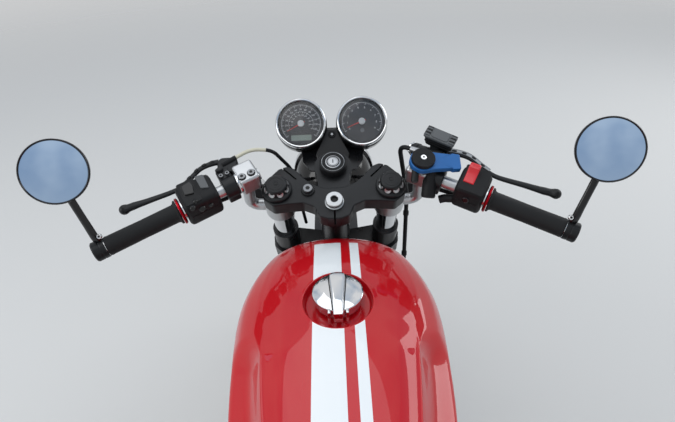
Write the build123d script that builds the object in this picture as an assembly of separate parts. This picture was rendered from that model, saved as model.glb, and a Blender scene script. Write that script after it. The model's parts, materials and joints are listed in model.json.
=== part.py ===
from build123d import *
from math import asin, atan2, cos, hypot, pi, radians, sin, sqrt
import os

# A cafe racer motorcycle, parked upright on its centre stand.
# X is to the rider's right, Y is forward and Z is up, in millimetres.
# Each piece is exported with the origin on the floor, in the middle of the machine's length.

# Overall sizes. The front axle's place is ahead of a datum on the floor below the gearbox's rear.
FRONT_AXLE_Y = 742.0
WHEELBASE = 1398.0
TAIL_REACH = 405.0
REAR_LIFT = 14.0
CLEAR = 0.3
SHEET = 3.0

# Wheels
FRONT_TYRE_R = 319.0
FRONT_TYRE_W = 100.0
REAR_TYRE_R = 320.0
REAR_TYRE_W = 130.0
RIM_SEAT_R = 229.0
RIM_LIP = 10.0
RIM_WALL = 3.0
RIM_WELL = 15.0
FRONT_RIM_W = 63.0
REAR_RIM_W = 89.0
SPOKES = 36
SPOKE_R = 2.0
SPOKE_LEAN = 48.0
AXLE_R = 9.0
HUB_R = 27.0
HUB_HALF = 36.0
HUB_NOSE = 8.0
FRONT_FLANGE_R = 47.0
REAR_FLANGE_R = 62.0
FLANGE_T = 6.0
BEARING_CLEAR = 0.5

# Brake discs, sprockets and chain
FRONT_DISC_R = 160.0
REAR_DISC_R = 120.0
DISC_T = 5.0
DISC_BAND = 38.0
FRONT_DISC_X = 54.0
REAR_DISC_X = 84.0
SPROCKET_TEETH = 38
PINION_TEETH = 17
PINION_Y = -45.0
PINION_Z = 380.0
CHAIN_X = -84.0
CHAIN_PITCH = 15.875
CHAIN_W = 18.0
CHAIN_HALF_H = 7.6
CHAIN_WAIST = 5.4
SPROCKET_T = 7.0
SPROCKET_GAP = 1.6
TOOTH = 5.0

# Steering geometry, in the fork's own frame: z runs up the fork from the axle
RAKE = 24.5
FORK_LENGTH = 668.0
FORK_HALF = 105.0
AXLE_LEAD = 6.0
YOKE_OFFSET = 30.0
TUBE_R = 20.5
SLIDER_R = 28.0
SLIDER_TOP = 335.0
YOKE_T = 30.0
LOWER_YOKE_Z = 425.0
LOWER_YOKE_T = 40.0
STEM_R = 15.0
HEAD_TUBE_R = 28.0
HEAD_GAP = 5.0
LOCK_Y = 53.0
LOCK_H = 17.0

# Frame
FRAME_TUBE_R = 14.0
BACKBONE_R = 22.0
PIVOT_Y = -118.0
PIVOT_Z = 385.0
PIVOT_BOLT_R = 9.0
CRADLE_HALF = 110.0
CRADLE_Z = 192.0
PLATE_T = 8.0
RAIL_R = 12.0
RAIL_HALF = 95.0
RAIL_Z = 735.0
RAIL_LOOP = 110.0

# Holes in the swinging arm for paddock stand bobbins
BOBBIN_R = 4.0
BOBBIN_DEPTH = 16.0

# Engine
CRANK_Y = 150.0
CRANK_Z = 345.0
CASE_HALF = 122.0
CASE_FRONT_Y = 278.0
CASE_BOTTOM_Z = 214.0
COVER_T = 60.0
DECK_Z = 432.0
BARREL_HALF_X = 136.0
BARREL_HALF_Y = 76.0
FIN_OUT = 20.0
FIN_T = 3.6
FIN_PITCH = 11.5
BARREL_FINS = 10
HEAD_FINS = 6
ROCKER_H = 56.0
PORT_X = 72.0
PORT_Z = 588.0

# Exhaust
HEADER_R = 20.0
SILENCER_R = 43.0
SILENCER_X = 188.0
SILENCER_START = (-70.0, 226.0)
TAILPIPE_R = 19.0

# Tank, seat and bodywork
CAP_Y = 254.0
CAP_Z = 852.0
CAP_R = 40.0
DISH_R = 57.0
DISH_LONG_R = 63.0
DISH_DEPTH = 16.0
NECK_R = 21.0
NECK_DEPTH = 45.0
COLLAR_H = 5.0
LID_T = 18.0
HINGE_Z = 848.0
HINGE_R = 4.0
TUNNEL_GAP = 8.0
SEAT_T = 48.0

# Handlebars and what is on them, from the top of the fork tubes in the fork's frame
BAR_R = 11.0
BAR_AT = (152.0, 8.0, 32.0)
BAR_END_AT = (388.0, -126.0, 38.0)
GRIP_R = 16.5
GRIP_START = 134.0
GRIP_LENGTH = 128.0
SWITCH_START = 62.0
SWITCH_LENGTH = 64.0
PERCH_START = 22.0
PERCH_LENGTH = 22.0
MIRROR_R = 50.0
MIRROR_AT = (420.0, -56.0, 164.0)
MIRROR_RIM = 3.0
MIRROR_GLASS_T = 1.6
MIRROR_UP = 27.0
MIRROR_IN = 16.0

# Instruments and lamps, forward of and above the top of the fork
GAUGE_R = 50.0
GAUGE_DEPTH = 52.0
GAUGE_HALF = 60.0
GAUGE_AHEAD = 121.0
GAUGE_ABOVE = 76.0
GAUGE_UP = 41.0
LAMP_R = 90.0
LAMP_AHEAD = 232.0
LAMP_BELOW = 96.0
LAMP_DEPTH = 118.0
EAR_Z = 500.0

# Hoses and wires
HOSE_R = 4.5
LOOM_R = 4.0

# Number plate bracket
PLATE_Z = 560.0
PLATE_LEAN = 20.0
PLATE_W = 170.0
PLATE_H = 120.0
BOLT_HALF = 20.0
BOLT_R = 3.3

# Stands
STAND_Y = -84.0
STAND_Z = 160.0
STAND_FOOT_Y = -54.0
STAND_TUBE_R = 11.0
STAND_HALF = 62.0
STAND_FOOT_HALF = 148.0
PROP_X = -122.0
PROP_Y = 150.0
PROP_Z = 164.0
PROP_LENGTH = 138.0
PROP_LEAN = 20.8
PROP_PIN_R = 6.0

FRONT_AXLE_Z = FRONT_TYRE_R
REAR_AXLE_Y = FRONT_AXLE_Y - WHEELBASE
REAR_AXLE_Z = REAR_TYRE_R + REAR_LIFT
REAR_END_Y = REAR_AXLE_Y - TAIL_REACH
MIDDLE_Y = (FRONT_AXLE_Y + FRONT_TYRE_R + REAR_END_Y) / 2
FORK = Pos(0, FRONT_AXLE_Y, FRONT_AXLE_Z) * Rot(RAKE, 0, 0)
FORK_Y = -AXLE_LEAD
STEM_Y = FORK_Y - YOKE_OFFSET
RIM_FLANGE_R = RIM_SEAT_R + RIM_LIP
HEAD_BOTTOM = LOWER_YOKE_Z + LOWER_YOKE_T + HEAD_GAP
HEAD_TOP = FORK_LENGTH - YOKE_T - HEAD_GAP
SPROCKET_R = SPROCKET_TEETH * CHAIN_PITCH / (2 * pi)
PINION_R = PINION_TEETH * CHAIN_PITCH / (2 * pi)
SEAT_Z = RAIL_Z + RAIL_R + CLEAR
TAIL_Z = RAIL_Z - 16
SHOCK_X = 150.0
SHOCK_TOP = (REAR_AXLE_Y + 186, 704.0)
SHOCK_BOTTOM = (REAR_AXLE_Y + 50, REAR_AXLE_Z + 34)
RAIL_END_Y = REAR_AXLE_Y + 66
BOBBIN_Y = REAR_AXLE_Y - 28
BOBBIN_Z = REAR_AXLE_Z + 4
SEAT_END_Y = RAIL_END_Y + 70
SILENCER_END = (REAR_AXLE_Y - 34, 284.0)


def both(shape):
    """A right-hand piece with its mirror image on the left."""
    return Part() + [shape, mirror(shape, about=Plane.YZ)]


def rod(start, end, radius, end_radius=None):
    """A round bar, or a cone, between two points."""
    a, b = Vector(*start), Vector(*end)
    span = b - a
    low = (Align.CENTER, Align.CENTER, Align.MIN)
    if end_radius is None:
        body = Cylinder(radius, span.length, align=low)
    else:
        body = Cone(radius, end_radius, span.length, align=low)
    return Plane(origin=a, z_dir=span) * body


def bent(points, radius, bends):
    """A bent round bar through points, with one bend radius for each corner."""
    path = FilletPolyline(*points, radius=bends)
    return sweep(Plane(origin=path @ 0, z_dir=path % 0) * Circle(radius), path=path)


def plate(outline, thickness, x):
    """A flat plate in the YZ plane, from x to the right, cut from an outline of (y, z) points."""
    face = make_face(Polyline(*[(x, y, z) for y, z in outline], close=True))
    return extrude(face, amount=thickness, dir=(1, 0, 0))


def slab(outline, bottom, height):
    """A flat slab in the XY plane, cut from an outline of (x, y) points."""
    face = make_face(Polyline(*[(x, y, bottom) for x, y in outline], close=True))
    return extrude(face, amount=height, dir=(0, 0, 1))


def turned_x(outline, y=0.0, z=0.0):
    """Turns a closed outline of (x, radius) about the X axis through (y, z)."""
    return Pos(0, y, z) * revolve(make_face(outline), axis=Axis.X)


def dome(edge_r, edge_z, tip_z):
    """An arc from a rim at (edge_r, edge_z) to the Z axis at tip_z, round a centre on that axis."""
    rise = abs(tip_z - edge_z)
    side = 1 if tip_z > edge_z else -1
    ball = (edge_r ** 2 + rise ** 2) / (2 * rise)
    turn = atan2(edge_r, ball - rise) / 2
    mid = (ball * sin(turn), 0, tip_z - side * ball * (1 - cos(turn)))
    return ThreePointArc((edge_r, 0, edge_z), mid, (0, 0, tip_z))


def fork_point(x, y, z):
    """A point given from the top of the fork tubes, as a point of the machine."""
    spot = (FORK * Pos(x, FORK_Y + y, FORK_LENGTH + z)).position
    return (spot.X, spot.Y, spot.Z)


FORK_TOP = fork_point(0, 0, 0)


# Wheels

def tyre(radius, width, rim_width):
    """A solid tyre whose beads sit between the rim's lips."""
    bead = rim_width / 2 - RIM_WALL
    wide = width / 2
    edge_x = 0.84 * wide
    crown = 0.6 * width
    edge_r = radius - crown + sqrt(crown ** 2 - edge_x ** 2)
    side_r = (RIM_FLANGE_R + edge_r) / 2 + 2
    outline = Curve() + [
        Line((-bead, RIM_SEAT_R), (-bead, RIM_FLANGE_R)),
        ThreePointArc((-bead, RIM_FLANGE_R), (-wide, side_r), (-edge_x, edge_r)),
        ThreePointArc((-edge_x, edge_r), (0, radius), (edge_x, edge_r)),
        ThreePointArc((edge_x, edge_r), (wide, side_r), (bead, RIM_FLANGE_R)),
        Line((bead, RIM_FLANGE_R), (bead, RIM_SEAT_R)),
        Line((bead, RIM_SEAT_R), (-bead, RIM_SEAT_R)),
    ]
    return turned_x(outline)


def wire_wheel(rim_width, flange_r, spin):
    """Rim, crossed wire spokes and hub as one piece, on the X axis."""
    half = rim_width / 2
    seat = half - RIM_WALL
    well = seat * 0.5
    floor = RIM_SEAT_R - RIM_WELL
    rim = turned_x(Polyline(
        (half, RIM_FLANGE_R), (seat, RIM_FLANGE_R), (seat, RIM_SEAT_R), (well + 5, RIM_SEAT_R),
        (well, RIM_SEAT_R - RIM_LIP), (-well, RIM_SEAT_R - RIM_LIP), (-well - 5, RIM_SEAT_R),
        (-seat, RIM_SEAT_R), (-seat, RIM_FLANGE_R), (-half, RIM_FLANGE_R),
        (-half, RIM_SEAT_R - RIM_WALL), (-well - 6, RIM_SEAT_R - 5), (-well, floor),
        (well, floor), (well + 6, RIM_SEAT_R - 5), (half, RIM_SEAT_R - RIM_WALL),
        close=True))
    bore = AXLE_R + BEARING_CLEAR
    nose = HUB_HALF + HUB_NOSE
    inner = HUB_HALF - FLANGE_T
    hub = turned_x(Polyline(
        (-nose, bore), (-nose, HUB_R), (-HUB_HALF, HUB_R), (-HUB_HALF, flange_r),
        (-inner, flange_r), (-inner + 5, HUB_R + 4), (0, HUB_R),
        (inner - 5, HUB_R + 4), (inner, flange_r), (HUB_HALF, flange_r),
        (HUB_HALF, HUB_R), (nose, HUB_R), (nose, bore), close=True))
    wires = []
    hole = flange_r - FLANGE_T
    for k in range(SPOKES):
        side = 1 if k % 2 else -1
        lean = SPOKE_LEAN if k % 4 < 2 else -SPOKE_LEAN
        at_rim = radians(spin + 360.0 * k / SPOKES)
        at_hub = at_rim - radians(lean)
        depth = HUB_HALF - FLANGE_T * (0.35 if k % 4 < 2 else 0.65)
        foot = (side * depth, hole * cos(at_hub), hole * sin(at_hub))
        tip = (side * well * 0.4, (floor + 2) * cos(at_rim), (floor + 2) * sin(at_rim))
        wires.append(rod(foot, tip, SPOKE_R))
    return rim + [hub, *wires]


def brake_disc(radius, x, holes):
    """A drilled disc at x, on a five-armed carrier that is bolted to the hub's face."""
    inside = radius - DISC_BAND
    drills = [Rot(0, 0, 360 / holes * k) * Pos(inside + DISC_BAND * (0.33 if k % 2 else 0.67), 0, 0)
              * Cylinder(4.2, DISC_T) for k in range(holes)]
    band = Cylinder(radius, DISC_T) - Cylinder(inside, DISC_T) - drills
    boss_r = HUB_R + 14
    arms = [Rot(0, 0, 72 * k) * Pos((inside + boss_r) / 2, 0, 0) * Box(inside - boss_r + 10, 20, DISC_T)
            for k in range(5)]
    reach = x - HUB_HALF
    boss = Pos(0, 0, (DISC_T / 2 - reach) / 2) * Cylinder(boss_r, reach + DISC_T / 2)
    bore = Cylinder(HUB_R + CLEAR, 4 * reach)
    return Pos(x, 0, 0) * Rot(0, 90, 0) * (band + [boss, *arms] - bore)


def toothed(teeth, pitch_r):
    """A chain wheel's disc, flat on the XY plane, with its teeth just inside the rollers."""
    tip = pitch_r - CHAIN_WAIST - SPROCKET_GAP
    root = tip - TOOTH
    points = []
    for k in range(teeth):
        for share, r in ((0.0, root), (0.3, root), (0.45, tip), (0.6, tip), (0.85, root)):
            a = 2 * pi * (k + share) / teeth
            points.append((r * cos(a), r * sin(a)))
    return extrude(make_face(Polyline(*points, close=True)), amount=SPROCKET_T / 2, both=True)


def sprocket():
    """Rear chain wheel with its boss on the hub's left face."""
    windows = [Rot(0, 0, 60 * k) * Pos(SPROCKET_R * 0.68, 0, 0) * Cylinder(12, SPROCKET_T) for k in range(6)]
    reach = -CHAIN_X - HUB_HALF
    boss = Pos(0, 0, (reach - SPROCKET_T / 2) / 2) * Cylinder(HUB_R + 18, reach + SPROCKET_T / 2)
    bore = Cylinder(HUB_R + CLEAR, 4 * reach)
    return Pos(CHAIN_X, 0, 0) * Rot(0, 90, 0) * (toothed(SPROCKET_TEETH, SPROCKET_R) - windows + boss - bore)


def chain():
    """The drive chain as one closed loop with a link-shaped outer edge."""
    span = hypot(REAR_AXLE_Y - PINION_Y, REAR_AXLE_Z - PINION_Z)
    tilt = atan2(REAR_AXLE_Z - PINION_Z, REAR_AXLE_Y - PINION_Y)
    lap = asin((SPROCKET_R - PINION_R) / span)
    run = sqrt(span ** 2 - (SPROCKET_R - PINION_R) ** 2)
    rear_arc = SPROCKET_R * (pi + 2 * lap)
    front_arc = PINION_R * (pi - 2 * lap)
    total = 2 * run + rear_arc + front_arc

    def at(s, out):
        """The point at s along the pitch line, moved outwards."""
        if s < run:
            a = pi / 2 + lap
            x = PINION_R * cos(a) + s * cos(lap)
            y = PINION_R * sin(a) + s * sin(lap)
        elif s < run + rear_arc:
            a = pi / 2 + lap - (s - run) / SPROCKET_R
            x = span + SPROCKET_R * cos(a)
            y = SPROCKET_R * sin(a)
        elif s < 2 * run + rear_arc:
            a = -pi / 2 - lap
            x = span + SPROCKET_R * cos(a) - (s - run - rear_arc) * cos(lap)
            y = SPROCKET_R * sin(a) + (s - run - rear_arc) * sin(lap)
        else:
            a = -pi / 2 - lap - (s - 2 * run - rear_arc) / PINION_R
            x = PINION_R * cos(a)
            y = PINION_R * sin(a)
        x += out * cos(a)
        y += out * sin(a)
        return (CHAIN_X - CHAIN_W / 2, PINION_Y + x * cos(tilt) - y * sin(tilt),
                PINION_Z + x * sin(tilt) + y * cos(tilt))

    links = round(total / CHAIN_PITCH)
    outer, inner = [], []
    for k in range(links):
        outer += [at(total * k / links, CHAIN_HALF_H), at(total * (k + 0.5) / links, CHAIN_WAIST)]
        inner += [at(total * k / links, -CHAIN_WAIST)]
    filled, window = (extrude(make_face(Polyline(*edge, close=True)), amount=CHAIN_W, dir=(1, 0, 0))
                      for edge in (outer, inner))
    return filled - window


def chain_guard():
    """A shield over the chain's upper run, its outer side standing on the swinging arm."""
    front, back = (-190.0, 462.0), (REAR_AXLE_Y + 96, 462.0)
    inner = CHAIN_X - CHAIN_W / 2 - 8
    drop = 16.0
    shield = plate([(front[0] - 6, front[1] - drop), (front[0] - 14, front[1] + SHEET), (back[0], back[1] + SHEET),
                    (back[0] - 60, back[1] - drop), (back[0] - 54, back[1] - drop), (back[0], back[1]),
                    (front[0] - 18, front[1]), (front[0] - 10, front[1] - drop)], CHAIN_W + 16, inner)
    side = plate([(front[0] - 6, front[1] - drop), (front[0] - 14, front[1] + SHEET), (back[0], back[1] + SHEET),
                  (back[0] - 60, back[1] - drop)], SHEET, inner - SHEET)
    tabs = [plate([(y - 9, back[1] - drop + 4), (y + 9, back[1] - drop + 4), (y + 9, PIVOT_Z - 20),
                   (y - 9, PIVOT_Z - 20)], SHEET, inner - SHEET) for y in (-300, back[0] + 90)]
    return shield + [side, *tabs] - swingarm()


# Frame

def head_point(above):
    """A point on the steering axis, above the head tube's lower end."""
    spot = (FORK * Pos(0, STEM_Y, HEAD_BOTTOM + above)).position
    return (0.0, spot.Y, spot.Z)


BACKBONE = (head_point(30), (0.0, PIVOT_Y + 20, RAIL_Z - 12))


def frame_spine():
    """Head tube, backbone, gusset and the cross tube that joins the seat rails."""
    length = HEAD_TOP - HEAD_BOTTOM
    head = FORK * Pos(0, STEM_Y, HEAD_BOTTOM + length / 2) * Cylinder(HEAD_TUBE_R, length)
    bore = FORK * Pos(0, STEM_Y, HEAD_BOTTOM + length / 2) * Cylinder(STEM_R + BEARING_CLEAR, 2 * length)
    _, y, z = BACKBONE[0]
    bone = rod(*BACKBONE, BACKBONE_R)
    web = plate([(y - 10, z - 8), (y + 4, z - 34), (y - 60, z - 66), (y - 170, z - 12)], 6, -3)
    half = BACKBONE_R + TUNNEL_GAP - CLEAR
    pad = rod((-half, y - 96, z - 18), (half, y - 96, z - 18), 11)
    cross = rod((-RAIL_HALF, PIVOT_Y + 26, RAIL_Z - 13), (RAIL_HALF, PIVOT_Y + 26, RAIL_Z - 13), RAIL_R)
    return head + [bone, web, pad, cross] - bore


def frame_cradle():
    """The two loops that carry the engine, from the head down, under it and up to the seat rails."""
    _, y, z = head_point(52)
    loop = bent([(24, y - 22, z - 4), (70, FRONT_AXLE_Y - 360, 540), (86, 328, 262), (92, 258, CRADLE_Z),
                 (CRADLE_HALF, -52, CRADLE_Z), (CRADLE_HALF, PIVOT_Y - 6, 270),
                 (CRADLE_HALF, PIVOT_Y - 6, 540), (RAIL_HALF, PIVOT_Y + 12, RAIL_Z)],
                FRAME_TUBE_R, [120, 110, 50, 60, 50, 140])
    pivot = plate([(PIVOT_Y - 44, PIVOT_Z + 60), (PIVOT_Y + 20, PIVOT_Z + 60), (PIVOT_Y + 25, PIVOT_Z - 10),
                   (PIVOT_Y + 22, PIVOT_Z - 64), (PIVOT_Y - 30, PIVOT_Z - 64), (PIVOT_Y - 48, PIVOT_Z - 10)],
                  PLATE_T, CRADLE_HALF - PLATE_T / 2)
    mount = plate([(284, 282), (338, 276), (342, 322), (284, 326)], PLATE_T, 82)
    stand_lug = plate([(STAND_Y - 24, STAND_Z + 46), (-22, CRADLE_Z + 2), (STAND_Y + 14, STAND_Z - 14),
                       (STAND_Y - 14, STAND_Z - 14)], PLATE_T, CRADLE_HALF - 20)
    stand_lug -= rod((CRADLE_HALF - 30, STAND_Y, STAND_Z), (CRADLE_HALF, STAND_Y, STAND_Z), 7 + CLEAR)
    loops = both(loop + [pivot, mount, stand_lug])
    cross = rod((-CRADLE_HALF, -30, CRADLE_Z), (CRADLE_HALF, -30, CRADLE_Z), FRAME_TUBE_R - 2)
    brace = rod((-82, 342, 300), (82, 342, 300), 9)
    prop_lug = plate([(PROP_Y - 24, CRADLE_Z), (PROP_Y + 24, CRADLE_Z), (PROP_Y + 12, PROP_Z - 18),
                      (PROP_Y - 12, PROP_Z - 18)], PLATE_T, PROP_X + 18)
    prop_lug += prop_place() * Pos(0, 0, 6) * Cylinder(PROP_PIN_R, 32)
    hole = rod((-CRADLE_HALF - 20, PIVOT_Y, PIVOT_Z), (CRADLE_HALF + 20, PIVOT_Y, PIVOT_Z), PIVOT_BOLT_R + CLEAR)
    return loops + [cross, brace, prop_lug] - hole - frame_spine()


def prop_place():
    """The prop stand's pivot: z along its leaning axis, x along the folded leg."""
    lean = radians(PROP_LEAN)
    return Plane(origin=(PROP_X, PROP_Y, PROP_Z), x_dir=(0, -1, 0), z_dir=(cos(lean), 0, -sin(lean))).location


def frame_rear():
    """Seat rails joined in a loop behind the seat, their struts and the shock absorbers' upper studs."""
    rails = bent([(RAIL_HALF, PIVOT_Y + 8, RAIL_Z), (RAIL_HALF, RAIL_END_Y, RAIL_Z),
                  (RAIL_HALF * 0.6, RAIL_END_Y - RAIL_LOOP, RAIL_Z),
                  (-RAIL_HALF * 0.6, RAIL_END_Y - RAIL_LOOP, RAIL_Z),
                  (-RAIL_HALF, RAIL_END_Y, RAIL_Z), (-RAIL_HALF, PIVOT_Y + 8, RAIL_Z)],
                 RAIL_R, [60, 40, 40, 60])
    top_y, top_z = SHOCK_TOP
    strut = rod((CRADLE_HALF, PIVOT_Y - 8, 470), (RAIL_HALF, top_y + 60, RAIL_Z + 4), 10)
    ear = plate([(top_y - 26, RAIL_Z + 6), (top_y + 26, RAIL_Z + 6), (top_y + 15, top_z - 15),
                 (top_y - 15, top_z - 15)], PLATE_T, RAIL_HALF - PLATE_T / 2)
    stud = rod((RAIL_HALF, top_y, top_z), (SHOCK_X + 20, top_y, top_z), 7)
    bridge = Pos(0, RAIL_END_Y - 14, RAIL_Z - 30) * Box(2 * RAIL_HALF, 26, 70)
    bridge -= rod((-RAIL_HALF, REAR_AXLE_Y, REAR_AXLE_Z), (RAIL_HALF, REAR_AXLE_Y, REAR_AXLE_Z), FENDER_R + SHEET)
    return rails + [both(strut + [ear, stud]), bridge] - frame_spine() - frame_cradle()


FENDER_R = 352.0


def swingarm():
    """Pivot tube, two arms, axle and its spacers."""
    pivot_half = CRADLE_HALF - FRAME_TUBE_R - CLEAR
    pivot = rod((-pivot_half, PIVOT_Y, PIVOT_Z), (pivot_half, PIVOT_Y, PIVOT_Z), 21)
    bolt = rod((-CRADLE_HALF - 14, PIVOT_Y, PIVOT_Z), (CRADLE_HALF + 14, PIVOT_Y, PIVOT_Z), PIVOT_BOLT_R)
    dip = atan2(PIVOT_Z - REAR_AXLE_Z, PIVOT_Y - REAR_AXLE_Y)
    length = hypot(PIVOT_Z - REAR_AXLE_Z, PIVOT_Y - REAR_AXLE_Y)
    arm = slab([(58, 0), (92, 0), (136, -length + 60), (136, -length - 46), (110, -length - 46),
                (110, -length + 60), (60, -60)], -20, 40)
    place = Pos(0, PIVOT_Y, PIVOT_Z) * Rot(dip * 180 / pi, 0, 0)
    arms = both(place * arm)
    brace = place * Pos(0, -58, 0) * Box(150, 22, 30)
    axle = rod((-142, REAR_AXLE_Y, REAR_AXLE_Z), (142, REAR_AXLE_Y, REAR_AXLE_Z), AXLE_R)
    inner = HUB_HALF + HUB_NOSE + CLEAR
    spacer = rod((inner, REAR_AXLE_Y, REAR_AXLE_Z), (112, REAR_AXLE_Y, REAR_AXLE_Z), 14)
    stud = rod((130, *SHOCK_BOTTOM), (SHOCK_X + 20, *SHOCK_BOTTOM), 7)
    ear_y, ear_z = SHOCK_BOTTOM
    ear = plate([(ear_y - 22, ear_z - 24), (ear_y + 22, ear_z - 20), (ear_y + 13, ear_z + 13),
                 (ear_y - 13, ear_z + 13)], 26, 110)
    bobbin = rod((136 - BOBBIN_DEPTH, BOBBIN_Y, BOBBIN_Z), (140, BOBBIN_Y, BOBBIN_Z), BOBBIN_R)
    return pivot + [bolt, arms, brace, axle, both(spacer + [stud, ear])] - both(bobbin)


def shock_absorbers():
    """Twin shock absorbers: eyes, body, shrouds and the spring's ringed outline."""
    a, b = Vector(0, *SHOCK_BOTTOM), Vector(0, *SHOCK_TOP)
    length = (b - a).length
    coils = 9
    start, stop = 44.0, length - 60.0
    pitch = (stop - start) / coils
    points = [(0, 6), (12, 6), (12, 26), (24, 30), (24, start)]
    for k in range(coils):
        z = start + pitch * k
        points += [(27, z + pitch * 0.2), (27, z + pitch * 0.55), (20, z + pitch * 0.7), (20, z + pitch * 0.95)]
    points += [(29, stop + 2), (29, stop + 26), (18, stop + 40), (12, length - 6), (0, length - 6)]
    body = revolve(make_face(Polyline(*[(r, 0, z) for r, z in points], close=True)), axis=Axis.Z)
    eye = Rot(0, 90, 0) * Cylinder(15, 26)
    hole = Rot(0, 90, 0) * Cylinder(7 + CLEAR, 60)
    body = body + [eye, Pos(0, 0, length) * eye] - hole - Pos(0, 0, length) * hole
    return both(Plane(origin=(SHOCK_X, *SHOCK_BOTTOM), x_dir=(1, 0, 0), z_dir=b - a) * body)


# Engine

def crankcase():
    """Crankcase and gearbox with the output pinion, its sump and front lug."""
    side = [(12, 232), (40, CASE_BOTTOM_Z), (232, CASE_BOTTOM_Z), (CASE_FRONT_Y, 264), (CASE_FRONT_Y, 380),
            (246, DECK_Z), (40, DECK_Z), (12, 410)]
    case = plate(side, 2 * CASE_HALF, -CASE_HALF)
    case = fillet(case.edges().filter_by(Axis.X), 10)
    box = plate([(-92, 316), (-70, 268), (30, 240), (30, 428), (-40, 440), (-92, 420)],
                CASE_HALF - 10 + 66, -66)
    box = fillet(box.edges().filter_by(Axis.X).sort_by(Axis.Y)[:3], 12)
    lug = Pos(0, 288, 303) * Box(2 * (82 - CLEAR), 32, 32)
    shaft = rod((-CASE_HALF + 20, PINION_Y, PINION_Z), (-40, PINION_Y, PINION_Z), 14)
    seat = Cylinder(PINION_R - CHAIN_WAIST + 0.5, SPROCKET_T)
    pinion = Pos(CHAIN_X, PINION_Y, PINION_Z) * Rot(0, 90, 0) * seat - chain()
    sump = Pos(0, 150, CASE_BOTTOM_Z - 8) * Box(110, 150, 20)
    ribs = [Pos(0, 120 + 30 * k, CASE_BOTTOM_Z - 12) * Box(100, 5, 22) for k in range(3)]
    return case + [box, lug, shaft, pinion, sump, *ribs]


def rounded_disc(y, z, radius, x, thickness, edge):
    """A cover's round part on the right side, its outer edge rounded."""
    body = rod((x, y, z), (x + thickness, y, z), radius)
    return fillet(body.edges().filter_by(GeomType.CIRCLE).sort_by(Axis.X)[-1], edge)


def engine_covers():
    """Clutch and timing covers on the right, alternator and pinion covers on the left."""
    x = CASE_HALF
    clutch = rounded_disc(78, 338, 86, x, COVER_T, 22)
    timing = rounded_disc(206, 338, 62, x, COVER_T - 16, 16)
    right = clutch + [timing, rounded_disc(78, 338, 60, x, COVER_T + 6, 5), Pos(x + 16, 142, 330) * Box(32, 150, 96)]
    alternator = mirror(rounded_disc(186, 334, 78, x, COVER_T - 8, 24), about=Plane.YZ)
    cap = mirror(rounded_disc(186, 334, 40, x, COVER_T - 2, 5), about=Plane.YZ)
    joint = Pos(-x - 15, 96, 345) * Box(30, 140, 96)
    sprocket_cover = mirror(rounded_disc(-30, 378, 60, x - 14, 34, 10), about=Plane.YZ)
    sprocket_cover -= Pos(-x + 7, 60, 378) * Box(14, 96, 200)
    rounded_left = alternator + [cap, joint, sprocket_cover]
    return Part() + [right, rounded_left - crankcase()]


def finned(bottom, count, half_x, half_y, bore_gap):
    """A core with flat cooling fins all round, parted in the middle in front and behind."""
    height = count * FIN_PITCH
    core = Pos(0, CRANK_Y, bottom + height / 2) * Box(2 * (half_x - FIN_OUT), 2 * (half_y - FIN_OUT), height)
    fins = []
    for k in range(count):
        z = bottom + (k + 0.5) * FIN_PITCH
        face = Pos(0, CRANK_Y, z) * RectangleRounded(2 * half_x, 2 * half_y, 16)
        fins.append(extrude(face, amount=FIN_T / 2, both=True))
    gap = Pos(0, CRANK_Y + half_y - FIN_OUT / 2 + 1, bottom + height / 2) * Box(bore_gap, FIN_OUT, height)
    back = Pos(0, CRANK_Y - half_y + FIN_OUT / 2 - 1, bottom + height / 2) * Box(bore_gap, FIN_OUT, height)
    return core + fins - gap - back


HEAD_Z = DECK_Z + BARREL_FINS * FIN_PITCH
ROCKER_Z = HEAD_Z + HEAD_FINS * FIN_PITCH


def cylinders():
    """The pair of finned barrels."""
    return finned(DECK_Z, BARREL_FINS, BARREL_HALF_X, BARREL_HALF_Y, 12)


def cylinder_head():
    """Finned head with its ports, and the rocker cover on top."""
    head = finned(HEAD_Z, HEAD_FINS, BARREL_HALF_X - 4, BARREL_HALF_Y + 4, 12)
    port = rod((PORT_X, CRANK_Y, PORT_Z), (PORT_X, CRANK_Y + BARREL_HALF_Y + 12, PORT_Z), 27)
    inlet = rod((PORT_X - 12, CRANK_Y, PORT_Z + 4), (PORT_X - 12, CRANK_Y - BARREL_HALF_Y - 8, PORT_Z + 4), 24)
    cover = Pos(0, CRANK_Y, ROCKER_Z + ROCKER_H / 2 - 4) * Box(216, 122, ROCKER_H + 8)
    cover = fillet(cover.edges().filter_by(Axis.Z), 26)
    cover = fillet(cover.faces().sort_by(Axis.Z)[-1].edges(), 14)
    ribs = [Pos(18 * k, CRANK_Y, ROCKER_Z + ROCKER_H - 1) * Box(5, 92, 6) for k in (-4, -3, -2, 2, 3, 4)]
    return head + [both(port + inlet), cover, *ribs]


def intake():
    """Throttle bodies and the air box behind the head."""
    start = CRANK_Y - BARREL_HALF_Y - 8 - CLEAR
    z = PORT_Z + 4
    runner = rod((PORT_X - 12, start, z), (PORT_X - 12, 8, z), 22)
    body = rod((PORT_X - 12, start - 16, z), (PORT_X - 12, start - 44, z), 28)
    box = Pos(0, -40, z + 18) * Box(150, 98, 120)
    box = fillet(box.edges(), 12)
    return both(runner + body) + box


# Exhaust

def headers():
    """Two pipes from the ports, down outside the frame and back to the silencers."""
    start = CRANK_Y + BARREL_HALF_Y + 12 + CLEAR
    pipe = bent([(PORT_X, start, PORT_Z), (PORT_X, start + 44, PORT_Z), (124, 322, 540), (132, 316, 330),
                 (147, 264, 222), (162, 60, 206), (SILENCER_X - 6, *SILENCER_START)],
                HEADER_R, [28, 44, 110, 70, 160])
    collar = rod((PORT_X, start, PORT_Z), (PORT_X, start + 10, PORT_Z), 29)
    return both(pipe + collar)


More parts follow.
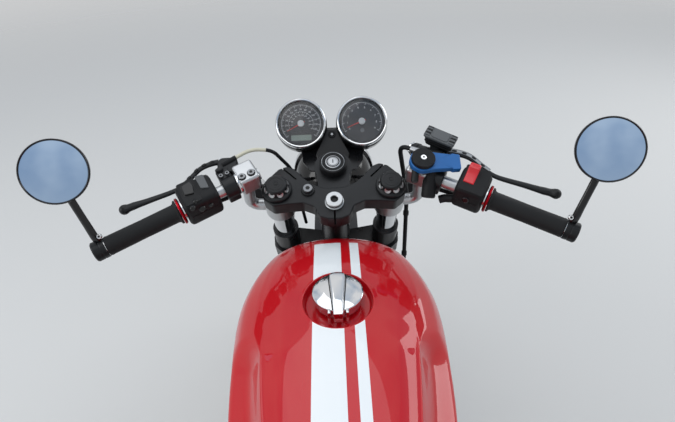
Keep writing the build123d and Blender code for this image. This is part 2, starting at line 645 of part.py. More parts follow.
def silencers():
    """Two upswept silencers with a tapered inlet, an open tail and a hanger."""
    y0, z0 = SILENCER_START
    y1, z1 = SILENCER_END
    length = hypot(y1 - y0, z1 - z0)
    points = [(HEADER_R + CLEAR, 0), (HEADER_R + 4, 0), (HEADER_R + 5, 26), (SILENCER_R - 6, 120),
              (SILENCER_R, 330), (SILENCER_R + 2, length - 46), (SILENCER_R - 4, length - 34),
              (TAILPIPE_R + 5, length - 8), (TAILPIPE_R + 3, length), (TAILPIPE_R, length),
              (TAILPIPE_R, length - 120), (0, length - 120), (0, 20), (HEADER_R + CLEAR, 20)]
    body = revolve(make_face(Polyline(*[(r, 0, z) for r, z in points], close=True)), axis=Axis.Z)
    direction = Vector(6, y1 - y0, z1 - z0)
    body = Plane(origin=(SILENCER_X - 6, y0, z0), z_dir=direction) * body
    hang_y = REARSET_BACK[0]
    tab_x = REARSET_X + 6 + CLEAR
    tab = plate([(hang_y - 12, REARSET_BACK[1] + 8), (hang_y + 12, REARSET_BACK[1] + 8), (hang_y + 12, 262),
                 (hang_y - 12, 262)], 5, tab_x)
    foot = Pos((tab_x + 158) / 2, hang_y, 266) * Box(158 - tab_x, 24, 8)
    return both(body + [tab, foot])


def oil_cooler():
    """Finned cooler between the down tubes, on two lugs."""
    y, z = FRONT_AXLE_Y - 368, 440.0
    core = Pos(0, y, z) * Box(92, 26, 104)
    slots = []
    for k in range(9):
        slots.append(Pos(0, y + 13, z - 44 + 11 * k) * Box(80, 10, 5))
    tanks = Pos(50, y, z) * Box(10, 30, 112)
    lug = rod((50, y - 4, z + 40), (80, y - 4, z + 40), 6)
    return core - slots + [both(tanks + lug)] - frame_cradle()


# Bodywork

TANK_SECTIONS = [
    # y, half width, its height, shoulder half width, its height, bulge, top, floor half width, floor
    (436, 62, 800, 44, 814, 2, 822, 56, 782),
    (404, 128, 788, 92, 824, 9, 843, 108, 742),
    (300, 166, 782, 120, 834, 10, 853, 144, 716),
    (160, 170, 766, 122, 830, -2, 850, 152, 712),
    (20, 152, 762, 108, 812, -4, 832, 134, 722),
    (-104, 116, 772, 88, 794, 3, 804, 104, 752),
]


def tank_section(y, wide, wide_z, shoulder, shoulder_z, bulge, top, floor, floor_z):
    """One cross-section of the tank: flat floor, rounded sides, shoulders and crown."""
    side_z = (floor_z + wide_z) / 2
    mid_x = (wide + shoulder) / 2 + bulge
    mid_z = (wide_z + shoulder_z) / 2 + bulge
    side_x = max(wide, floor) - 0.15 * (wide - floor)
    edges = [
        Line((-floor, y, floor_z), (floor, y, floor_z)),
        ThreePointArc((floor, y, floor_z), (side_x, y, side_z), (wide, y, wide_z)),
        ThreePointArc((wide, y, wide_z), (mid_x, y, mid_z), (shoulder, y, shoulder_z)),
        ThreePointArc((shoulder, y, shoulder_z), (0, y, top), (-shoulder, y, shoulder_z)),
        ThreePointArc((-shoulder, y, shoulder_z), (-mid_x, y, mid_z), (-wide, y, wide_z)),
        ThreePointArc((-wide, y, wide_z), (-side_x, y, side_z), (-floor, y, floor_z)),
    ]
    return make_face(edges)


def fuel_tank():
    """Tank with its knee recesses, the frame's tunnel, and the filler's dish and neck."""
    body = loft([tank_section(*row) for row in TANK_SECTIONS])
    front, back = Vector(*BACKBONE[0]), Vector(*BACKBONE[1])
    beyond = back + (back - front) * 0.2
    gap = BACKBONE_R + TUNNEL_GAP
    tunnel = rod(front, beyond, gap)
    below = plate([(front.Y, front.Z), (beyond.Y, beyond.Z), (beyond.Y, beyond.Z - 200), (front.Y, front.Z - 200)],
                  2 * gap, -gap)
    dish = extrude(Pos(0, CAP_Y, CAP_Z - DISH_DEPTH) * Ellipse(DISH_R, DISH_LONG_R), amount=3 * DISH_DEPTH)
    collar = Pos(0, CAP_Y, CAP_Z - DISH_DEPTH + COLLAR_H / 2) * Cylinder(NECK_R + 9, COLLAR_H)
    neck = Pos(0, CAP_Y, CAP_Z - NECK_DEPTH / 2) * Cylinder(NECK_R, NECK_DEPTH)
    foot_h = HINGE_Z - CAP_Z + DISH_DEPTH
    cheek = rod((9, hinge_y(), HINGE_Z), (14, hinge_y(), HINGE_Z), HINGE_R)
    cheek += Pos(11.5, hinge_y() + 1, HINGE_Z - foot_h / 2) * Box(5, 6, foot_h)
    return body - tunnel - below - dish + [collar, both(cheek)] - neck


def hinge_y():
    """How far forward the filler lid's hinge is."""
    return CAP_Y + CAP_R + 5.5


def fuel_cap():
    """Flip-up filler lid with its lever strip and hinge knuckle."""
    low = CAP_Z - DISH_DEPTH + COLLAR_H + CLEAR
    lid = Pos(0, CAP_Y, low + LID_T / 2) * Cylinder(CAP_R, LID_T)
    lid = fillet(lid.edges().filter_by(GeomType.CIRCLE).sort_by(Axis.Z)[-1], 3)
    lever = Pos(0, CAP_Y - 5, low + LID_T + 2) * Box(16, 2 * CAP_R + 14, 5)
    lever = fillet(lever.edges().filter_by(Axis.Z), 5)
    plug = Pos(0, CAP_Y, low - 2) * Cylinder(NECK_R - 4, 6)
    knuckle = rod((-8, hinge_y(), HINGE_Z), (8, hinge_y(), HINGE_Z), HINGE_R)
    tongue = Pos(0, hinge_y() - 6, HINGE_Z) * Box(14, 12, 6)
    return lid + [lever, plug, knuckle, tongue]


def seat_pad():
    """A plain closed solid for the rider's seat."""
    base = make_face(FilletPolyline((-78, -112), (-128, -300), (-132, SEAT_END_Y), (132, SEAT_END_Y), (128, -300), (78, -112),
                                    radius=12, close=True))
    body = extrude(Pos(0, 0, SEAT_Z) * base, amount=SEAT_T)
    return fillet(body.faces().sort_by(Axis.Z)[-1].edges(), 14)


def seat_cowl():
    """Painted hump behind the seat."""
    rear = [
        (SEAT_END_Y - CLEAR, 126, SEAT_Z + 1, 64),
        (SEAT_END_Y - 40, 130, SEAT_Z + 1, 118),
        (SEAT_END_Y - 120, 112, SEAT_Z + 1, 112),
        (SEAT_END_Y - 220, 66, SEAT_Z + 12, 66),
    ]
    faces = []
    for y, wide, low, high in rear:
        edges = [
            Line((-wide, y, low), (wide, y, low)),
            ThreePointArc((wide, y, low), (0, y, low + high), (-wide, y, low)),
        ]
        faces.append(make_face(edges))
    return loft(faces)


def side_panels():
    """Covers behind the engine, below the tank's rear corners."""
    x = CRADLE_HALF + FRAME_TUBE_R + CLEAR
    panel = plate([(-12, 700), (-40, 590), (-90, 548), (-170, 560), (-262, 690), (-200, 722), (-40, 722)], 12, x)
    panel = fillet(panel.edges().filter_by(Axis.X), 18)
    panel = fillet(panel.faces().sort_by(Axis.X)[-1].edges(), 5)
    boss = rod((x - 22, PIVOT_Y + 6, 612), (x + 1, PIVOT_Y + 6, 612), 9)
    return both(panel + boss) - frame_cradle()


def fender_strip(radius, width, crown, start, stop):
    """A thin curved strip round the X axis, from one angle to another, measured from +Y upwards."""
    half = width / 2
    edge = radius - crown
    profile = make_face([
        ThreePointArc((-half, edge, 0), (0, radius, 0), (half, edge, 0)),
        Line((half, edge, 0), (half, edge + SHEET, 0)),
        ThreePointArc((half, edge + SHEET, 0), (0, radius + SHEET, 0), (-half, edge + SHEET, 0)),
        Line((-half, edge + SHEET, 0), (-half, edge, 0)),
    ])
    return Rot(start, 0, 0) * revolve(profile, axis=Axis.X, revolution_arc=stop - start)


def rear_fender():
    """Mudguard fixed under the seat rails, with the bare number plate's bracket at its tail."""
    strip = Pos(0, REAR_AXLE_Y, REAR_AXLE_Z) * fender_strip(FENDER_R, 140, 0.1, 50, 150)
    lean = radians(PLATE_LEAN)
    y = REAR_END_Y + PLATE_H / 2 * sin(lean) + SHEET / 2 * cos(lean)
    place = Pos(0, y, PLATE_Z) * Rot(-PLATE_LEAN, 0, 0)
    board = place * Box(PLATE_W, SHEET, PLATE_H)
    holes = [place * Pos(i * BOLT_HALF, 0, j * BOLT_HALF) * Rot(90, 0, 0) * Cylinder(BOLT_R, 4 * SHEET)
             for i in (-1, 1) for j in (-1, 1)]
    tip = radians(142)
    root_y = REAR_AXLE_Y + FENDER_R * cos(tip)
    root_z = REAR_AXLE_Z + FENDER_R * sin(tip)
    arm = plate([(root_y + 28, root_z + 26), (root_y - 4, root_z - 6), (y + 3, PLATE_Z - 10), (y + 3, PLATE_Z + 10)], 4, 24)
    inside = Pos(0, REAR_AXLE_Y, REAR_AXLE_Z) * Rot(0, 90, 0) * Cylinder(FENDER_R + SHEET / 2, 200)
    return strip + [board, both(arm - inside)] - holes


def tail_lamp():
    """Round tail lamp on the rail loop."""
    y = RAIL_END_Y - RAIL_LOOP - RAIL_R
    body = rod((0, y - CLEAR, TAIL_Z), (0, y - 34, TAIL_Z), 30)
    return body + rod((0, y - 34, TAIL_Z), (0, y - 46, TAIL_Z), 38)


def indicators(y, z, inner, reach, radius):
    """A pair of round indicators on short stalks along X."""
    stalk = rod((inner, y, z), (inner + reach, y, z), 6)
    bulb = rod((inner + reach + 14, y - 22, z), (inner + reach + 14, y + 22, z), radius)
    return both(stalk + bulb)


def rear_indicators():
    """Indicators on the tail lamp's sides."""
    return indicators(RAIL_END_Y - RAIL_LOOP - RAIL_R - 17, TAIL_Z, 24, 96, 20) - tail_lamp()


# Rider's controls on the frame

REARSET_X = CRADLE_HALF + FRAME_TUBE_R + CLEAR
REARSET_BACK = (-345.0, 352.0)
PEG_AT = (-200.0, 352.0)


def footrests():
    """Bracket plates, folding pegs, brake pedal and shift lever."""
    carrier = plate([(-96, 440), (-92, 330), (-180, 326), (-354, 336), (-358, 366), (-230, 384), (-150, 446)],
                    6, REARSET_X)
    carrier = fillet(carrier.edges().filter_by(Axis.X), 8)
    peg = rod((REARSET_X + 2, *PEG_AT), (REARSET_X + 104, *PEG_AT), 11)
    lever = bent([(REARSET_X + 14, PEG_AT[0] + 6, PEG_AT[1] - 4), (REARSET_X + 22, -140, 330),
                  (REARSET_X + 40, -102, 332)], 6, [20])
    pad = rod((REARSET_X + 34, -102, 332), (REARSET_X + 84, -102, 332), 8)
    return both(carrier + [peg, lever, pad])


# Stands

def centre_stand():
    """Two splayed legs on a pivot tube, with feet under the engine's rear."""
    pivot = rod((-STAND_HALF - 14, STAND_Y, STAND_Z), (STAND_HALF + 14, STAND_Y, STAND_Z), 13)
    ends = rod((-CRADLE_HALF + 8, STAND_Y, STAND_Z), (CRADLE_HALF - 8, STAND_Y, STAND_Z), 7)
    leg = rod((STAND_HALF, STAND_Y, STAND_Z), (STAND_FOOT_HALF, STAND_FOOT_Y, STAND_TUBE_R), STAND_TUBE_R)
    foot = rod((STAND_FOOT_HALF, STAND_FOOT_Y - 22, STAND_TUBE_R), (STAND_FOOT_HALF, STAND_FOOT_Y + 22, STAND_TUBE_R),
               STAND_TUBE_R)
    mid = 0.55
    x = STAND_HALF + (STAND_FOOT_HALF - STAND_HALF) * mid
    y = STAND_Y + (STAND_FOOT_Y - STAND_Y) * mid
    z = STAND_Z + (STAND_TUBE_R - STAND_Z) * mid
    brace = rod((-x, y, z), (x, y, z), 8)
    return pivot + [ends, both(leg + foot), brace]


def side_stand():
    """The prop stand, folded back along the frame's left rail."""
    boss = Cylinder(12, 12)
    leg = Pos(PROP_LENGTH / 2, 0, 0) * Rot(0, 90, 0) * Cylinder(8, PROP_LENGTH)
    foot = Pos(PROP_LENGTH - 6, 0, -10) * Box(12, 26, 34)
    return prop_place() * (boss + leg + foot - Cylinder(PROP_PIN_R + CLEAR, 30))


# Steering

def fork_placed(shape):
    """Moves a shape from the fork's frame, where z is 0 at the axle."""
    return FORK * shape


def from_top(x, y, z):
    """A place given from the top of the fork tubes, still in the fork's frame."""
    return Pos(x, FORK_Y + y, FORK_LENGTH + z)


def yoke_outline(half):
    """A yoke's closed outline, its right half from front to back mirrored to the left."""
    left = [(-x, y) for x, y in reversed(half) if x > 0]
    return half + left


TOP_HALF = [(18, 2), (40, 12), (56, 26), (74, 48), (88, 54), (104, 48), (126, 24), (135, 4), (130, -18), (112, -33),
            (84, -30), (56, -29), (36, -38), (28, -58), (12, -64)]
LOWER_HALF = [(0, 16), (86, 30), (122, 28), (137, 10), (135, -14), (118, -30), (60, -44), (22, -62)]


def top_yoke():
    """Upper yoke with the ignition's seat, clamp slots, stem nut and the fork's top caps."""
    body = slab(yoke_outline(TOP_HALF), -YOKE_T, YOKE_T)
    body = fillet(body.edges().filter_by(Axis.Z), 9)
    body = fillet(body.faces().sort_by(Axis.Z)[-1].edges(), 2.5)
    seat = Pos(0, LOCK_Y, -YOKE_T / 2 - 3) * Cylinder(36, YOKE_T - 6)
    neck = Pos(0, 22, -YOKE_T / 2 - 3) * Box(60, 44, YOKE_T - 6)
    bores = both(Pos(FORK_HALF, 0, -YOKE_T / 2) * Cylinder(TUBE_R + CLEAR, 2 * YOKE_T))
    stem_bore = Pos(0, -YOKE_OFFSET, -YOKE_T / 2) * Cylinder(STEM_R + CLEAR, 2 * YOKE_T)
    slots = both(Pos(84, 37, -YOKE_T / 2) * Rot(0, 0, -45) * Box(3, 40, 2 * YOKE_T))
    back_slot = Pos(0, -58, -YOKE_T / 2) * Box(3, 26, 2 * YOKE_T)
    switch_hole = Pos(0, LOCK_Y, 0) * Cylinder(19, 3 * YOKE_T)
    body = body + [seat, neck] - bores - stem_bore - slots - back_slot - switch_hole
    return fork_placed(from_top(0, 0, 0) * body)


def stem_nut():
    """Washer and socket nut on the steering stem."""
    low = (Align.CENTER, Align.CENTER, Align.MIN)
    nut = Cylinder(17, 3, align=low) + Pos(0, 0, 3) * Cylinder(14.5, 9, align=low)
    nut = chamfer(nut.edges().filter_by(GeomType.CIRCLE).sort_by(Axis.Z)[-1], 1.5)
    socket = extrude(Pos(0, 0, 4) * RegularPolygon(10, 6), amount=12)
    return fork_placed(from_top(0, -YOKE_OFFSET, 0) * (nut - socket))


def ignition_switch():
    """Ignition lock in the yoke's front seat."""
    low = (Align.CENTER, Align.CENTER, Align.MIN)
    body = Pos(0, 0, -44) * Cylinder(19 - CLEAR, 54, align=low)
    ring = Cylinder(23.5, LOCK_H, align=low)
    ring = fillet(ring.edges().filter_by(GeomType.CIRCLE).sort_by(Axis.Z)[-1], 3)
    slot = Pos(0, 0, LOCK_H) * Box(2.6, 12, 6)
    ring = ring - slot
    return fork_placed(from_top(0, LOCK_Y, -6 + CLEAR) * (body + ring))


def lower_yoke():
    """Lower yoke with the steering stem."""
    body = slab(yoke_outline(LOWER_HALF), LOWER_YOKE_Z - FORK_LENGTH, LOWER_YOKE_T)
    body = fillet(body.edges().filter_by(Axis.Z), 7)
    bores = both(Pos(FORK_HALF, 0, 0) * Cylinder(TUBE_R + CLEAR, 4 * FORK_LENGTH))
    stem = Pos(0, -YOKE_OFFSET, (LOWER_YOKE_Z - FORK_LENGTH) / 2) * Cylinder(STEM_R, FORK_LENGTH - LOWER_YOKE_Z)
    slots = both(Pos(FORK_HALF + 26, 0, 0) * Box(26, 3, 4 * FORK_LENGTH))
    return fork_placed(from_top(0, 0, 0) * (body - bores - slots + stem))


def fork_tubes():
    """The chromed stanchions."""
    low = 200.0
    tube = Pos(FORK_HALF, FORK_Y, low) * Cylinder(TUBE_R, FORK_LENGTH - low, align=(Align.CENTER, Align.CENTER, Align.MIN))
    return fork_placed(both(tube))


def fork_caps():
    """Top caps with their fluted preload adjusters."""
    low = (Align.CENTER, Align.CENTER, Align.MIN)
    base = Cylinder(26, 8, align=low)
    base = chamfer(base.edges().filter_by(GeomType.CIRCLE).sort_by(Axis.Z)[-1], 2)
    knob = Pos(0, 0, 8) * Cone(19, 15, 15, align=low)
    flutes = [Rot(0, 0, 45 * k) * Pos(20.5, 0, 15) * Sphere(4.5) for k in range(8)]
    top = Pos(0, 0, 23) * Cylinder(4, 3, align=low)
    cap = base + knob - flutes + top
    return fork_placed(both(from_top(FORK_HALF, 0, 0) * cap))


def fork_sliders():
    """Lower legs with their axle lugs, dust seals and the front axle."""
    low = (Align.CENTER, Align.CENTER, Align.MIN)
    leg = Pos(FORK_HALF, FORK_Y, 26) * Cylinder(SLIDER_R, SLIDER_TOP - 26, align=low)
    collar = Pos(FORK_HALF, FORK_Y, SLIDER_TOP - 24) * Cylinder(SLIDER_R + 3, 24, align=low)
    collar = chamfer(collar.edges().filter_by(GeomType.CIRCLE).sort_by(Axis.Z)[-1], 4)
    lug = Pos(FORK_HALF, 0, 0) * Box(38, 44, 76)
    lug = fillet(lug.edges().filter_by(Axis.X), 16)
    bore = Pos(FORK_HALF, FORK_Y, 200 - CLEAR) * Cylinder(TUBE_R + CLEAR, FORK_LENGTH, align=low)
    axle = rod((-FORK_HALF - 24, 0, 0), (FORK_HALF + 24, 0, 0), AXLE_R)
    inner = HUB_HALF + HUB_NOSE + CLEAR
    spacer = rod((inner, 0, 0), (FORK_HALF - 18, 0, 0), 14)
    return fork_placed(both(leg + [collar, lug] - bore + spacer) + [axle])


def clip_ons():
    """Clamps round the fork tubes, their risers, the bars' clamps and the bars themselves."""
    low = (Align.CENTER, Align.CENTER, Align.MIN)
    ring_z = -YOKE_T - 34
    ring = Pos(FORK_HALF, 0, ring_z) * Cylinder(TUBE_R + 9, 32, align=low)
    riser = bent([(FORK_HALF + 20, 0, ring_z + 15), (BAR_AT[0] + 10, 2, ring_z + 15),
                  (BAR_AT[0] + 4, BAR_AT[1] - 2, BAR_AT[2] - 4)], 11, [18])
    bore = Pos(FORK_HALF, 0, ring_z) * Cylinder(TUBE_R + CLEAR, 40, align=low)
    block = bar_place(-17) * Pos(4, 0, 0) * Box(44, 40, 38, align=low)
    block = fillet(block.edges(), 5)
    hole = bar_place(-40) * Cylinder(BAR_R + CLEAR, 120, align=low)
    slot = bar_place(-18) * Pos(20, 0, 0) * Box(24, 2, 42, align=low)
    bar = bar_place(-20) * Cylinder(BAR_R, BAR_LENGTH + 22, align=low)
    return fork_placed(from_top(0, 0, 0) * both(ring + [riser, block] - bore - hole - slot + bar))


def bar_place(along):
    """A place on the right bar, with z along the bar outwards, x forwards and y upwards."""
    a, b = Vector(*BAR_AT), Vector(*BAR_END_AT)
    direction = (b - a).normalized()
    across = Vector(0, 0, 1).cross(direction).normalized()
    return Plane(origin=a + direction * along, x_dir=across, z_dir=direction).location


BAR_LENGTH = (Vector(*BAR_END_AT) - Vector(*BAR_AT)).length


def on_bar(along, length, radius):
    """A round sleeve on the right bar, with the bar's hole through it."""
    low = (Align.CENTER, Align.CENTER, Align.MIN)
    sleeve = bar_place(along) * Cylinder(radius, length, align=low)
    hole = bar_place(along - 1) * Cylinder(BAR_R + CLEAR, length + 2, align=low)
    return sleeve - hole


def grips():
    """Ribbed rubber grips."""
    count = 12
    pitch = (GRIP_LENGTH - 8) / count
    points = [(BAR_R + CLEAR, 0), (GRIP_R + 3, 0), (GRIP_R + 3, 5), (GRIP_R, 7)]
    for k in range(count):
        z = 8 + pitch * k
        points += [(GRIP_R, z + pitch * 0.3), (GRIP_R - 1, z + pitch * 0.4), (GRIP_R - 1, z + pitch * 0.7),
                   (GRIP_R, z + pitch * 0.8)]
    points += [(GRIP_R, GRIP_LENGTH), (BAR_R + CLEAR, GRIP_LENGTH)]
    body = revolve(make_face(Polyline(*[(r, 0, z) for r, z in points], close=True)), axis=Axis.Z)
    return fork_placed(from_top(0, 0, 0) * both(bar_place(GRIP_START) * body))


def switch_blocks():
    """Switch housings beside the grips."""
    low = (Align.CENTER, Align.CENTER, Align.MIN)
    hole = bar_place(SWITCH_START - 2) * Cylinder(BAR_R + CLEAR, SWITCH_LENGTH + 4, align=low)
    left, right = (fillet((bar_place(SWITCH_START + late) * Pos(6, -2, 0)
                           * Box(56, 60, SWITCH_LENGTH - late, align=low)).edges(), 12) - hole for late in (0, 12))
    return fork_placed(from_top(0, 0, 0) * (Part() + [right, mirror(left, about=Plane.YZ)]))


def levers():
    """Perches and hand levers."""
    low = (Align.CENTER, Align.CENTER, Align.MIN)
    perch = on_bar(PERCH_START, PERCH_LENGTH, 18)
    arm = bar_place(PERCH_START + 3) * Pos(30, 0, 8) * Box(44, 16, 18)
    arm -= bar_place(PERCH_START - 2) * Cylinder(BAR_R + CLEAR, PERCH_LENGTH + 4, align=low)
    right = bent([(204, 44, 31), (248, 34, 32), (292, -12, 33), (388, -52, 34)], 6, [18, 60])
    left = bent([(-204, 44, 31), (-242, 34, 32), (-280, -12, 33), (-367, -49, 34)], 6, [18, 60])
    balls = [Pos(388, -52, 34) * Sphere(9), Pos(-367, -49, 34) * Sphere(9)]
    return fork_placed(from_top(0, 0, 0) * (both(perch + arm) + [right, left, *balls]))


def master_cylinder():
    """Front brake's master cylinder with its square reservoir."""
    low = (Align.CENTER, Align.CENTER, Align.MIN)
    body = bar_place(PERCH_START + 2 - CLEAR) * Pos(44, 0, -52) * Cylinder(11, 52, align=low)
    neck = rod(tuple((bar_place(10) * Pos(46, 0, 0)).position), (190, 58, 44), 8)
    tank = Pos(196, 60, 51) * Rot(0, 0, -32) * Box(52, 22, 22)
    tank = fillet(tank.edges().filter_by(Axis.Z), 4)
    lid = Pos(196, 60, 64.5) * Rot(0, 0, -32) * Box(57, 25, 5)
    lid = fillet(lid.edges().filter_by(Axis.Z), 5)
    return fork_placed(from_top(0, 0, 0) * (body + [neck, tank, lid])) - levers()


def phone_mount():
    """A clamp on the right bar with a slim arm and a round holder's base."""
    clamp = on_bar(PERCH_START + PERCH_LENGTH + 1, 12, 17)
    x, y, z = tuple(bar_place(PERCH_START + PERCH_LENGTH + 7).position)
    post = rod((x, y, z + BAR_R + 2), (x, y, z + 30), 6)
    arm = slab([(146, 30), (182, 31), (226, 14), (219, -20), (172, -19), (146, -8)], z + 28, 9)
    disc = Pos(158, 10, z + 40) * Cylinder(20, 10)
    return fork_placed(from_top(0, 0, 0) * (clamp + [post, arm, disc]))


def mirrors():
    """Round bar-end mirrors: clamp, stalk and domed shell."""
    low = (Align.CENTER, Align.CENTER, Align.MIN)
    ring = bar_place(GRIP_START + GRIP_LENGTH + 1) * Cylinder(GRIP_R, 22, align=low)
    ring -= bar_place(GRIP_START + GRIP_LENGTH - 1) * Cylinder(BAR_R + CLEAR, BAR_LENGTH + 5 - GRIP_START
                                                              - GRIP_LENGTH, align=low)
    foot = bar_place(GRIP_START + GRIP_LENGTH + 12).position
    top = Vector(*MIRROR_AT)
    stalk = rod(foot + Vector(0, 4, 13), top - Vector(6, 4, 30), 6, 5)
    clamp = ring + stalk
    world = fork_placed(from_top(0, 0, 0) * clamp)
    inner = MIRROR_R - MIRROR_RIM
    shell = revolve(make_face([
        Line((0, 0, -MIRROR_GLASS_T), (inner, 0, -MIRROR_GLASS_T)), Line((inner, 0, -MIRROR_GLASS_T), (inner, 0, 0)),
        Line((inner, 0, 0), (MIRROR_R, 0, 0)), Line((MIRROR_R, 0, 0), (MIRROR_R, 0, -6)),
        dome(MIRROR_R, -6, -23), Line((0, 0, -23), (0, 0, -MIRROR_GLASS_T))]), axis=Axis.Z)
    return both(world + mirror_place() * shell)


def mirror_place():
    """The right mirror's place: the centre of its rim, with z out of the glass towards the rider."""
    up, inward = radians(MIRROR_UP), radians(MIRROR_IN)
    normal = Vector(-sin(inward) * cos(up), -cos(inward) * cos(up), sin(up))
    return Plane(origin=fork_point(*MIRROR_AT), z_dir=normal).location


def mirror_glasses():
    """The mirrors' glass discs, seated in their rims."""
    low = (Align.CENTER, Align.CENTER, Align.MIN)
    glass = Cylinder(MIRROR_R - MIRROR_RIM - CLEAR, MIRROR_GLASS_T, align=low)
    return both(mirror_place() * Pos(0, 0, -MIRROR_GLASS_T) * glass)


def gauge_place():
    """The right gauge's place: its face centre, with z out of the face."""
    return Pos(GAUGE_HALF, FORK_TOP[1] + GAUGE_AHEAD, FORK_TOP[2] + GAUGE_ABOVE) * Rot(90 - GAUGE_UP, 0, 0)


def gauges():
    """The instruments' black cups."""
    outer = GAUGE_R - 3
    cup = revolve(make_face(Polyline((0, 0, -4), (outer, 0, -4), (outer, 0, -30), (outer - 8, 0, -GAUGE_DEPTH),
                                     (0, 0, -GAUGE_DEPTH), close=True)), axis=Axis.Z)
    return both(gauge_place() * cup)


def gauge_bezels():
    """Polished rings round the dials."""
    outer = GAUGE_R - 3
    ring = revolve(make_face([
        Line((outer - 5, 0, -4 + CLEAR), (outer - 5, 0, 1)),
        ThreePointArc((outer - 5, 0, 1), (outer + 1, 0, 4), (GAUGE_R, 0, -2)),
        Line((GAUGE_R, 0, -2), (GAUGE_R, 0, -9)), Line((GAUGE_R, 0, -9), (outer + CLEAR, 0, -9)),
        Line((outer + CLEAR, 0, -9), (outer + CLEAR, 0, -4 + CLEAR)),
        Line((outer + CLEAR, 0, -4 + CLEAR), (outer - 5, 0, -4 + CLEAR))]), axis=Axis.Z)
    return both(gauge_place() * ring)


def gauge_bracket():
    """The plate that carries the instruments, from the upper yoke's front."""
    foot = fork_point(0, 60, -24)
    pad_t = 6.0
    pad = gauge_place() * Pos(0, 0, -GAUGE_DEPTH - CLEAR - pad_t / 2) * Cylinder(30, pad_t)
    x, y, z = tuple((gauge_place() * Pos(0, 0, -GAUGE_DEPTH - CLEAR - pad_t - 4)).position)
    cups = gauges()
    bar = rod((0, y, z), (x, y, z), 6)
    strut = rod((22, foot[1] - 20, foot[2] - 10), (30, y, z), 6)
    shroud = slab([(0, 60), (44, 62), (60, 84), (62, 116), (40, 130), (0, 132)], -34, 4)
    shroud = fork_placed(from_top(0, 0, 0) * shroud)
    return both(pad + [bar, strut, shroud]) - cups - top_yoke() - ignition_switch()


LAMP_Y = FORK_TOP[1] + LAMP_AHEAD
LAMP_Z = FORK_TOP[2] - LAMP_BELOW


def headlamp():
    """Round headlamp shell with its rim."""
    shell = revolve(make_face([
        Line((0, 0, -10), (LAMP_R - 8, 0, -10)), Line((LAMP_R - 8, 0, -10), (LAMP_R - 8, 0, 0)),
        Line((LAMP_R - 8, 0, 0), (LAMP_R, 0, -4)), Line((LAMP_R, 0, -4), (LAMP_R, 0, -20)),
        Line((LAMP_R, 0, -20), (LAMP_R - 4, 0, -22)),
        dome(LAMP_R - 4, -22, -LAMP_DEPTH),
        Line((0, 0, -LAMP_DEPTH), (0, 0, -10))]), axis=Axis.Z)
    return Plane(origin=(0, LAMP_Y, LAMP_Z), z_dir=(0, 1, 0)) * shell


def headlamp_lens():
    """The headlamp's domed glass."""
    r = LAMP_R - 8 - CLEAR
    lens = revolve(make_face([
        Line((0, 0, -10 + CLEAR), (r, 0, -10 + CLEAR)), Line((r, 0, -10 + CLEAR), (r, 0, -2)),
        dome(r, -2, 9), Line((0, 0, 9), (0, 0, -10 + CLEAR))]), axis=Axis.Z)
    return Plane(origin=(0, LAMP_Y, LAMP_Z), z_dir=(0, 1, 0)) * lens


def headlamp_ears():
    """Brackets from the fork tubes to the headlamp's sides."""
    low = (Align.CENTER, Align.CENTER, Align.MIN)
    ring = fork_placed(Pos(FORK_HALF, FORK_Y, EAR_Z - 26) * Cylinder(TUBE_R + 6, 52, align=low))
    inner = LAMP_R + 1
    at = fork_point(0, 24, EAR_Z - FORK_LENGTH)
    web = plate([(at[1], at[2] + 22), (at[1] - 4, at[2] - 24), (LAMP_Y - 66, LAMP_Z - 20), (LAMP_Y - 30, LAMP_Z - 16),
                 (LAMP_Y - 22, LAMP_Z + 12), (LAMP_Y - 60, LAMP_Z + 26)], 5, inner)
    bolt = rod((LAMP_R * 0.86, LAMP_Y - 42, LAMP_Z), (inner + 10, LAMP_Y - 42, LAMP_Z), 9)
    bore = fork_placed(Pos(FORK_HALF, FORK_Y, EAR_Z - 100) * Cylinder(TUBE_R + CLEAR, 200, align=low))
    return both(ring + [web, bolt] - bore) - headlamp()


def front_fender():
    """Front mudguard with stays to the sliders."""
    strip = fender_strip(FRONT_TYRE_R + 16, 112, 12, 40, 160)
    bridge = Pos(FORK_HALF - SLIDER_R - 14, FORK_Y, 306) * Box(36, 20, 5)
    lift = Pos(50, FORK_Y, 316) * Box(5, 20, 25)
    return fork_placed(strip + [both(bridge + lift)]) - fork_sliders()


def front_caliper():
    """Two-part caliper over the disc, on lugs of the right slider."""
    slot_x = FRONT_DISC_X
    body = Pos(slot_x + 2, -78, 112) * Box(46, 62, 84)
    body = fillet(body.edges(), 8)
    gap = Pos(slot_x, 0, 0) * Rot(0, 90, 0) * Cylinder(FRONT_DISC_R + 4, DISC_T + 4)
    lug = Pos(FORK_HALF - SLIDER_R, -42, 112) * Box(30, 60, 50)
    shape = body - gap + (lug - gap)
    return fork_placed(shape) - fork_sliders()


def brake_hose():
    """The front brake's hose, from the master cylinder down the right fork leg to the caliper."""
    start = tuple((bar_place(PERCH_START - 34) * Pos(44, 0, 0)).position)
    hose = bent([start, (128, 82, 14), (150, 44, -100), (150, -44, -262), (74, -78, -352), (72, -74, -520)],
                HOSE_R, [20, 60, 60, 40])
    return fork_placed(from_top(0, 0, 0) * hose) - front_caliper() - master_cylinder()


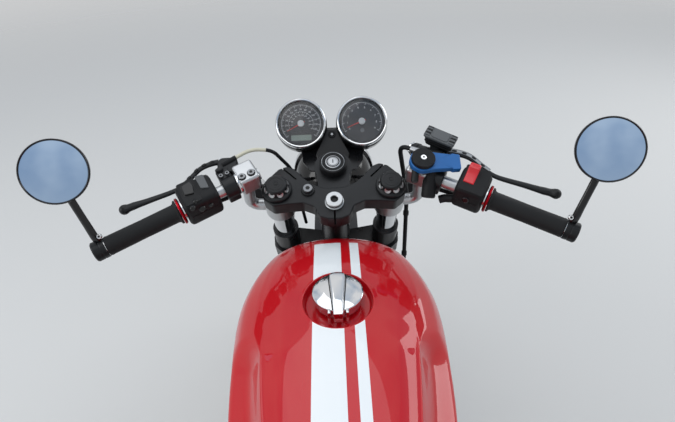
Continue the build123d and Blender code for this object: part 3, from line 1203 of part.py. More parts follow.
def control_cables():
    """The switches' wires into the headlamp's shell and the clutch cable down to the lower yoke."""
    looms = []
    for late, side in ((0, -1), (12, 1)):
        x, y, z = tuple((bar_place(SWITCH_START + late) * Pos(0, -24, 2)).position)
        run = [(x, y, z), (x - 26, y + 20, z - 12), (170, 30, -30), (122, 44, -50), (80, 78, -84), (52, 98, -112)]
        looms.append(bent([(side * a, b, c) for a, b, c in run], LOOM_R, [12, 14, 18, 14]))
    x, y, z = tuple((bar_place(PERCH_START + 8) * Pos(46, 8, 0)).position)
    clutch = bent([(-x, y, z), (-150, 66, 42), (-112, 70, 30), (-82, 68, -30), (-66, 40, -200)],
                  3.5, [14, 20, 40])
    placed = [fork_placed(from_top(0, 0, 0) * cable) for cable in (*looms, clutch)]
    return Part() + placed - headlamp() - levers() - switch_blocks() - lower_yoke()


def rear_caliper():
    """Small caliper over the rear disc, on a torque plate above the arm."""
    x = REAR_DISC_X
    y, z = REAR_AXLE_Y + 70, REAR_AXLE_Z + 74
    body = Pos(x, y, z) * Rot(45, 0, 0) * Box(40, 66, 44)
    body = fillet(body.edges(), 7)
    gap = rod((x - DISC_T / 2 - 2, REAR_AXLE_Y, REAR_AXLE_Z), (x + DISC_T / 2 + 2, REAR_AXLE_Y, REAR_AXLE_Z),
              REAR_DISC_R + 4)
    lug = plate([(y - 30, z - 6), (y + 26, z - 2), (y + 30, REAR_AXLE_Z + 10), (y - 20, REAR_AXLE_Z + 10)], 8, 102)
    return body - gap + lug - swingarm()


def front_place(shape):
    """Moves a wheel piece to the front axle."""
    return Pos(0, FRONT_AXLE_Y, FRONT_AXLE_Z) * shape


def rear_place(shape):
    """Moves a wheel piece to the rear axle."""
    return Pos(0, REAR_AXLE_Y, REAR_AXLE_Z) * shape


def parts():
    """Every piece by its node name."""
    cradle = frame_cradle()
    case = crankcase()
    return {
        "frame_spine": frame_spine(),
        "frame_cradle": cradle,
        "frame_rear": frame_rear(),
        "swingarm": swingarm(),
        "shock_absorbers": shock_absorbers(),
        "crankcase": case,
        "engine_covers": engine_covers(),
        "cylinders": cylinders(),
        "cylinder_head": cylinder_head(),
        "intake": intake(),
        "exhaust_headers": headers(),
        "silencers": silencers(),
        "oil_cooler": oil_cooler(),
        "fuel_tank": fuel_tank(),
        "fuel_cap": fuel_cap(),
        "seat_pad": seat_pad(),
        "seat_cowl": seat_cowl(),
        "side_panels": side_panels(),
        "rear_fender": rear_fender(),
        "tail_lamp": tail_lamp(),
        "rear_indicators": rear_indicators(),
        "footrests": footrests(),
        "chain": chain(),
        "chain_guard": chain_guard(),
        "rear_caliper": rear_caliper(),
        "centre_stand": centre_stand(),
        "side_stand": side_stand(),
        "rear_tyre": rear_place(tyre(REAR_TYRE_R, REAR_TYRE_W, REAR_RIM_W)),
        "rear_wheel": rear_place(wire_wheel(REAR_RIM_W, REAR_FLANGE_R, 5)),
        "rear_disc": rear_place(brake_disc(REAR_DISC_R, REAR_DISC_X, 30)),
        "rear_sprocket": rear_place(sprocket()),
        "front_tyre": front_place(tyre(FRONT_TYRE_R, FRONT_TYRE_W, FRONT_RIM_W)),
        "front_wheel": front_place(wire_wheel(FRONT_RIM_W, FRONT_FLANGE_R, 0)),
        "front_disc": front_place(brake_disc(FRONT_DISC_R, FRONT_DISC_X, 36)),
        "top_yoke": top_yoke(),
        "stem_nut": stem_nut(),
        "ignition_switch": ignition_switch(),
        "lower_yoke": lower_yoke(),
        "fork_tubes": fork_tubes(),
        "fork_caps": fork_caps(),
        "fork_sliders": fork_sliders(),
        "clip_ons": clip_ons(),
        "grips": grips(),
        "switch_blocks": switch_blocks(),
        "levers": levers(),
        "master_cylinder": master_cylinder(),
        "phone_mount": phone_mount(),
        "mirrors": mirrors(),
        "mirror_glasses": mirror_glasses(),
        "gauges": gauges(),
        "gauge_bezels": gauge_bezels(),
        "gauge_bracket": gauge_bracket(),
        "headlamp": headlamp(),
        "headlamp_lens": headlamp_lens(),
        "headlamp_ears": headlamp_ears(),
        "front_indicators": indicators(LAMP_Y - 80, LAMP_Z, LAMP_R + 6 + CLEAR, 62, 20),
        "front_fender": front_fender(),
        "front_caliper": front_caliper(),
        "brake_hose": brake_hose(),
        "control_cables": control_cables(),
    }


os.makedirs("parts", exist_ok=True)
for name, shape in parts().items():
    print(name, round(shape.volume), len(shape.solids()))
    export_step(Pos(0, -MIDDLE_Y, 0) * shape, f"parts/{name}.step")
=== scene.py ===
"""Looks of the cafe racer motorcycle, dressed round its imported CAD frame.

Lengths in the classes are millimetres. Meshes are written in metres, in the frame's own place.
"""

import json
import logging
from dataclasses import dataclass
from enum import Enum
from math import cos, pi, radians, sin

import bmesh
import bpy
import numpy as np
from mathutils import Matrix

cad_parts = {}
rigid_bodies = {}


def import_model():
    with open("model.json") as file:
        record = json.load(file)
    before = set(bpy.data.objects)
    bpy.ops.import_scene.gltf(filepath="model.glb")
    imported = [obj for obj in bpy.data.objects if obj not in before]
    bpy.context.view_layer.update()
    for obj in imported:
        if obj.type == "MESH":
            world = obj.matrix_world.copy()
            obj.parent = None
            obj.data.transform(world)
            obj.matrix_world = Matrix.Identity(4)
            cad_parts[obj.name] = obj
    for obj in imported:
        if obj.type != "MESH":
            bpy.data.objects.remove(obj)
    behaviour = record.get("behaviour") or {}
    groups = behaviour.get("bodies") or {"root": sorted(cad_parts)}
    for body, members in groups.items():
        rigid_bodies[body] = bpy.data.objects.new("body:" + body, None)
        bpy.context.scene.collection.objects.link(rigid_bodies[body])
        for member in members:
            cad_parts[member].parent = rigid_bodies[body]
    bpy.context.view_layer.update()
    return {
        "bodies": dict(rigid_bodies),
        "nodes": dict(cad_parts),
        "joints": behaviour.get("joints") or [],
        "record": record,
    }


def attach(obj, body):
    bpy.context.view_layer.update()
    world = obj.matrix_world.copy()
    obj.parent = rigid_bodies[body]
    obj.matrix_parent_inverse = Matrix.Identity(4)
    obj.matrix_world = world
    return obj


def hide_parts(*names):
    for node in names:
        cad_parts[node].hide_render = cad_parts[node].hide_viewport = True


LOG = logging.getLogger("cafe_racer")
MM = 0.001
PHOTO_WIDTH = 675

# Places shared with the frame, in millimetres

RAKE = radians(24.5)
FORK_TOP = np.array([0.0, 459.53, 924.36])
FORK_FORWARD = np.array([0.0, cos(RAKE), sin(RAKE)])
FORK_UP = np.array([0.0, -sin(RAKE), cos(RAKE)])
FORK_HALF = 105.0
BAR_START = np.array([152.0, 8.0, 32.0])
BAR_END = np.array([388.0, -126.0, 38.0])
FRONT_AXLE = np.array([0.0, 742.0, 319.0])
REAR_AXLE = np.array([0.0, -656.0, 334.0])
SWINGARM_PIVOT = (-118.0, 385.0)
# Degrees by which each wheel's first spoke stands on from forward
SPIN = {"front": 0.0, "rear": 5.0}
# Inner radius of what clamps on the 22 mm bars
BAR_BORE = 11.4


def fork(points: np.ndarray) -> np.ndarray:
    """Moves points from the fork's place, with z up the tubes from their top, into the frame's.

    Args:
        points: Millimetres in the fork's place, any shape ending in 3.

    Returns:
        Millimetres in the frame's place: top + x * X + y * forward + z * up.
    """
    p = np.asarray(points, float)
    side = p[..., :1] * np.array([1.0, 0.0, 0.0])
    return FORK_TOP + side + p[..., 1:2] * FORK_FORWARD + p[..., 2:] * FORK_UP


def on_bar(points: np.ndarray) -> np.ndarray:
    """Moves points from the right bar's place into the frame's.

    Args:
        points: Millimetres with x forwards, y up and z outwards along the bar.

    Returns:
        Millimetres in the frame's place.
    """
    p = np.asarray(points, float)
    along = (BAR_END - BAR_START) / np.linalg.norm(BAR_END - BAR_START)
    across = np.cross([0.0, 0.0, 1.0], along)
    across /= np.linalg.norm(across)
    up = np.cross(along, across)
    return fork(BAR_START + p[..., :1] * across + p[..., 1:2] * up + p[..., 2:] * along)


# Surfaces


def turned(profile: list[tuple[float, float]], sides: int = 48) -> np.ndarray:
    """Turns a profile about z: point = (r cos a, r sin a, z).

    Args:
        profile: Radius and height of each ring.
        sides: Points round each ring.

    Returns:
        A grid of rings by sides by 3.
    """
    rz = np.asarray(profile, float)
    a = np.linspace(0, 2 * pi, sides, endpoint=False)
    ring = np.stack([np.cos(a), np.sin(a)], -1)
    flat = rz[:, None, :1] * ring[None]
    return np.concatenate([flat, np.broadcast_to(rz[:, None, 1:], flat.shape[:2] + (1,))], -1)


def basis(origin: np.ndarray, axis: np.ndarray, up: np.ndarray = (0.0, 0.0, 1.0)) -> np.ndarray:
    """Gives a 4 by 3 place: three unit rows for x, y and z (z along the axis), then the origin."""
    z = np.asarray(axis, float)
    z = z / np.linalg.norm(z)
    x = np.cross(up, z)
    if np.linalg.norm(x) < 1e-6:
        x = np.cross((0.0, 1.0, 0.0), z)
    x = x / np.linalg.norm(x)
    return np.array([x, np.cross(z, x), z, np.asarray(origin, float)])


def placed(points: np.ndarray, place: np.ndarray) -> np.ndarray:
    """Moves points into a place: origin + x * first row + y * second row + z * third row."""
    return place[3] + points[..., :1] * place[0] + points[..., 1:2] * place[1] + points[..., 2:] * place[2]


def placed_shift(place: np.ndarray, along: float) -> np.ndarray:
    """Gives a place moved along its z."""
    moved = place.copy()
    moved[3] = place[3] + along * place[2]
    return moved


def through(points: np.ndarray, count: int) -> np.ndarray:
    """Draws smooth lines through points with cubic pieces (Catmull-Rom: each tangent is half the chord
    between a point's neighbours).

    Args:
        points: One or more rows of points, shape (..., k, d).
        count: How many points come back along each row.

    Returns:
        An array of shape (..., count, d).
    """
    p = np.asarray(points, float)
    first = 2 * p[..., :1, :] - p[..., 1:2, :]
    last = 2 * p[..., -1:, :] - p[..., -2:-1, :]
    padded = np.concatenate([first, p, last], -2)
    t = np.linspace(0, p.shape[-2] - 1 - 1e-9, count)
    i = t.astype(int)
    f = (t - i)[:, None]
    a, b, c, d = (padded[..., i + k, :] for k in range(4))
    return 0.5 * (2 * b + (c - a) * f + (2 * a - 5 * b + 4 * c - d) * f**2 + (3 * b - a - 3 * c + d) * f**3)


def tube(line: np.ndarray, radius, sides: int = 16, flat: float = 1.0, up=(0.0, 0.0, 1.0)) -> np.ndarray:
    """Carries a ring along a line: point = line + r (cos a * side + flat * sin a * top), closed at its ends.

    Args:
        line: The middle line.
        radius: One radius or one for each point.
        sides: Points round the ring.
        flat: The ring's height over its width.
        up: The direction that the ring's top leans towards.

    Returns:
        A grid of rings by sides by 3 with closed ends.
    """
    line = np.asarray(line, float)
    run = np.gradient(line, axis=0)
    run /= np.linalg.norm(run, axis=1, keepdims=True)
    side = np.cross(run, np.asarray(up, float))
    side /= np.linalg.norm(side, axis=1, keepdims=True)
    top = np.cross(side, run)
    r = np.broadcast_to(np.asarray(radius, float), len(line))[:, None, None]
    a = np.linspace(0, 2 * pi, sides, endpoint=False)[None, :, None]
    rings = line[:, None] + r * (np.cos(a) * side[:, None] + flat * np.sin(a) * top[:, None])
    ends = [np.broadcast_to(line[k][None, None], (1, sides, 3)) for k in (0, -1)]
    return np.concatenate([ends[0], rings, ends[1]])


def block(size: tuple[float, float, float], edge: float, bulge: float = 0.0) -> np.ndarray:
    """Makes a rounded block as stacked superellipse rings, centred on the origin.

    The ring at height z is (a sign(cos) |cos|^p, b sign(sin) |sin|^p) with p = 0.35, drawn in by the
    quarter circle of its edge radius at both ends.

    Args:
        size: Lengths along x, y and z.
        edge: Radius of its rounded ends.
        bulge: How far its middle swells out.

    Returns:
        A closed grid of rings by sides by 3.
    """
    a = np.linspace(0, 2 * pi, 40, endpoint=False)
    power = 0.35
    ring = np.stack([np.sign(np.cos(a)) * np.abs(np.cos(a)) ** power,
                     np.sign(np.sin(a)) * np.abs(np.sin(a)) ** power])
    t = np.linspace(0, pi / 2, 5)
    half = size[2] / 2
    z = np.concatenate([[-half], -half + edge * (1 - np.cos(t)), half - edge * (1 - np.cos(t))[::-1], [half]])
    inset = np.concatenate([[size[0]], edge * (1 - np.sin(t)), edge * (1 - np.sin(t))[::-1], [size[0]]])
    rows = []
    for height, draw in zip(z, inset):
        swell = bulge * cos(pi * height / size[2])
        wide = max(size[0] / 2 - draw + swell, 0.0)
        deep = max(size[1] / 2 - draw + swell, 0.0)
        rows.append(np.stack([wide * ring[0], deep * ring[1], np.full(len(a), height)], -1))
    return np.array(rows)


def prism(outline: list[tuple[float, float]], bottom: float, top: float, bevel: float = 0.6) -> np.ndarray:
    """Raises an outline from bottom to top, its rims drawn in towards its middle by the bevel.

    Args:
        outline: Corner points that run round once.
        bottom: Lower height.
        top: Upper height.
        bevel: Width of the rim's slope.

    Returns:
        A closed grid of rings by corners by 3.
    """
    xy = np.asarray(outline, float)
    middle = xy.mean(0)
    reach = np.linalg.norm(xy - middle, axis=1, keepdims=True)
    drawn = middle + (xy - middle) * (1 - bevel / reach)
    step = np.sign(top - bottom) * bevel
    rows = [(np.broadcast_to(middle, xy.shape), bottom), (drawn, bottom), (xy, bottom + step),
            (xy, top - step), (drawn, top), (np.broadcast_to(middle, xy.shape), top)]
    return np.array([np.column_stack([p, np.full(len(xy), z)]) for p, z in rows])


def rounded_outline(corners: list[tuple[float, float]], radius: float, steps: int = 4) -> np.ndarray:
    """Rounds an outline's corners: each becomes a quadratic arc between points a radius before and after."""
    p = np.asarray(corners, float)
    before = np.roll(p, 1, 0) - p
    after = np.roll(p, -1, 0) - p
    before *= radius / np.linalg.norm(before, axis=1, keepdims=True)
    after *= radius / np.linalg.norm(after, axis=1, keepdims=True)
    t = np.linspace(0, 1, steps + 1)[None, :, None]
    arcs = (1 - t) ** 2 * (p + before)[:, None] + 2 * t * (1 - t) * p[:, None] + t**2 * (p + after)[:, None]
    return arcs.reshape(-1, 2)


def bent(corners: list[tuple[float, float, float]], bends: list[float], steps: int = 8) -> np.ndarray:
    """Rounds an open line's inner corners with quadratic arcs, each about its bend radius long at a side."""
    p = np.asarray(corners, float)
    line = [p[:1]]
    t = np.linspace(0, 1, steps + 1)[:, None]
    for k, bend in enumerate(bends, 1):
        before, after = p[k - 1] - p[k], p[k + 1] - p[k]
        turn = np.arccos(np.clip(before @ after / np.linalg.norm(before) / np.linalg.norm(after), -1, 1))
        reach = min(bend / np.tan(turn / 2), np.linalg.norm(before) / 2, np.linalg.norm(after) / 2)
        a = p[k] + before / np.linalg.norm(before) * reach
        b = p[k] + after / np.linalg.norm(after) * reach
        line.append((1 - t) ** 2 * a + 2 * t * (1 - t) * p[k] + t**2 * b)
    line.append(p[-1:])
    return np.concatenate(line)


def stepped(line: np.ndarray, step: float) -> np.ndarray:
    """Gives points along a line at even steps of about the given length."""
    run = np.concatenate([[0.0], np.cumsum(np.linalg.norm(np.diff(line, axis=0), axis=1))])
    keep = np.concatenate([[True], np.diff(run) > 1e-6])
    at = np.linspace(0, run[-1], max(int(run[-1] / step), 2) + 1)
    return np.stack([np.interp(at, run[keep], line[keep, k]) for k in range(3)], -1)


def superellipse(wide: float, deep: float, power: float = 0.4, count: int = 40) -> np.ndarray:
    """Gives a rounded rectangle's ring: (wide sign(cos) |cos|^p, deep sign(sin) |sin|^p) / 2."""
    a = np.linspace(0, 2 * pi, count, endpoint=False)
    c, s = np.cos(a), np.sin(a)
    return np.stack([wide / 2 * np.sign(c) * np.abs(c) ** power, deep / 2 * np.sign(s) * np.abs(s) ** power],
                    -1)


def lofted(rows: list[tuple[float, float, float, float, float]], power: float = 0.4) -> np.ndarray:
    """Stacks rounded rectangles along z, closed at both ends.

    Args:
        rows: z, width, depth and the middle's x and y of each ring.
        power: How square the rings are.

    Returns:
        A closed grid of rings by 40 by 3.
    """
    rings = []
    for z, wide, deep, x, y in rows:
        ring = superellipse(wide, deep, power) + (x, y)
        rings.append(np.column_stack([ring, np.full(len(ring), z)]))
    first, last = rings[0], rings[-1]
    ends = [np.broadcast_to(r.mean(0), r.shape) for r in (first, last)]
    return np.array([ends[0], *rings, ends[1]])


def socket_bolt(mesh: "Mesh", dark: "Mesh", place: np.ndarray, radius: float, height: float) -> None:
    """Adds a socket bolt's turned head to one mesh and, to the other, a dark six-sided sheet at its top:
    painted shade for the socket's hole.
    """
    head = [(0, 0), (radius, 0), (radius, height - 0.5), (radius - 0.5, height), (radius * 0.56, height),
            (radius * 0.5, height - 0.1), (0, height - 0.1)]
    mesh.lathe(head, 24, place)
    hexagon = [(0, height - 0.12), (radius * 0.5, height - 0.12), (radius * 0.5, height + 0.02),
               (0, height + 0.02)]
    dark.lathe(hexagon, 6, place)


class Mesh:
    """Grids of points gathered into one mesh."""

    def __init__(self) -> None:
        """Starts empty."""
        self.points: list[np.ndarray] = []
        self.quads: list[np.ndarray] = []
        self.count = 0

    def lathe(self, profile: list, sides: int, place: np.ndarray) -> "Mesh":
        """Adds a turned shape at a place.

        Args:
            profile: Radius and height of each corner, in millimetres.
            sides: Facets round the axis.
            place: The shape's place, as basis() gives it.

        Returns:
            This mesh.
        """
        return self.add(placed(turned(profile, sides), place))

    def add(self, grid: np.ndarray, ring: bool = True, loop: bool = False) -> "Mesh":
        """Adds one grid.

        Args:
            grid: Rows by columns by 3, in millimetres.
            ring: Whether the last column joins the first.
            loop: Whether the last row joins the first.

        Returns:
            This mesh.
        """
        rows, columns = grid.shape[:2]
        i, j = np.meshgrid(
            np.arange(rows if loop else rows - 1), np.arange(columns if ring else columns - 1), indexing="ij"
        )
        ahead, beside = (i + 1) % rows, (j + 1) % columns
        quads = np.stack([i * columns + j, ahead * columns + j, ahead * columns + beside,
                          i * columns + beside], -1)
        self.quads.append(quads.reshape(-1, 4) + self.count)
        self.points.append(grid.reshape(-1, 3))
        self.count += rows * columns
        return self

    def both(self) -> "Mesh":
        """Adds the mirror image across the middle plane."""
        points, quads = np.concatenate(self.points), np.concatenate(self.quads)
        self.points.append(points * np.array([-1.0, 1.0, 1.0]))
        self.quads.append(quads[:, ::-1] + self.count)
        self.count += len(points)
        return self

    def piece(self, name: str, body: str, finish: "Finish", replaces: tuple[str, ...] = (),
              bevel: float = 0.0, sharp: float = 35.0) -> bpy.types.Object:
        """Makes the piece: doubles merged, faces turned outwards, dressed and set on its body.

        Args:
            name: The piece's name.
            body: The body it rides on.
            finish: Its finish.
            replaces: CAD nodes it stands for.
            bevel: Width of a bevel on its hard edges.
            sharp: Angle past which an edge stays hard.

        Returns:
            The object.
        """
        data = bpy.data.meshes.new(name)
        data.from_pydata((np.concatenate(self.points) * MM).tolist(), [], np.concatenate(self.quads).tolist())
        work = bmesh.new()
        work.from_mesh(data)
        bmesh.ops.remove_doubles(work, verts=work.verts, dist=2e-6)
        bmesh.ops.dissolve_degenerate(work, edges=work.edges, dist=1e-7)
        bmesh.ops.recalc_face_normals(work, faces=work.faces)
        work.to_mesh(data)
        work.free()
        data.shade_smooth()
        data.set_sharp_from_angle(angle=radians(sharp))
        obj = bpy.data.objects.new(name, data)
        bpy.context.scene.collection.objects.link(obj)
        if bevel:
            rounding = obj.modifiers.new("rounding", "BEVEL")
            rounding.width = bevel * MM
            rounding.segments = 2
            rounding.limit_method = "ANGLE"
            rounding.angle_limit = radians(sharp)
        data.materials.append(finish.material())
        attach(obj, body)
        if replaces:
            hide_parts(*replaces)
        return obj


# Finishes


def linear(code: str, alpha: float = 1.0) -> tuple[float, float, float, float]:
    """Turns an sRGB hex colour into linear values.

    Args:
        code: Six hex digits.
        alpha: The fourth value.

    Returns:
        Linear red, green and blue, then alpha.
    """
    s = np.array([int(code[k : k + 2], 16) / 255 for k in (0, 2, 4)])
    low = s / 12.92
    high = ((s + 0.055) / 1.055) ** 2.4
    r, g, b = np.where(s <= 0.04045, low, high)
    return float(r), float(g), float(b), alpha


def node(tree: bpy.types.NodeTree, kind: str, values: dict | None = None, links: dict | None = None,
         **settings) -> bpy.types.Node:
    """Adds one shader node.

    Args:
        tree: The material's node tree.
        kind: The node's type name.
        values: Input values by socket name or number.
        links: Output sockets to join, by input name or number.
        **settings: Properties of the node.

    Returns:
        The node.
    """
    new = tree.nodes.new(kind)
    for key, value in settings.items():
        setattr(new, key, value)
    for key, value in (values or {}).items():
        new.inputs[key].default_value = value
    for key, socket in (links or {}).items():
        tree.links.new(socket, new.inputs[key])
    return new


class Grain(Enum):
    """How a surface was made, which gives its fine relief."""

    POLISHED = "polished"
    SPRAYED = "sprayed"
    CAST = "cast"
    BRUSHED = "brushed"
    MOULDED = "moulded"
    HIDE = "hide"
    KNURLED = "knurled"


@dataclass(frozen=True)
class Finish:
    """A finish: what the material is, its two near colours, its gloss and its relief.

    The relief's spacing and depth are millimetres. Gloss and colour drift in patches of patch_mm.
    """

    name: str
    slot: str
    colour: str
    shade: str
    metallic: float = 0.0
    roughness: float = 0.5
    spread: float = 0.08
    ior: float = 1.5
    grain: Grain = Grain.MOULDED
    grain_mm: float = 0.8
    depth_mm: float = 0.03
    patch_mm: float = 45.0
    coat: float = 0.0
    coat_roughness: float = 0.03
    sheen: float = 0.0
    transmission: float = 0.0
    axis: int = 2
    specular: float = 0.5
    edge_mm: float = 0.0

    def material(self) -> bpy.types.Material:
        """Builds the material once and gives it back after that."""
        made = bpy.data.materials.get(self.name)
        if made:
            return made
        made = bpy.data.materials.new(self.name)
        made.use_nodes = True
        tree = made.node_tree
        shader = tree.nodes["Principled BSDF"]
        shader.inputs["Metallic"].default_value = self.metallic
        shader.inputs["IOR"].default_value = self.ior
        shader.inputs["Specular IOR Level"].default_value = self.specular
        shader.inputs["Coat Weight"].default_value = self.coat
        shader.inputs["Coat Roughness"].default_value = self.coat_roughness
        shader.inputs["Sheen Weight"].default_value = self.sheen
        shader.inputs["Transmission Weight"].default_value = self.transmission
        place = node(tree, "ShaderNodeTexCoord").outputs["Object"]
        patches = node(tree, "ShaderNodeTexNoise", {"Scale": 1 / (self.patch_mm * MM), "Detail": 3.0},
                       {"Vector": place}).outputs["Fac"]
        gloss = node(tree, "ShaderNodeMapRange",
                     {"From Min": 0.3, "From Max": 0.7, "To Min": max(self.roughness - self.spread, 0.01),
                      "To Max": self.roughness + self.spread}, {"Value": patches})
        tree.links.new(gloss.outputs["Result"], shader.inputs["Roughness"])
        tree.links.new(self.colours(tree, place, patches), shader.inputs["Base Color"])
        if self.grain != Grain.POLISHED:
            links = {"Height": self.relief(tree, place)}
            if self.edge_mm:
                links["Normal"] = node(tree, "ShaderNodeBevel",
                                       {"Radius": self.edge_mm * MM}).outputs["Normal"]
            relief = node(tree, "ShaderNodeBump", {"Strength": 1.0, "Distance": self.depth_mm * MM}, links)
            tree.links.new(relief.outputs["Normal"], shader.inputs["Normal"])
        return made

    def colours(self, tree: bpy.types.NodeTree, place: bpy.types.NodeSocket,
                patches: bpy.types.NodeSocket) -> bpy.types.NodeSocket:
        """Mixes the two near colours by the patches."""
        return node(tree, "ShaderNodeMix", {6: linear(self.colour), 7: linear(self.shade)}, {0: patches},
                    data_type="RGBA").outputs[2]

    def relief(self, tree: bpy.types.NodeTree, place: bpy.types.NodeSocket) -> bpy.types.NodeSocket:
        """Draws the relief's height at its real spacing."""
        scale = 1 / (self.grain_mm * MM)
        if self.grain == Grain.BRUSHED:
            stretch = [scale] * 3
            stretch[self.axis] = scale / 40
            lines = node(tree, "ShaderNodeMapping", {"Scale": stretch}, {"Vector": place}).outputs["Vector"]
            return node(tree, "ShaderNodeTexNoise", {"Scale": 1.0, "Detail": 2.0},
                        {"Vector": lines}).outputs["Fac"]
        if self.grain == Grain.HIDE:
            cells = node(tree, "ShaderNodeTexVoronoi", {"Scale": scale}, {"Vector": place},
                         feature="DISTANCE_TO_EDGE").outputs["Distance"]
            return node(tree, "ShaderNodeMapRange", {"From Max": 0.18}, {"Value": cells}).outputs["Result"]
        if self.grain == Grain.KNURLED:
            return node(tree, "ShaderNodeTexVoronoi", {"Scale": scale, "Randomness": 0.0},
                        {"Vector": place}).outputs["Distance"]
        detail = {Grain.CAST: 5.0, Grain.MOULDED: 3.0}.get(self.grain, 1.0)
        return node(tree, "ShaderNodeTexNoise", {"Scale": scale, "Detail": detail, "Roughness": 0.6},
                    {"Vector": place}).outputs["Fac"]


@dataclass(frozen=True)
class StripedEnamel(Finish):
    """Red enamel under clear lacquer with two white stripes along the middle, edges in millimetres."""

    stripe: str = "E9EEF0"
    edges: tuple[float, float, float, float] = (-40.0, 8.0, 24.0, 40.0)
    dish_y: float = 248.0
    dish: tuple[float, float] = (58.0, 61.0)
    stripe_end: float = 398.0

    def colours(self, tree: bpy.types.NodeTree, place: bpy.types.NodeSocket,
                patches: bpy.types.NodeSocket) -> bpy.types.NodeSocket:
        """Lays the stripes over the enamel: white where x lies between a stripe's edges, outside the
        filler's dish (an ellipse: the length of (x / a, (y - dish_y) / b) is over 1)."""
        enamel = super().colours(tree, place, patches)
        x = node(tree, "ShaderNodeSeparateXYZ", links={0: place}).outputs["X"]
        steps = []
        for edge in self.edges:
            steps.append(node(tree, "ShaderNodeMath", {1: edge * MM}, {0: x},
                              operation="GREATER_THAN").outputs[0])
        wide = node(tree, "ShaderNodeMath", links={0: steps[0], 1: steps[1]}, operation="SUBTRACT").outputs[0]
        narrow = node(tree, "ShaderNodeMath", links={0: steps[2], 1: steps[3]},
                      operation="SUBTRACT").outputs[0]
        both = node(tree, "ShaderNodeMath", links={0: wide, 1: narrow}, operation="ADD").outputs[0]
        shift = node(tree, "ShaderNodeVectorMath", {1: (0.0, -self.dish_y * MM, 0.0)}, {0: place}).outputs[0]
        scaled = node(tree, "ShaderNodeVectorMath", {1: (1 / (self.dish[0] * MM), 1 / (self.dish[1] * MM),
                                                         0.0)}, {0: shift}, operation="MULTIPLY").outputs[0]
        away = node(tree, "ShaderNodeVectorMath", links={0: scaled}, operation="LENGTH").outputs["Value"]
        outside = node(tree, "ShaderNodeMath", {1: 1.0}, {0: away}, operation="GREATER_THAN").outputs[0]
        along = node(tree, "ShaderNodeSeparateXYZ", links={0: place}).outputs["Y"]
        behind = node(tree, "ShaderNodeMath", {1: self.stripe_end * MM}, {0: along},
                      operation="LESS_THAN").outputs[0]
        laid = node(tree, "ShaderNodeMath", links={0: both, 1: behind}, operation="MULTIPLY").outputs[0]
        white = node(tree, "ShaderNodeMath", links={0: laid, 1: outside}, operation="MULTIPLY").outputs[0]
        return node(tree, "ShaderNodeMix", {7: linear(self.stripe)}, {0: white, 6: enamel},
                    data_type="RGBA").outputs[2]


# Enamel sprayed over steel and lacquered: deep red, wet gloss with a faint orange peel
ENAMEL = StripedEnamel("red_enamel_striped", "tank_paint", "C4101B", "B50D18", 0.0, 0.3, 0.04, 1.5,
                       Grain.SPRAYED, 6.0, 0.012, 160.0, 1.0, 0.02, specular=0.1)
PLAIN_ENAMEL = Finish("red_enamel", "tank_paint", "C4101B", "B50D18", 0.0, 0.3, 0.04, 1.5, Grain.SPRAYED, 6.0,
                      0.012, 160.0, 1.0, 0.02, specular=0.1)
# Decorative chrome plate: mirror bright, with the faintest haze from polishing
CHROME = Finish("chrome_plate", "chrome", "E4E6E8", "D8DADC", 1.0, 0.06, 0.03, 1.5, Grain.POLISHED)
# Stainless steel, ground along its length
STEEL = Finish("brushed_stainless", "bright_steel", "B9BBBD", "A2A4A7", 1.0, 0.3, 0.08, 1.5, Grain.BRUSHED,
               0.4, 0.02)
# Zinc-plated small bolts: duller than the stainless
BOLT_STEEL = Finish("zinc_plated_steel", "bright_steel", "8A8C8E", "76787B", 1.0, 0.36, 0.08, 1.5,
                    Grain.BRUSHED, 0.4, 0.02)
# Sand-cast aluminium painted grey: fine pits, satin
CAST_ALLOY = Finish("cast_aluminium", "engine_alloy", "86888A", "77797B", 1.0, 0.48, 0.1, 1.5, Grain.CAST,
                    1.2, 0.12, edge_mm=1.5)
BARREL_ALLOY = Finish("black_engine_enamel", "engine_alloy", "2A2B2D", "202123", 0.0, 0.45, 0.08, 1.5,
                      Grain.CAST, 1.2, 0.1)
# Polished engine covers: bright with soft buffing marks
POLISHED_ALLOY = Finish("buffed_aluminium", "cover_alloy", "C9CBCD", "B8BABC", 1.0, 0.2, 0.07, 1.5,
                        Grain.BRUSHED, 0.5, 0.012)
# Silver anodised aluminium of the clip-ons: even, satin, a little pearly
SILVER_ALLOY = Finish("silver_anodised_aluminium", "bar_alloy", "C2C4C5", "B4B6B8", 1.0, 0.36, 0.06, 1.5,
                      Grain.CAST, 0.7, 0.04)
# Black anodised yoke, bead blasted first
BLACK_ALLOY = Finish("black_anodised_aluminium", "yoke_alloy", "1B1C1E", "151719", 0.3, 0.38, 0.06, 1.5,
                     Grain.CAST, 0.6, 0.03, specular=0.4, edge_mm=1.2)
# Powder coat on the frame: black, satin, slight orange peel
POWDER = Finish("black_powder_coat", "frame_black", "131416", "191A1C", 0.0, 0.32, 0.08, 1.5, Grain.SPRAYED,
                2.2, 0.03, specular=0.4, edge_mm=1.0)
# Glass-filled nylon of switch housings: matt and slightly grainy
NYLON = Finish("black_nylon", "black_plastic", "121315", "18191B", 0.0, 0.48, 0.08, 1.42, Grain.MOULDED, 0.6,
               0.04, specular=0.3)
GLOSS_BLACK = Finish("black_gloss_lacquer", "gloss_black", "0C0D0E", "101113", 0.0, 0.16, 0.04, 1.5,
                     Grain.SPRAYED, 5.0, 0.01, coat=0.25, specular=0.35)
# Grey moulded plastic of the slider and the reservoir's lid
GREY_PLASTIC = Finish("grey_moulded_plastic", "black_plastic", "55585A", "4D5052", 0.0, 0.42, 0.06, 1.5,
                      Grain.MOULDED, 0.6, 0.03)
# Grey metal: the lock's thin line, and a painted highlight along the right lever's upper face, where the
# black lever catches the light
GREY_LINE_AND_LEVER_HIGHLIGHT = Finish("grey_line_and_lever_highlight", "bar_alloy", "8D9092", "7F8285", 1.0, 0.34, 0.06, 1.5,
                    Grain.BRUSHED, 0.4, 0.015)
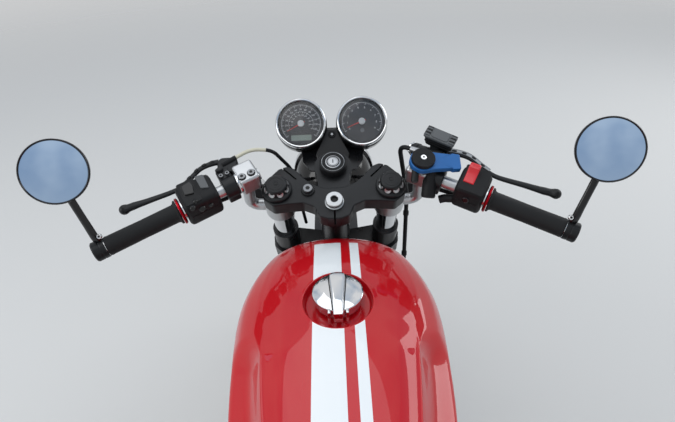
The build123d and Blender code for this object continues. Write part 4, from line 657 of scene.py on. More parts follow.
# Pale vinyl sheath of the clutch cable
PALE_SHEATH = Finish("pale_vinyl_sheath", "black_plastic", "D5D3C0", "C6C3AE", 0.0, 0.38, 0.06, 1.5,
                     Grain.MOULDED, 2.0, 0.02)
GRIP_RUBBER = Finish("grip_rubber_black", "grip_rubber", "141517", "1C1D1E", 0.0, 0.62, 0.08, 1.42,
                     Grain.KNURLED, 1.6, 0.12, sheen=0.03, specular=0.35)
TYRE_RUBBER = Finish("tyre_rubber_black", "tyre_rubber", "1A1A1B", "262625", 0.0, 0.8, 0.08, 1.5,
                     Grain.MOULDED, 1.0, 0.05, sheen=0.1)
# Anodised red: metal shine through a dyed skin
RED_ANODISED = Finish("red_anodised_aluminium", "bar_alloy", "B01622", "8E0F1A", 1.0, 0.3, 0.06, 1.5,
                      Grain.BRUSHED, 0.5, 0.02)
BLUE_ANODISED = Finish("blue_anodised_aluminium", "bar_alloy", "1D66AB", "195A98", 0.2, 0.42, 0.05, 1.5,
                       Grain.CAST, 0.5, 0.02)
RED_PLASTIC = Finish("red_polycarbonate", "lamp_red", "D21F2A", "C21A25", 0.0, 0.25, 0.04, 1.58,
                     Grain.MOULDED, 2.0, 0.01)
LEATHER = Finish("black_saddle_leather", "seat_leather", "1B1918", "262220", 0.0, 0.46, 0.1, 1.5, Grain.HIDE,
                 1.8, 0.16, sheen=0.06, specular=0.4)
# Convex mirror glass: bright silvering with the cool tint of anti-glare glass
MIRROR = Finish("anti_glare_mirror", "mirror_glass", "B9CFE8", "AFC8E4", 1.0, 0.02, 0.01, 1.5, Grain.POLISHED)
CLEAR = Finish("clear_lens_glass", "lamp_glass", "FFFFFF", "F4F8FA", 0.0, 0.02, 0.01, 1.45, Grain.POLISHED,
               transmission=1.0)
DIAL = Finish("dial_card", "black_plastic", "2E2F36", "2B2C32", 0.0, 0.6, 0.05, 1.5, Grain.MOULDED, 0.5, 0.01)
DIAL_INK = Finish("dial_ink_white", "black_plastic", "E9EBEE", "DEE0E4", 0.0, 0.6, 0.05, 1.5, Grain.MOULDED,
                  0.5, 0.01)
DIAL_GREY = Finish("dial_grey_ring", "black_plastic", "6B6E74", "5F6268", 0.0, 0.5, 0.05, 1.5, Grain.MOULDED,
                   0.5, 0.01)
HUB_WHITE = Finish("hub_pale_plastic", "black_plastic", "E2E4E6", "D6D8DA", 0.0, 0.3, 0.05, 1.5,
                   Grain.MOULDED, 0.5, 0.01)
NEEDLE_RED = Finish("needle_red", "lamp_red", "E8372B", "D92F24", 0.0, 0.4, 0.05, 1.5, Grain.MOULDED, 1.0,
                    0.01)
LCD = Finish("lcd_glass", "lamp_glass", "8E9C93", "87958C", 0.0, 0.25, 0.05, 1.5, Grain.MOULDED, 1.0, 0.01)
THREAD = Finish("waxed_red_thread", "seat_leather", "8E2320", "7C1D1B", 0.0, 0.7, 0.05, 1.5, Grain.MOULDED,
                0.6, 0.05)
# Near-black: the own colour of a knob, the gauges' inner walls and dark joints, and painted shade in the bolt
# sockets, slots, cuts and wells that stand for holes and recesses
BLACK_AND_RECESS_SHADE = Finish("black_and_painted_recess_shade", "frame_black", "0E0F10", "151617", 0.3, 0.5, 0.05, 1.5,
                      Grain.MOULDED, 0.5, 0.02)
AMBER = Finish("amber_lens", "lamp_red", "D9760F", "C96A0B", 0.0, 0.2, 0.05, 1.58, Grain.MOULDED, 2.0, 0.02)


class Dress:
    """Gives every CAD node that stays in view its own material."""

    NODES = {
        POWDER: ("frame_spine", "frame_cradle", "frame_rear", "swingarm", "centre_stand", "side_stand",
                 "footrests", "rear_fender", "front_fender", "headlamp_ears", "gauge_bracket", "lower_yoke"),
        CAST_ALLOY: ("crankcase", "oil_cooler", "front_caliper", "rear_caliper"),
        BARREL_ALLOY: ("cylinders", "cylinder_head"),
        POLISHED_ALLOY: ("engine_covers",),
        BLACK_ALLOY: ("top_yoke", "fork_caps", "levers"),
        SILVER_ALLOY: ("clip_ons",),
        CHROME: ("fork_tubes", "exhaust_headers", "silencers", "gauge_bezels", "stem_nut", "fuel_cap"),
        STEEL: ("front_wheel", "rear_wheel", "front_disc", "rear_disc", "rear_sprocket", "chain"),
        NYLON: ("intake", "chain_guard", "ignition_switch", "switch_blocks", "master_cylinder", "phone_mount",
                "gauges", "rear_indicators", "front_indicators", "brake_hose", "control_cables"),
        GLOSS_BLACK: ("headlamp", "mirrors", "fork_sliders", "shock_absorbers"),
        TYRE_RUBBER: ("front_tyre", "rear_tyre"),
        GRIP_RUBBER: ("grips",),
        RED_PLASTIC: ("tail_lamp",),
        PLAIN_ENAMEL: ("side_panels",),
        ENAMEL: ("fuel_tank", "seat_cowl"),
        LEATHER: ("seat_pad",),
        MIRROR: ("mirror_glasses",),
        CLEAR: ("headlamp_lens",),
    }

    def apply(self, nodes: dict[str, bpy.types.Object]) -> None:
        """Sets each node's material slots."""
        for finish, names in self.NODES.items():
            for name in names:
                for slot in nodes[name].material_slots:
                    slot.material = finish.material()


# Studio


@dataclass
class Studio:
    """Pale floor and backdrop, soft lamps, and the camera at the photograph's place."""

    focal_px: float = 491.0
    pitch_deg: float = 35.5
    roll_deg: float = 2.3
    eye: tuple[float, float, float] = (5.0, -305.5, 1417.9)
    fade_start: float = 2600.0
    fade_end: float = 9000.0
    floor_colour: str = "D4D4D2"
    backdrop: str = "D9DADB"
    surround: float = 0.86

    def build(self) -> None:
        """Adds everything that isn't the motorcycle."""
        self.camera()
        self.floor()
        self.lamps()
        bpy.context.scene.view_settings.view_transform = "Standard"

    def camera(self) -> None:
        """Aims the camera: its axes are the level ones pitched down and rolled."""
        pitch, roll = radians(self.pitch_deg), radians(self.roll_deg)
        right = np.array([1.0, 0.0, 0.0])
        up = np.array([0.0, sin(pitch), cos(pitch)])
        ahead = np.array([0.0, cos(pitch), -sin(pitch)])
        data = bpy.data.cameras.new("camera")
        data.sensor_width = 36.0
        data.lens = self.focal_px / PHOTO_WIDTH * data.sensor_width
        data.clip_start = 0.01
        eye = bpy.data.objects.new("camera", data)
        matrix = np.eye(4)
        matrix[:3, 0] = right * cos(roll) - up * sin(roll)
        matrix[:3, 1] = right * sin(roll) + up * cos(roll)
        matrix[:3, 2] = -ahead
        matrix[:3, 3] = np.array(self.eye) * MM
        eye.matrix_world = Matrix(matrix)
        bpy.context.scene.collection.objects.link(eye)
        bpy.context.scene.camera = eye

    def floor(self) -> None:
        """Lays one round sheet whose far part thins away into the backdrop.

        How much is left is 1 - (3 t^2 - 2 t^3) with t the way from fade_start to fade_end.
        """
        data = bpy.data.meshes.new("floor")
        a = np.linspace(0, 2 * pi, 64, endpoint=False)
        ring = np.stack([np.cos(a), np.sin(a), 0 * a], -1) * self.fade_end * MM
        data.from_pydata(ring.tolist(), [], [tuple(range(64))])
        material = bpy.data.materials.new("pale_floor")
        material.use_nodes = True
        tree = material.node_tree
        shader = tree.nodes["Principled BSDF"]
        shader.inputs["Base Color"].default_value = linear(self.floor_colour)
        shader.inputs["Roughness"].default_value = 0.9
        shader.inputs["Specular IOR Level"].default_value = 0.1
        place = node(tree, "ShaderNodeTexCoord").outputs["Object"]
        away = node(tree, "ShaderNodeVectorMath", links={0: place}, operation="LENGTH").outputs["Value"]
        left = node(tree, "ShaderNodeMapRange", {"From Min": self.fade_start * MM,
                                                 "From Max": self.fade_end * MM, "To Min": 1.0,
                                                 "To Max": 0.0}, {"Value": away},
                    interpolation_type="SMOOTHSTEP").outputs["Result"]
        tree.links.new(left, shader.inputs["Alpha"])
        data.materials.append(material)
        floor = bpy.data.objects.new("floor", data)
        bpy.context.scene.collection.objects.link(floor)

    def lamps(self) -> None:
        """Sets three broad lamps and a pale surround, brighter overhead, with soft patches like cloud."""
        for name, place, aim, size, watts in (
            ("overhead", (-500, 700, 4200), (0, 200, 600), 3600, 40.0),
            ("left_side", (-3800, -1200, 2400), (0, 0, 500), 2400, 55.0),
            ("right_back", (3600, 2200, 2600), (0, 0, 500), 2200, 45.0),
        ):
            data = bpy.data.lights.new(name, "AREA")
            data.size = size * MM
            data.energy = watts
            lamp = bpy.data.objects.new(name, data)
            place_matrix = np.eye(4)
            rows = basis(np.array(place, float), np.array(place, float) - np.array(aim, float))
            place_matrix[:3, :3] = rows[:3].T
            place_matrix[:3, 3] = rows[3] * MM
            lamp.matrix_world = Matrix(place_matrix)
            bpy.context.scene.collection.objects.link(lamp)
        world = bpy.data.worlds.new("surround")
        bpy.context.scene.world = world
        world.use_nodes = True
        tree = world.node_tree
        way = node(tree, "ShaderNodeTexCoord").outputs["Generated"]
        high = node(tree, "ShaderNodeSeparateXYZ", links={0: way}).outputs["Z"]
        rise = node(tree, "ShaderNodeMapRange", {"From Min": 0.06, "From Max": 0.75}, {"Value": high},
                    interpolation_type="SMOOTHSTEP").outputs["Result"]
        cloud = node(tree, "ShaderNodeTexNoise", {"Scale": 2.2, "Detail": 4.0, "Roughness": 0.5},
                     {"Vector": way}).outputs["Fac"]
        patch = node(tree, "ShaderNodeMapRange", {"From Min": 0.42, "From Max": 0.6},
                     {"Value": cloud}).outputs["Result"]
        sky = node(tree, "ShaderNodeMix", {6: linear("A9BDD4"), 7: linear("FDFDFE")}, {0: patch},
                   data_type="RGBA").outputs[2]
        colour = node(tree, "ShaderNodeMix", {6: linear(self.backdrop)}, {0: rise, 7: sky},
                      data_type="RGBA").outputs[2]
        back = tree.nodes["Background"]
        tree.links.new(colour, back.inputs["Color"])
        back.inputs["Strength"].default_value = self.surround


# Tank and seat


@dataclass
class Tank:
    """The fuel tank: crowned top, knee recesses, dished filler and two stripes; and its hinged cap."""

    # y, half width, its z, shoulder half width, its z, top, floor half width, its z
    stations: tuple = (
        (436, 62, 800, 44, 814, 822, 56, 782),
        (404, 128, 788, 92, 824, 843, 108, 742),
        (300, 168, 782, 120, 834, 853, 144, 716),
        (160, 170, 766, 117, 830, 850, 152, 712),
        (20, 152, 762, 101, 812, 832, 134, 722),
        (-104, 116, 772, 80, 794, 804, 104, 752),
    )
    recess_start: float = 214.0
    recess_full: float = 156.0
    hollow: float = -8.0
    filler: tuple[float, float] = (0.0, 254.0)
    dish_y: float = 248.0
    dish_r: float = 57.0
    dish_long_r: float = 60.0
    dish_floor: float = 836.0
    tunnel_half: float = 34.0

    def sections(self, y: np.ndarray) -> np.ndarray:
        """Gives the half sections' guide points at each y: crown, shoulder, side, floor and tunnel.

        Ahead of the knees the upper part is a quarter ellipse, (wide sin a, wide_z + rise cos a), which
        passes into the creased and hollowed section by a smooth step of y.
        """
        table = np.array(self.stations[::-1], float)
        dense = through(table, 400)
        wide, wide_z, sh, sh_z, top, floor, floor_z = (np.interp(y, dense[:, 0],
                                                                 dense[:, k]) for k in range(1, 8))
        t = np.clip((self.recess_start - y) / (self.recess_start - self.recess_full), 0, 1)
        knee = t * t * (3 - 2 * t)
        bulge = self.hollow
        edge = 0.07
        tunnel_z = np.maximum(723 + (y + 98) * 0.0602 + 30, floor_z + 2)
        down, out = sh_z - wide_z, wide - sh
        length = np.hypot(down, out)
        rows = [
            (0 * y, top),
            (sh * 0.36, top - (top - sh_z) * 0.09),
            (sh * 0.7, top - (top - sh_z) * 0.38),
            (sh * (1 - edge * 0.7), sh_z + (top - sh_z) * edge * 1.1),
            (sh, sh_z),
            (sh + out * edge + bulge * 0.2 * down / length, sh_z - down * edge + bulge * 0.2 * out / length),
            (sh + out * 0.5 + bulge * down / length, sh_z - down * 0.5 + bulge * out / length),
            (wide - out * 0.06, wide_z + down * 0.14),
            (wide, wide_z - 4),
            (wide - 3, wide_z * 0.62 + floor_z * 0.38),
            (floor + 4, floor_z + 8),
            (floor - 4, floor_z),
            (floor * 0.6, floor_z),
            (0 * y + self.tunnel_half + 8, floor_z),
            (0 * y + self.tunnel_half, floor_z * 0.7 + tunnel_z * 0.3),
            (0 * y + self.tunnel_half * 0.8, tunnel_z),
            (0 * y, tunnel_z + 2),
        ]
        guides = np.stack([np.stack(r, -1) for r in rows], 1)
        turns = np.radians([0, 14, 28, 40, 47, 53, 66, 81, 90])[:, None]
        plain = np.stack([wide * np.sin(turns), wide_z + (top - wide_z) * np.cos(turns)], -1).swapaxes(0, 1)
        blend = knee[:, None, None]
        guides[:, :9] = plain * (1 - blend) + guides[:, :9] * blend
        return guides

    def surface(self) -> np.ndarray:
        """Carries the section along y, rounds both ends by a quarter ellipse and opens the filler's dish."""
        cy = self.dish_y
        near = np.arange(cy - self.dish_long_r - 6, cy + self.dish_long_r + 6, 1.6)
        y = np.concatenate([np.arange(-98, near[0] - 3, 6.0), near, np.arange(near[-1] + 4, 424, 5.0)])
        t = np.linspace(0, 1, 8)[1:]
        y = np.concatenate([(-98 - 6 * t)[::-1], y, 424 + 12 * t])
        shrink = np.ones(len(y))
        shrink[:7] = np.sqrt(np.maximum(1 - t**2, 0))[::-1]
        shrink[-7:] = np.sqrt(np.maximum(1 - t**2, 0))
        half = through(self.sections(np.clip(y, -104, 436)), 190)
        middle = np.stack([np.zeros(len(y)), half[..., 1].mean(1)], -1)[:, None]
        half = middle + (half - middle) * shrink[:, None, None]
        full = np.concatenate([half, (half * (-1, 1))[:, -2:0:-1]], 1)
        grid = np.stack([full[..., 0], np.broadcast_to(y[:, None], full.shape[:2]), full[..., 1]], -1)
        inside = (grid[..., 2] > 810) & (self.oval(grid[..., 0], grid[..., 1]) < 1.03)
        grid[..., 2] -= np.where(inside, 26.0, 0.0)
        return grid

    def oval(self, x: np.ndarray, y: np.ndarray) -> np.ndarray:
        """Gives how far out a point is in the dish: 1 on its rim."""
        return np.hypot((x - self.filler[0]) / self.dish_r, (y - self.dish_y) / self.dish_long_r)

    def crown(self, x: np.ndarray, y: np.ndarray) -> np.ndarray:
        """Gives the height of the tank's top at each point."""
        half = through(self.sections(y.ravel()), 190)[:, :70]
        rows = [np.interp(abs(v), h[:, 0], h[:, 1]) for v, h in zip(x.ravel(), half)]
        return np.array(rows).reshape(x.shape)

    def bowl(self) -> np.ndarray:
        """Makes the oval dish: a rim that follows the top, a rolled lip, a wall and a flat floor.

        The height is w * (crown + lift) + (1 - w) * floor, with w and lift from a table of rings.
        """
        rings = [(1.12, 1, 0.12), (1.09, 1, 0.22), (1.05, 1, 0.35), (1.02, 1, 0.6), (1.005, 1, 0.7),
                 (0.992, 1, 0.4), (0.98, 0.97, 0), (0.968, 0.86, 0), (0.95, 0.55, 0), (0.935, 0.24, 0),
                 (0.92, 0.08, 0), (0.9, 0.02, 0), (0.87, 0, 0), (0.6, 0, 0), (0, 0, 0)]
        a = np.linspace(0, 2 * pi, 120, endpoint=False)
        rows = []
        for q, w, lift in rings:
            x, y = self.dish_r * q * np.cos(a), self.dish_y + self.dish_long_r * q * np.sin(a)
            z = w * (self.crown(x, y) + lift) + (1 - w) * self.dish_floor
            rows.append(np.stack([x, y, z], -1))
        return np.array(rows)

    def build(self) -> None:
        """Makes the shell and the cap's pieces."""
        Mesh().add(self.surface()).piece("tank_shell", "chassis", ENAMEL, ("fuel_tank",), sharp=50)
        Mesh().add(self.bowl()).piece("filler_dish", "chassis", ENAMEL, sharp=60)
        self.cap()
        self.hinge_seat()

    def hinge_seat(self) -> None:
        """Makes the neck's collar and the cheeks that carry the lid's hinge."""
        x, y = self.filler
        collar = turned([(21, 833), (31, 833), (31, 840.4), (30, 841), (21, 841), (21, 833)], 64) + (x, y, 0)
        seat = Mesh().add(collar)
        for side in (-1, 1):
            seat.add(block((4.6, 8, 15), 1.2) + (x + side * 11.5, y + 45.5, 843.5))
        seat.piece("filler_collar", "chassis", STEEL)

    def cap(self) -> None:
        """Makes the polished disc cap: rounded lid over a waisted skirt, strap, feet, grooves and hinge."""
        x, y = self.filler
        place = basis((x, y, 0), (0, 0, 1), up=(0, -1, 0))
        lid = [(0, 841.6), (36, 841.6), (37, 842.4), (37, 846), (35.8, 853), (36.6, 855.6), (40, 857),
               (41, 858.4), (41, 861), (40.4, 862.6), (38.6, 863.6), (20, 864.4), (0, 864.6)]
        Mesh().lathe(lid, 128, place).piece("filler_cap_disc", "fuel_lid", CHROME, ("fuel_cap",), sharp=40)
        along = basis((x, y, 0), (0, 1, 0))
        strap = lofted([(-51, 13.4, 3.6, 0, 864), (-49.4, 14.6, 5.2, 0, 864.2), (-20, 17.8, 6.2, 0, 864.8),
                        (20, 25, 6.4, 0, 864.8), (32, 26, 6.2, 0, 864.8), (37.4, 23.6, 5.4, 0, 864.6),
                        (40, 18, 4.2, 0, 864.4), (41, 10, 2.6, 0, 864.4)], 0.34)
        drop = block((14, 3.4, 20), 1.4) + (x, y - 46.4, 854)
        feet = [block((4.6, 9, 21), 1.2) + (x + side * 14.0, y - 41.5, 853.0) for side in (-1, 1)]
        hinge = placed(turned([(0, -8), (4.2, -8), (4.2, 8), (0, 8)], 24),
                       basis((x, y + 45.5, 848), (1, 0, 0)))
        tongue = block((12, 14, 5), 1.0) + (x, y + 39, 849)
        top = Mesh().add(placed(strap, along)).add(drop).add(hinge).add(tongue)
        for foot in feet:
            top.add(foot)
        top.piece("filler_cap_strap", "fuel_lid", CHROME, sharp=40)
        gaps = Mesh()
        for side in (-1, 1):
            line = np.array([(x + side * 14.3, y + 37, 864.0), (x + side * 13.8, y + 20, 864.4),
                             (x + side * 10.2, y - 20, 864.4), (x + side * 8.7, y - 40, 863.4)])
            gaps.add(tube(through(line, 16), 0.95, 8))
        gaps.piece("filler_cap_grooves", "fuel_lid", BLACK_AND_RECESS_SHADE)


@dataclass
class Seat:
    """The rider's seat: a crowned pad blown up as cloth, sewn across in channels, with thread."""

    # y, half width, height of the crown over the base
    stations: tuple = ((-112, 74, 38), (-150, 88, 40), (-230, 108, 41), (-300, 122, 42), (-400, 126, 44),
                       (-470, 127, 50), (-512, 126, 56))
    base_z: float = 749.0
    channels: tuple[float, float, float] = (-148.0, -470.0, 36.0)
    panel_share: float = 0.69
    groove: float = 4.2
    groove_width: float = 4.6
    cap: float = 7.0

    def rings(self) -> np.ndarray:
        """Gives the pad's closed sections: a superellipse arch over a flat base.

        The arch is (w sign(cos) |cos|^0.42, h |sin|^0.72) over half a turn, then straight along the base.
        """
        table = np.array(self.stations, float)
        y = np.linspace(table[0, 0], table[-1, 0], 60)
        wide, high = (np.interp(-y, -table[:, 0], table[:, k]) for k in (1, 2))
        a = np.linspace(0, pi, 41)
        c, q = np.cos(a), np.sin(a)
        x = wide[:, None] * np.sign(c) * np.abs(c) ** 0.42
        z = self.base_z + high[:, None] * q[None] ** 0.72
        back = np.linspace(-1, 1, 21)[1:-1]
        x = np.concatenate([x, wide[:, None] * back], 1)
        z = np.concatenate([z, np.full((60, 19), self.base_z)], 1)
        body = np.stack([x, np.broadcast_to(y[:, None], x.shape), z], -1)
        ends = [np.broadcast_to(row.mean(0), row.shape)[None] for row in (body[0], body[-1])]
        return np.concatenate([ends[0], body, ends[1]])

    def blown(self, pad: bpy.types.Object) -> None:
        """Remeshes the pad evenly and lets pressure swell it as cloth, no point further than the cap."""
        scene = bpy.context.scene
        even = pad.modifiers.new("even", "REMESH")
        even.mode = "VOXEL"
        even.voxel_size = 0.006
        self.apply(pad)
        rest = self.read(pad)
        cloth = pad.modifiers.new("cloth", "CLOTH")
        cloth.settings.use_pressure = True
        cloth.settings.uniform_pressure_force = 4.0
        cloth.settings.effector_weights.gravity = 0.0
        cloth.point_cache.frame_start, cloth.point_cache.frame_end = 1, 20
        for frame in range(1, 21):
            scene.frame_set(frame)
        self.apply(pad)
        moved = self.read(pad) - rest
        length = np.linalg.norm(moved, axis=1, keepdims=True)
        self.write(pad, rest + moved * np.minimum(1, self.cap * MM / np.maximum(length, 1e-9)))
        scene.frame_set(1)

    def apply(self, pad: bpy.types.Object) -> None:
        """Bakes the pad's modifiers into its mesh."""
        ready = pad.evaluated_get(bpy.context.evaluated_depsgraph_get())
        baked = bpy.data.meshes.new_from_object(ready)
        pad.modifiers.clear()
        pad.data = baked

    def read(self, pad: bpy.types.Object) -> np.ndarray:
        """Gives the mesh's points."""
        points = np.empty(len(pad.data.vertices) * 3)
        pad.data.vertices.foreach_get("co", points)
        return points.reshape(-1, 3)

    def write(self, pad: bpy.types.Object, points: np.ndarray) -> None:
        """Sets the mesh's points."""
        pad.data.vertices.foreach_set("co", points.ravel())
        pad.data.update()

    def rows(self) -> np.ndarray:
        """Gives the channels' places along y."""
        first, last, step = self.channels
        return np.arange(first, last, -step)

    def panel(self, y: np.ndarray) -> np.ndarray:
        """Gives the sewn panel's half width at a place along y."""
        table = np.array(self.stations, float)
        return self.panel_share * np.interp(-y, -table[:, 0], table[:, 1])

    def sewn(self, points: np.ndarray) -> np.ndarray:
        """Sinks the channels and the panel's edge seam, flattens the base and pulls the sides to their seam.

        Each groove is depth * exp(-(d / width)^2), with d the way from its line.
        """
        p = points / MM
        x, y, z = p.T
        top = np.clip((z - self.base_z - 22) / 10, 0, 1)
        inner = 1 / (1 + np.exp((np.abs(x) - self.panel(y)) / 2.0))
        across = np.exp(-((y[:, None] - self.rows()[None]) / self.groove_width) ** 2).sum(1)
        edge = np.exp(-((np.abs(x) - self.panel(y) - 2) / 3.0) ** 2)
        long = (y < self.channels[0] + 26) & (y > self.channels[1] - 10)
        drop = self.groove * np.maximum(across * inner, 0.8 * edge * long) * top
        seam = np.exp(-((z - self.base_z - 20) / 3.0) ** 2)
        wide = np.abs(x) > 60
        x = x - np.sign(x) * 1.6 * seam * wide
        z = np.maximum(z - drop, self.base_z)
        y = np.clip(y, -519.0, -107.5)
        return np.stack([x, y, z], 1) * MM

    def height(self, pad: bpy.types.Object, x: float, y: float) -> float:
        """Gives the pad's height at a place."""
        hit, where, _, _ = pad.ray_cast((x * MM, y * MM, 1.2), (0, 0, -1))
        return where[2] / MM if hit else self.base_z

    def build(self) -> None:
        """Makes the pad, its thread and base board."""
        pad = Mesh().add(self.rings()).piece("seat_cushion", "chassis", LEATHER, ("seat_pad",), sharp=60)
        self.blown(pad)
        finer = pad.modifiers.new("finer", "SUBSURF")
        finer.levels = finer.render_levels = 1
        self.apply(pad)
        self.write(pad, self.sewn(self.read(pad)))
        pad.data.shade_smooth()
        if not pad.data.materials:
            pad.data.materials.append(LEATHER.material())
        self.thread(pad)
        board = []
        for z, grow in ((747.6, -4), (748.2, 0), (751.5, 1.5), (753, 0)):
            ring = np.array([[s * (w + grow), y] for s, side in ((1, self.stations),
                                                                 (-1, self.stations[::-1])) for y, w,
                             _ in side])
            board.append(np.column_stack([ring, np.full(len(ring), z)]))
        ends = [np.broadcast_to(r.mean(0), r.shape) for r in (board[0], board[-1])]
        Mesh().add(np.array([ends[0], *board, ends[1]])).piece("seat_board", "chassis", NYLON)

    def thread(self, pad: bpy.types.Object) -> None:
        """Lays red stitches along both sides of the panel's edge seam and pale ones in the channels."""
        stitches = Mesh()
        y = np.arange(self.channels[0] + 22, self.channels[1] - 6, -5.2)
        for side in (-1, 1):
            for shift in (-5.0, 4.6):
                for v in y:
                    x = side * (float(self.panel(v)) + 2 + shift)
                    a = np.array([x, v + 1.7, self.height(pad, x, v + 1.7) + 0.25])
                    b = np.array([x, v - 1.7, self.height(pad, x, v - 1.7) + 0.25])
                    stitches.add(tube(np.array([a, (a + b) / 2 + (0, 0, 0.25), b]), 0.45, 5))
        stitches.piece("seat_thread", "chassis", THREAD)


@dataclass
class Cowl:
    """The hump behind the seat: lacquered shell with the stripes, edge trim and two fasteners a side."""

    # y, half width, base height, height
    stations: tuple = ((-521, 125, 749, 62), (-532, 128, 749, 88), (-560, 130, 749, 110),
                       (-600, 125, 749, 117), (-640, 113, 750, 112), (-680, 94, 753, 98), (-715, 74, 757, 78),
                       (-736, 52, 761, 50), (-742, 22, 768, 20))

    def build(self) -> None:
        """Makes the shell: arches (w cos|.|^0.8, h sin^0.9) along y, closed at its ends."""
        table = through(np.array(self.stations, float), 70)
        y, wide, low, high = table.T
        a = np.linspace(0, pi, 61)
        c, q = np.cos(a), np.sin(a)
        x = wide[:, None] * np.sign(c) * np.abs(c) ** 0.8
        z = low[:, None] + high[:, None] * q[None] ** 0.9
        floor = np.linspace(-1, 1, 11)[1:-1]
        x = np.concatenate([x, wide[:, None] * floor], 1)
        z = np.concatenate([z, np.broadcast_to(low[:, None], (70, 9))], 1)
        body = np.stack([x, np.broadcast_to(y[:, None], x.shape), z], -1)
        ends = [np.broadcast_to(row.mean(0), row.shape)[None] for row in (body[0], body[-1])]
        Mesh().add(np.concatenate([ends[0], body, ends[1]])).piece("cowl_shell", "chassis", ENAMEL,
                                                                   ("seat_cowl",), sharp=50)
        trim = Mesh()
        arch = body[0][:61]
        trim.add(tube(arch, 2.0, 10, up=(0, 1, 0)))
        trim.piece("cowl_edge_trim", "chassis", GRIP_RUBBER)
        bolts, sockets = Mesh(), Mesh()
        for along in (-560.0, -650.0):
            w = np.interp(-along, -y, wide)
            place = basis((w - 2.0, along, 762.0), (1.0, 0.0, 0.35))
            socket_bolt(bolts, sockets, place, 6.0, 3.6)
        bolts.both().piece("cowl_bolts", "chassis", STEEL)
        sockets.both().piece("cowl_sockets", "chassis", BLACK_AND_RECESS_SHADE)


# Wheels and drive


def arc_through(a: tuple, b: tuple, c: tuple, count: int) -> np.ndarray:
    """Gives points on the circle through three points, from the first to the third by way of the second."""
    a, b, c = (np.asarray(v, float) for v in (a, b, c))
    rows = np.array([b - a, c - a]) * 2
    middle = np.linalg.solve(rows, [b @ b - a @ a, c @ c - a @ a])
    first, via, last = (np.arctan2(*(v - middle)[::-1]) for v in (a, b, c))
    via, last = (first + (v - first + pi) % (2 * pi) - pi for v in (via, last))
    if (via - first) * (last - via) < 0:
        last += 2 * pi * np.sign(via - first)
    t = np.linspace(first, last, count)
    return middle + np.linalg.norm(a - middle) * np.stack([np.cos(t), np.sin(t)], -1)


@dataclass
class Tyre:
    """A road tyre with its tread: zigzag grooves round it and slanted cuts across its shoulders."""

    name: str
    body: str
    node: str
    centre: tuple[float, float]
    radius: float
    width: float
    rim_width: float
    grooves: tuple[float, ...]
    pitches: int = 44
    depth: float = 5.0
    zigzag: float = 2.6
    slant: float = 0.05

    def profile(self) -> tuple[np.ndarray, np.ndarray]:
        """Gives the outline's points (x, r) and how deep a full groove is at each."""
        flange = 239.0
        bead = self.rim_width / 2 - 3.0
        wide = self.width / 2
        edge_x = 0.84 * wide
        crown = 0.6 * self.width
        edge_r = self.radius - crown + np.sqrt(crown**2 - edge_x**2)
        side_r = (flange + edge_r) / 2 + 2
        wall = arc_through((-bead, flange), (-wide, side_r), (-edge_x, edge_r), 34)
        arc = arc_through((-edge_x, edge_r), (0, self.radius), (edge_x, edge_r), 401)
        half = self.depth * 0.42
        columns = [(-edge_x + 0.02, 0.0)]
        edges = sorted(g * edge_x for g in self.grooves)
        for centre in edges:
            columns += [(centre - half - 1.2, 0.0), (centre - half, 0.0), (centre - half * 0.8, 1.0),
                        (centre + half * 0.8, 1.0), (centre + half, 0.0), (centre + half + 1.2, 0.0)]
        columns += [(x, 0.0) for x in np.linspace(-edge_x, edge_x, 27)[1:-1]
                    if all(abs(x - e) > half + 2.4 for e in edges)]
        columns.append((edge_x - 0.02, 0.0))
        columns.sort()
        x = np.array([c[0] for c in columns])
        groove = np.array([c[1] for c in columns])
        r = np.interp(x, arc[:, 0], arc[:, 1])
        low = [(-bead, 231.0), (-bead, 239.2)] + [(px - 0.2, pr + 0.5) for px, pr in wall[1:-1]]
        left = np.array(low)
        right = left[::-1] * (-1, 1)
        points = np.concatenate([left, np.stack([x, r], -1), right])
        deep = np.concatenate([np.zeros(len(left)), groove, np.zeros(len(right))])
        return points, deep

    def build(self) -> None:
        """Makes the tyre: rings close together where the cuts have their walls."""
        points, groove = self.profile()
        x, r = points.T
        steps = np.array([0.0, 0.03, 0.14, 0.17, 0.5, 0.53, 0.64, 0.67])
        cut = np.array([0, 1, 1, 0, 0, 1, 1, 0], float)
        side = np.array([1, 1, 1, 1, -1, -1, -1, -1])
        angle = ((np.arange(self.pitches)[:, None] + steps[None]) * 2 * pi / self.pitches).ravel()
        cut, side = np.tile(cut, self.pitches), np.tile(side, self.pitches)
        phase = np.tile(steps, self.pitches)
        wave = self.zigzag * (1 - 4 * np.abs((phase + 0.25) % 1 - 0.5)) * 0.5
        edge = 0.84 * self.width / 2
        tread = np.abs(x) < edge
        u = np.clip(x / edge, -1, 1)
        shoulder = tread & (np.abs(u) > 0.3) & (np.abs(u) < 0.93)
        near = shoulder[None] & (np.sign(x)[None] == side[:, None])
        deep = np.maximum(groove[None], cut[:, None] * near * 0.85) * self.depth
        turn = angle[:, None] + self.slant * np.abs(u)[None] * tread[None]
        sway = wave[:, None] * (tread & (np.abs(u) < 0.9))[None]
        radius = r[None] - deep * tread[None]
        raised = sum(np.exp(-(((r - at) / 1.7) ** 2)) for at in (246.0, 251.0, 292.0)) * ~tread
        x = x + 0.9 * np.sign(x) * raised
        y, z = self.centre
        grid = np.stack([np.broadcast_to(x[None], turn.shape) + sway, y + radius * np.cos(turn),
                         z + radius * np.sin(turn)], -1)
        Mesh().add(grid, ring=True, loop=True).piece(f"{self.name}_tread", self.body, TYRE_RUBBER,
                                                     (self.node,), sharp=40)


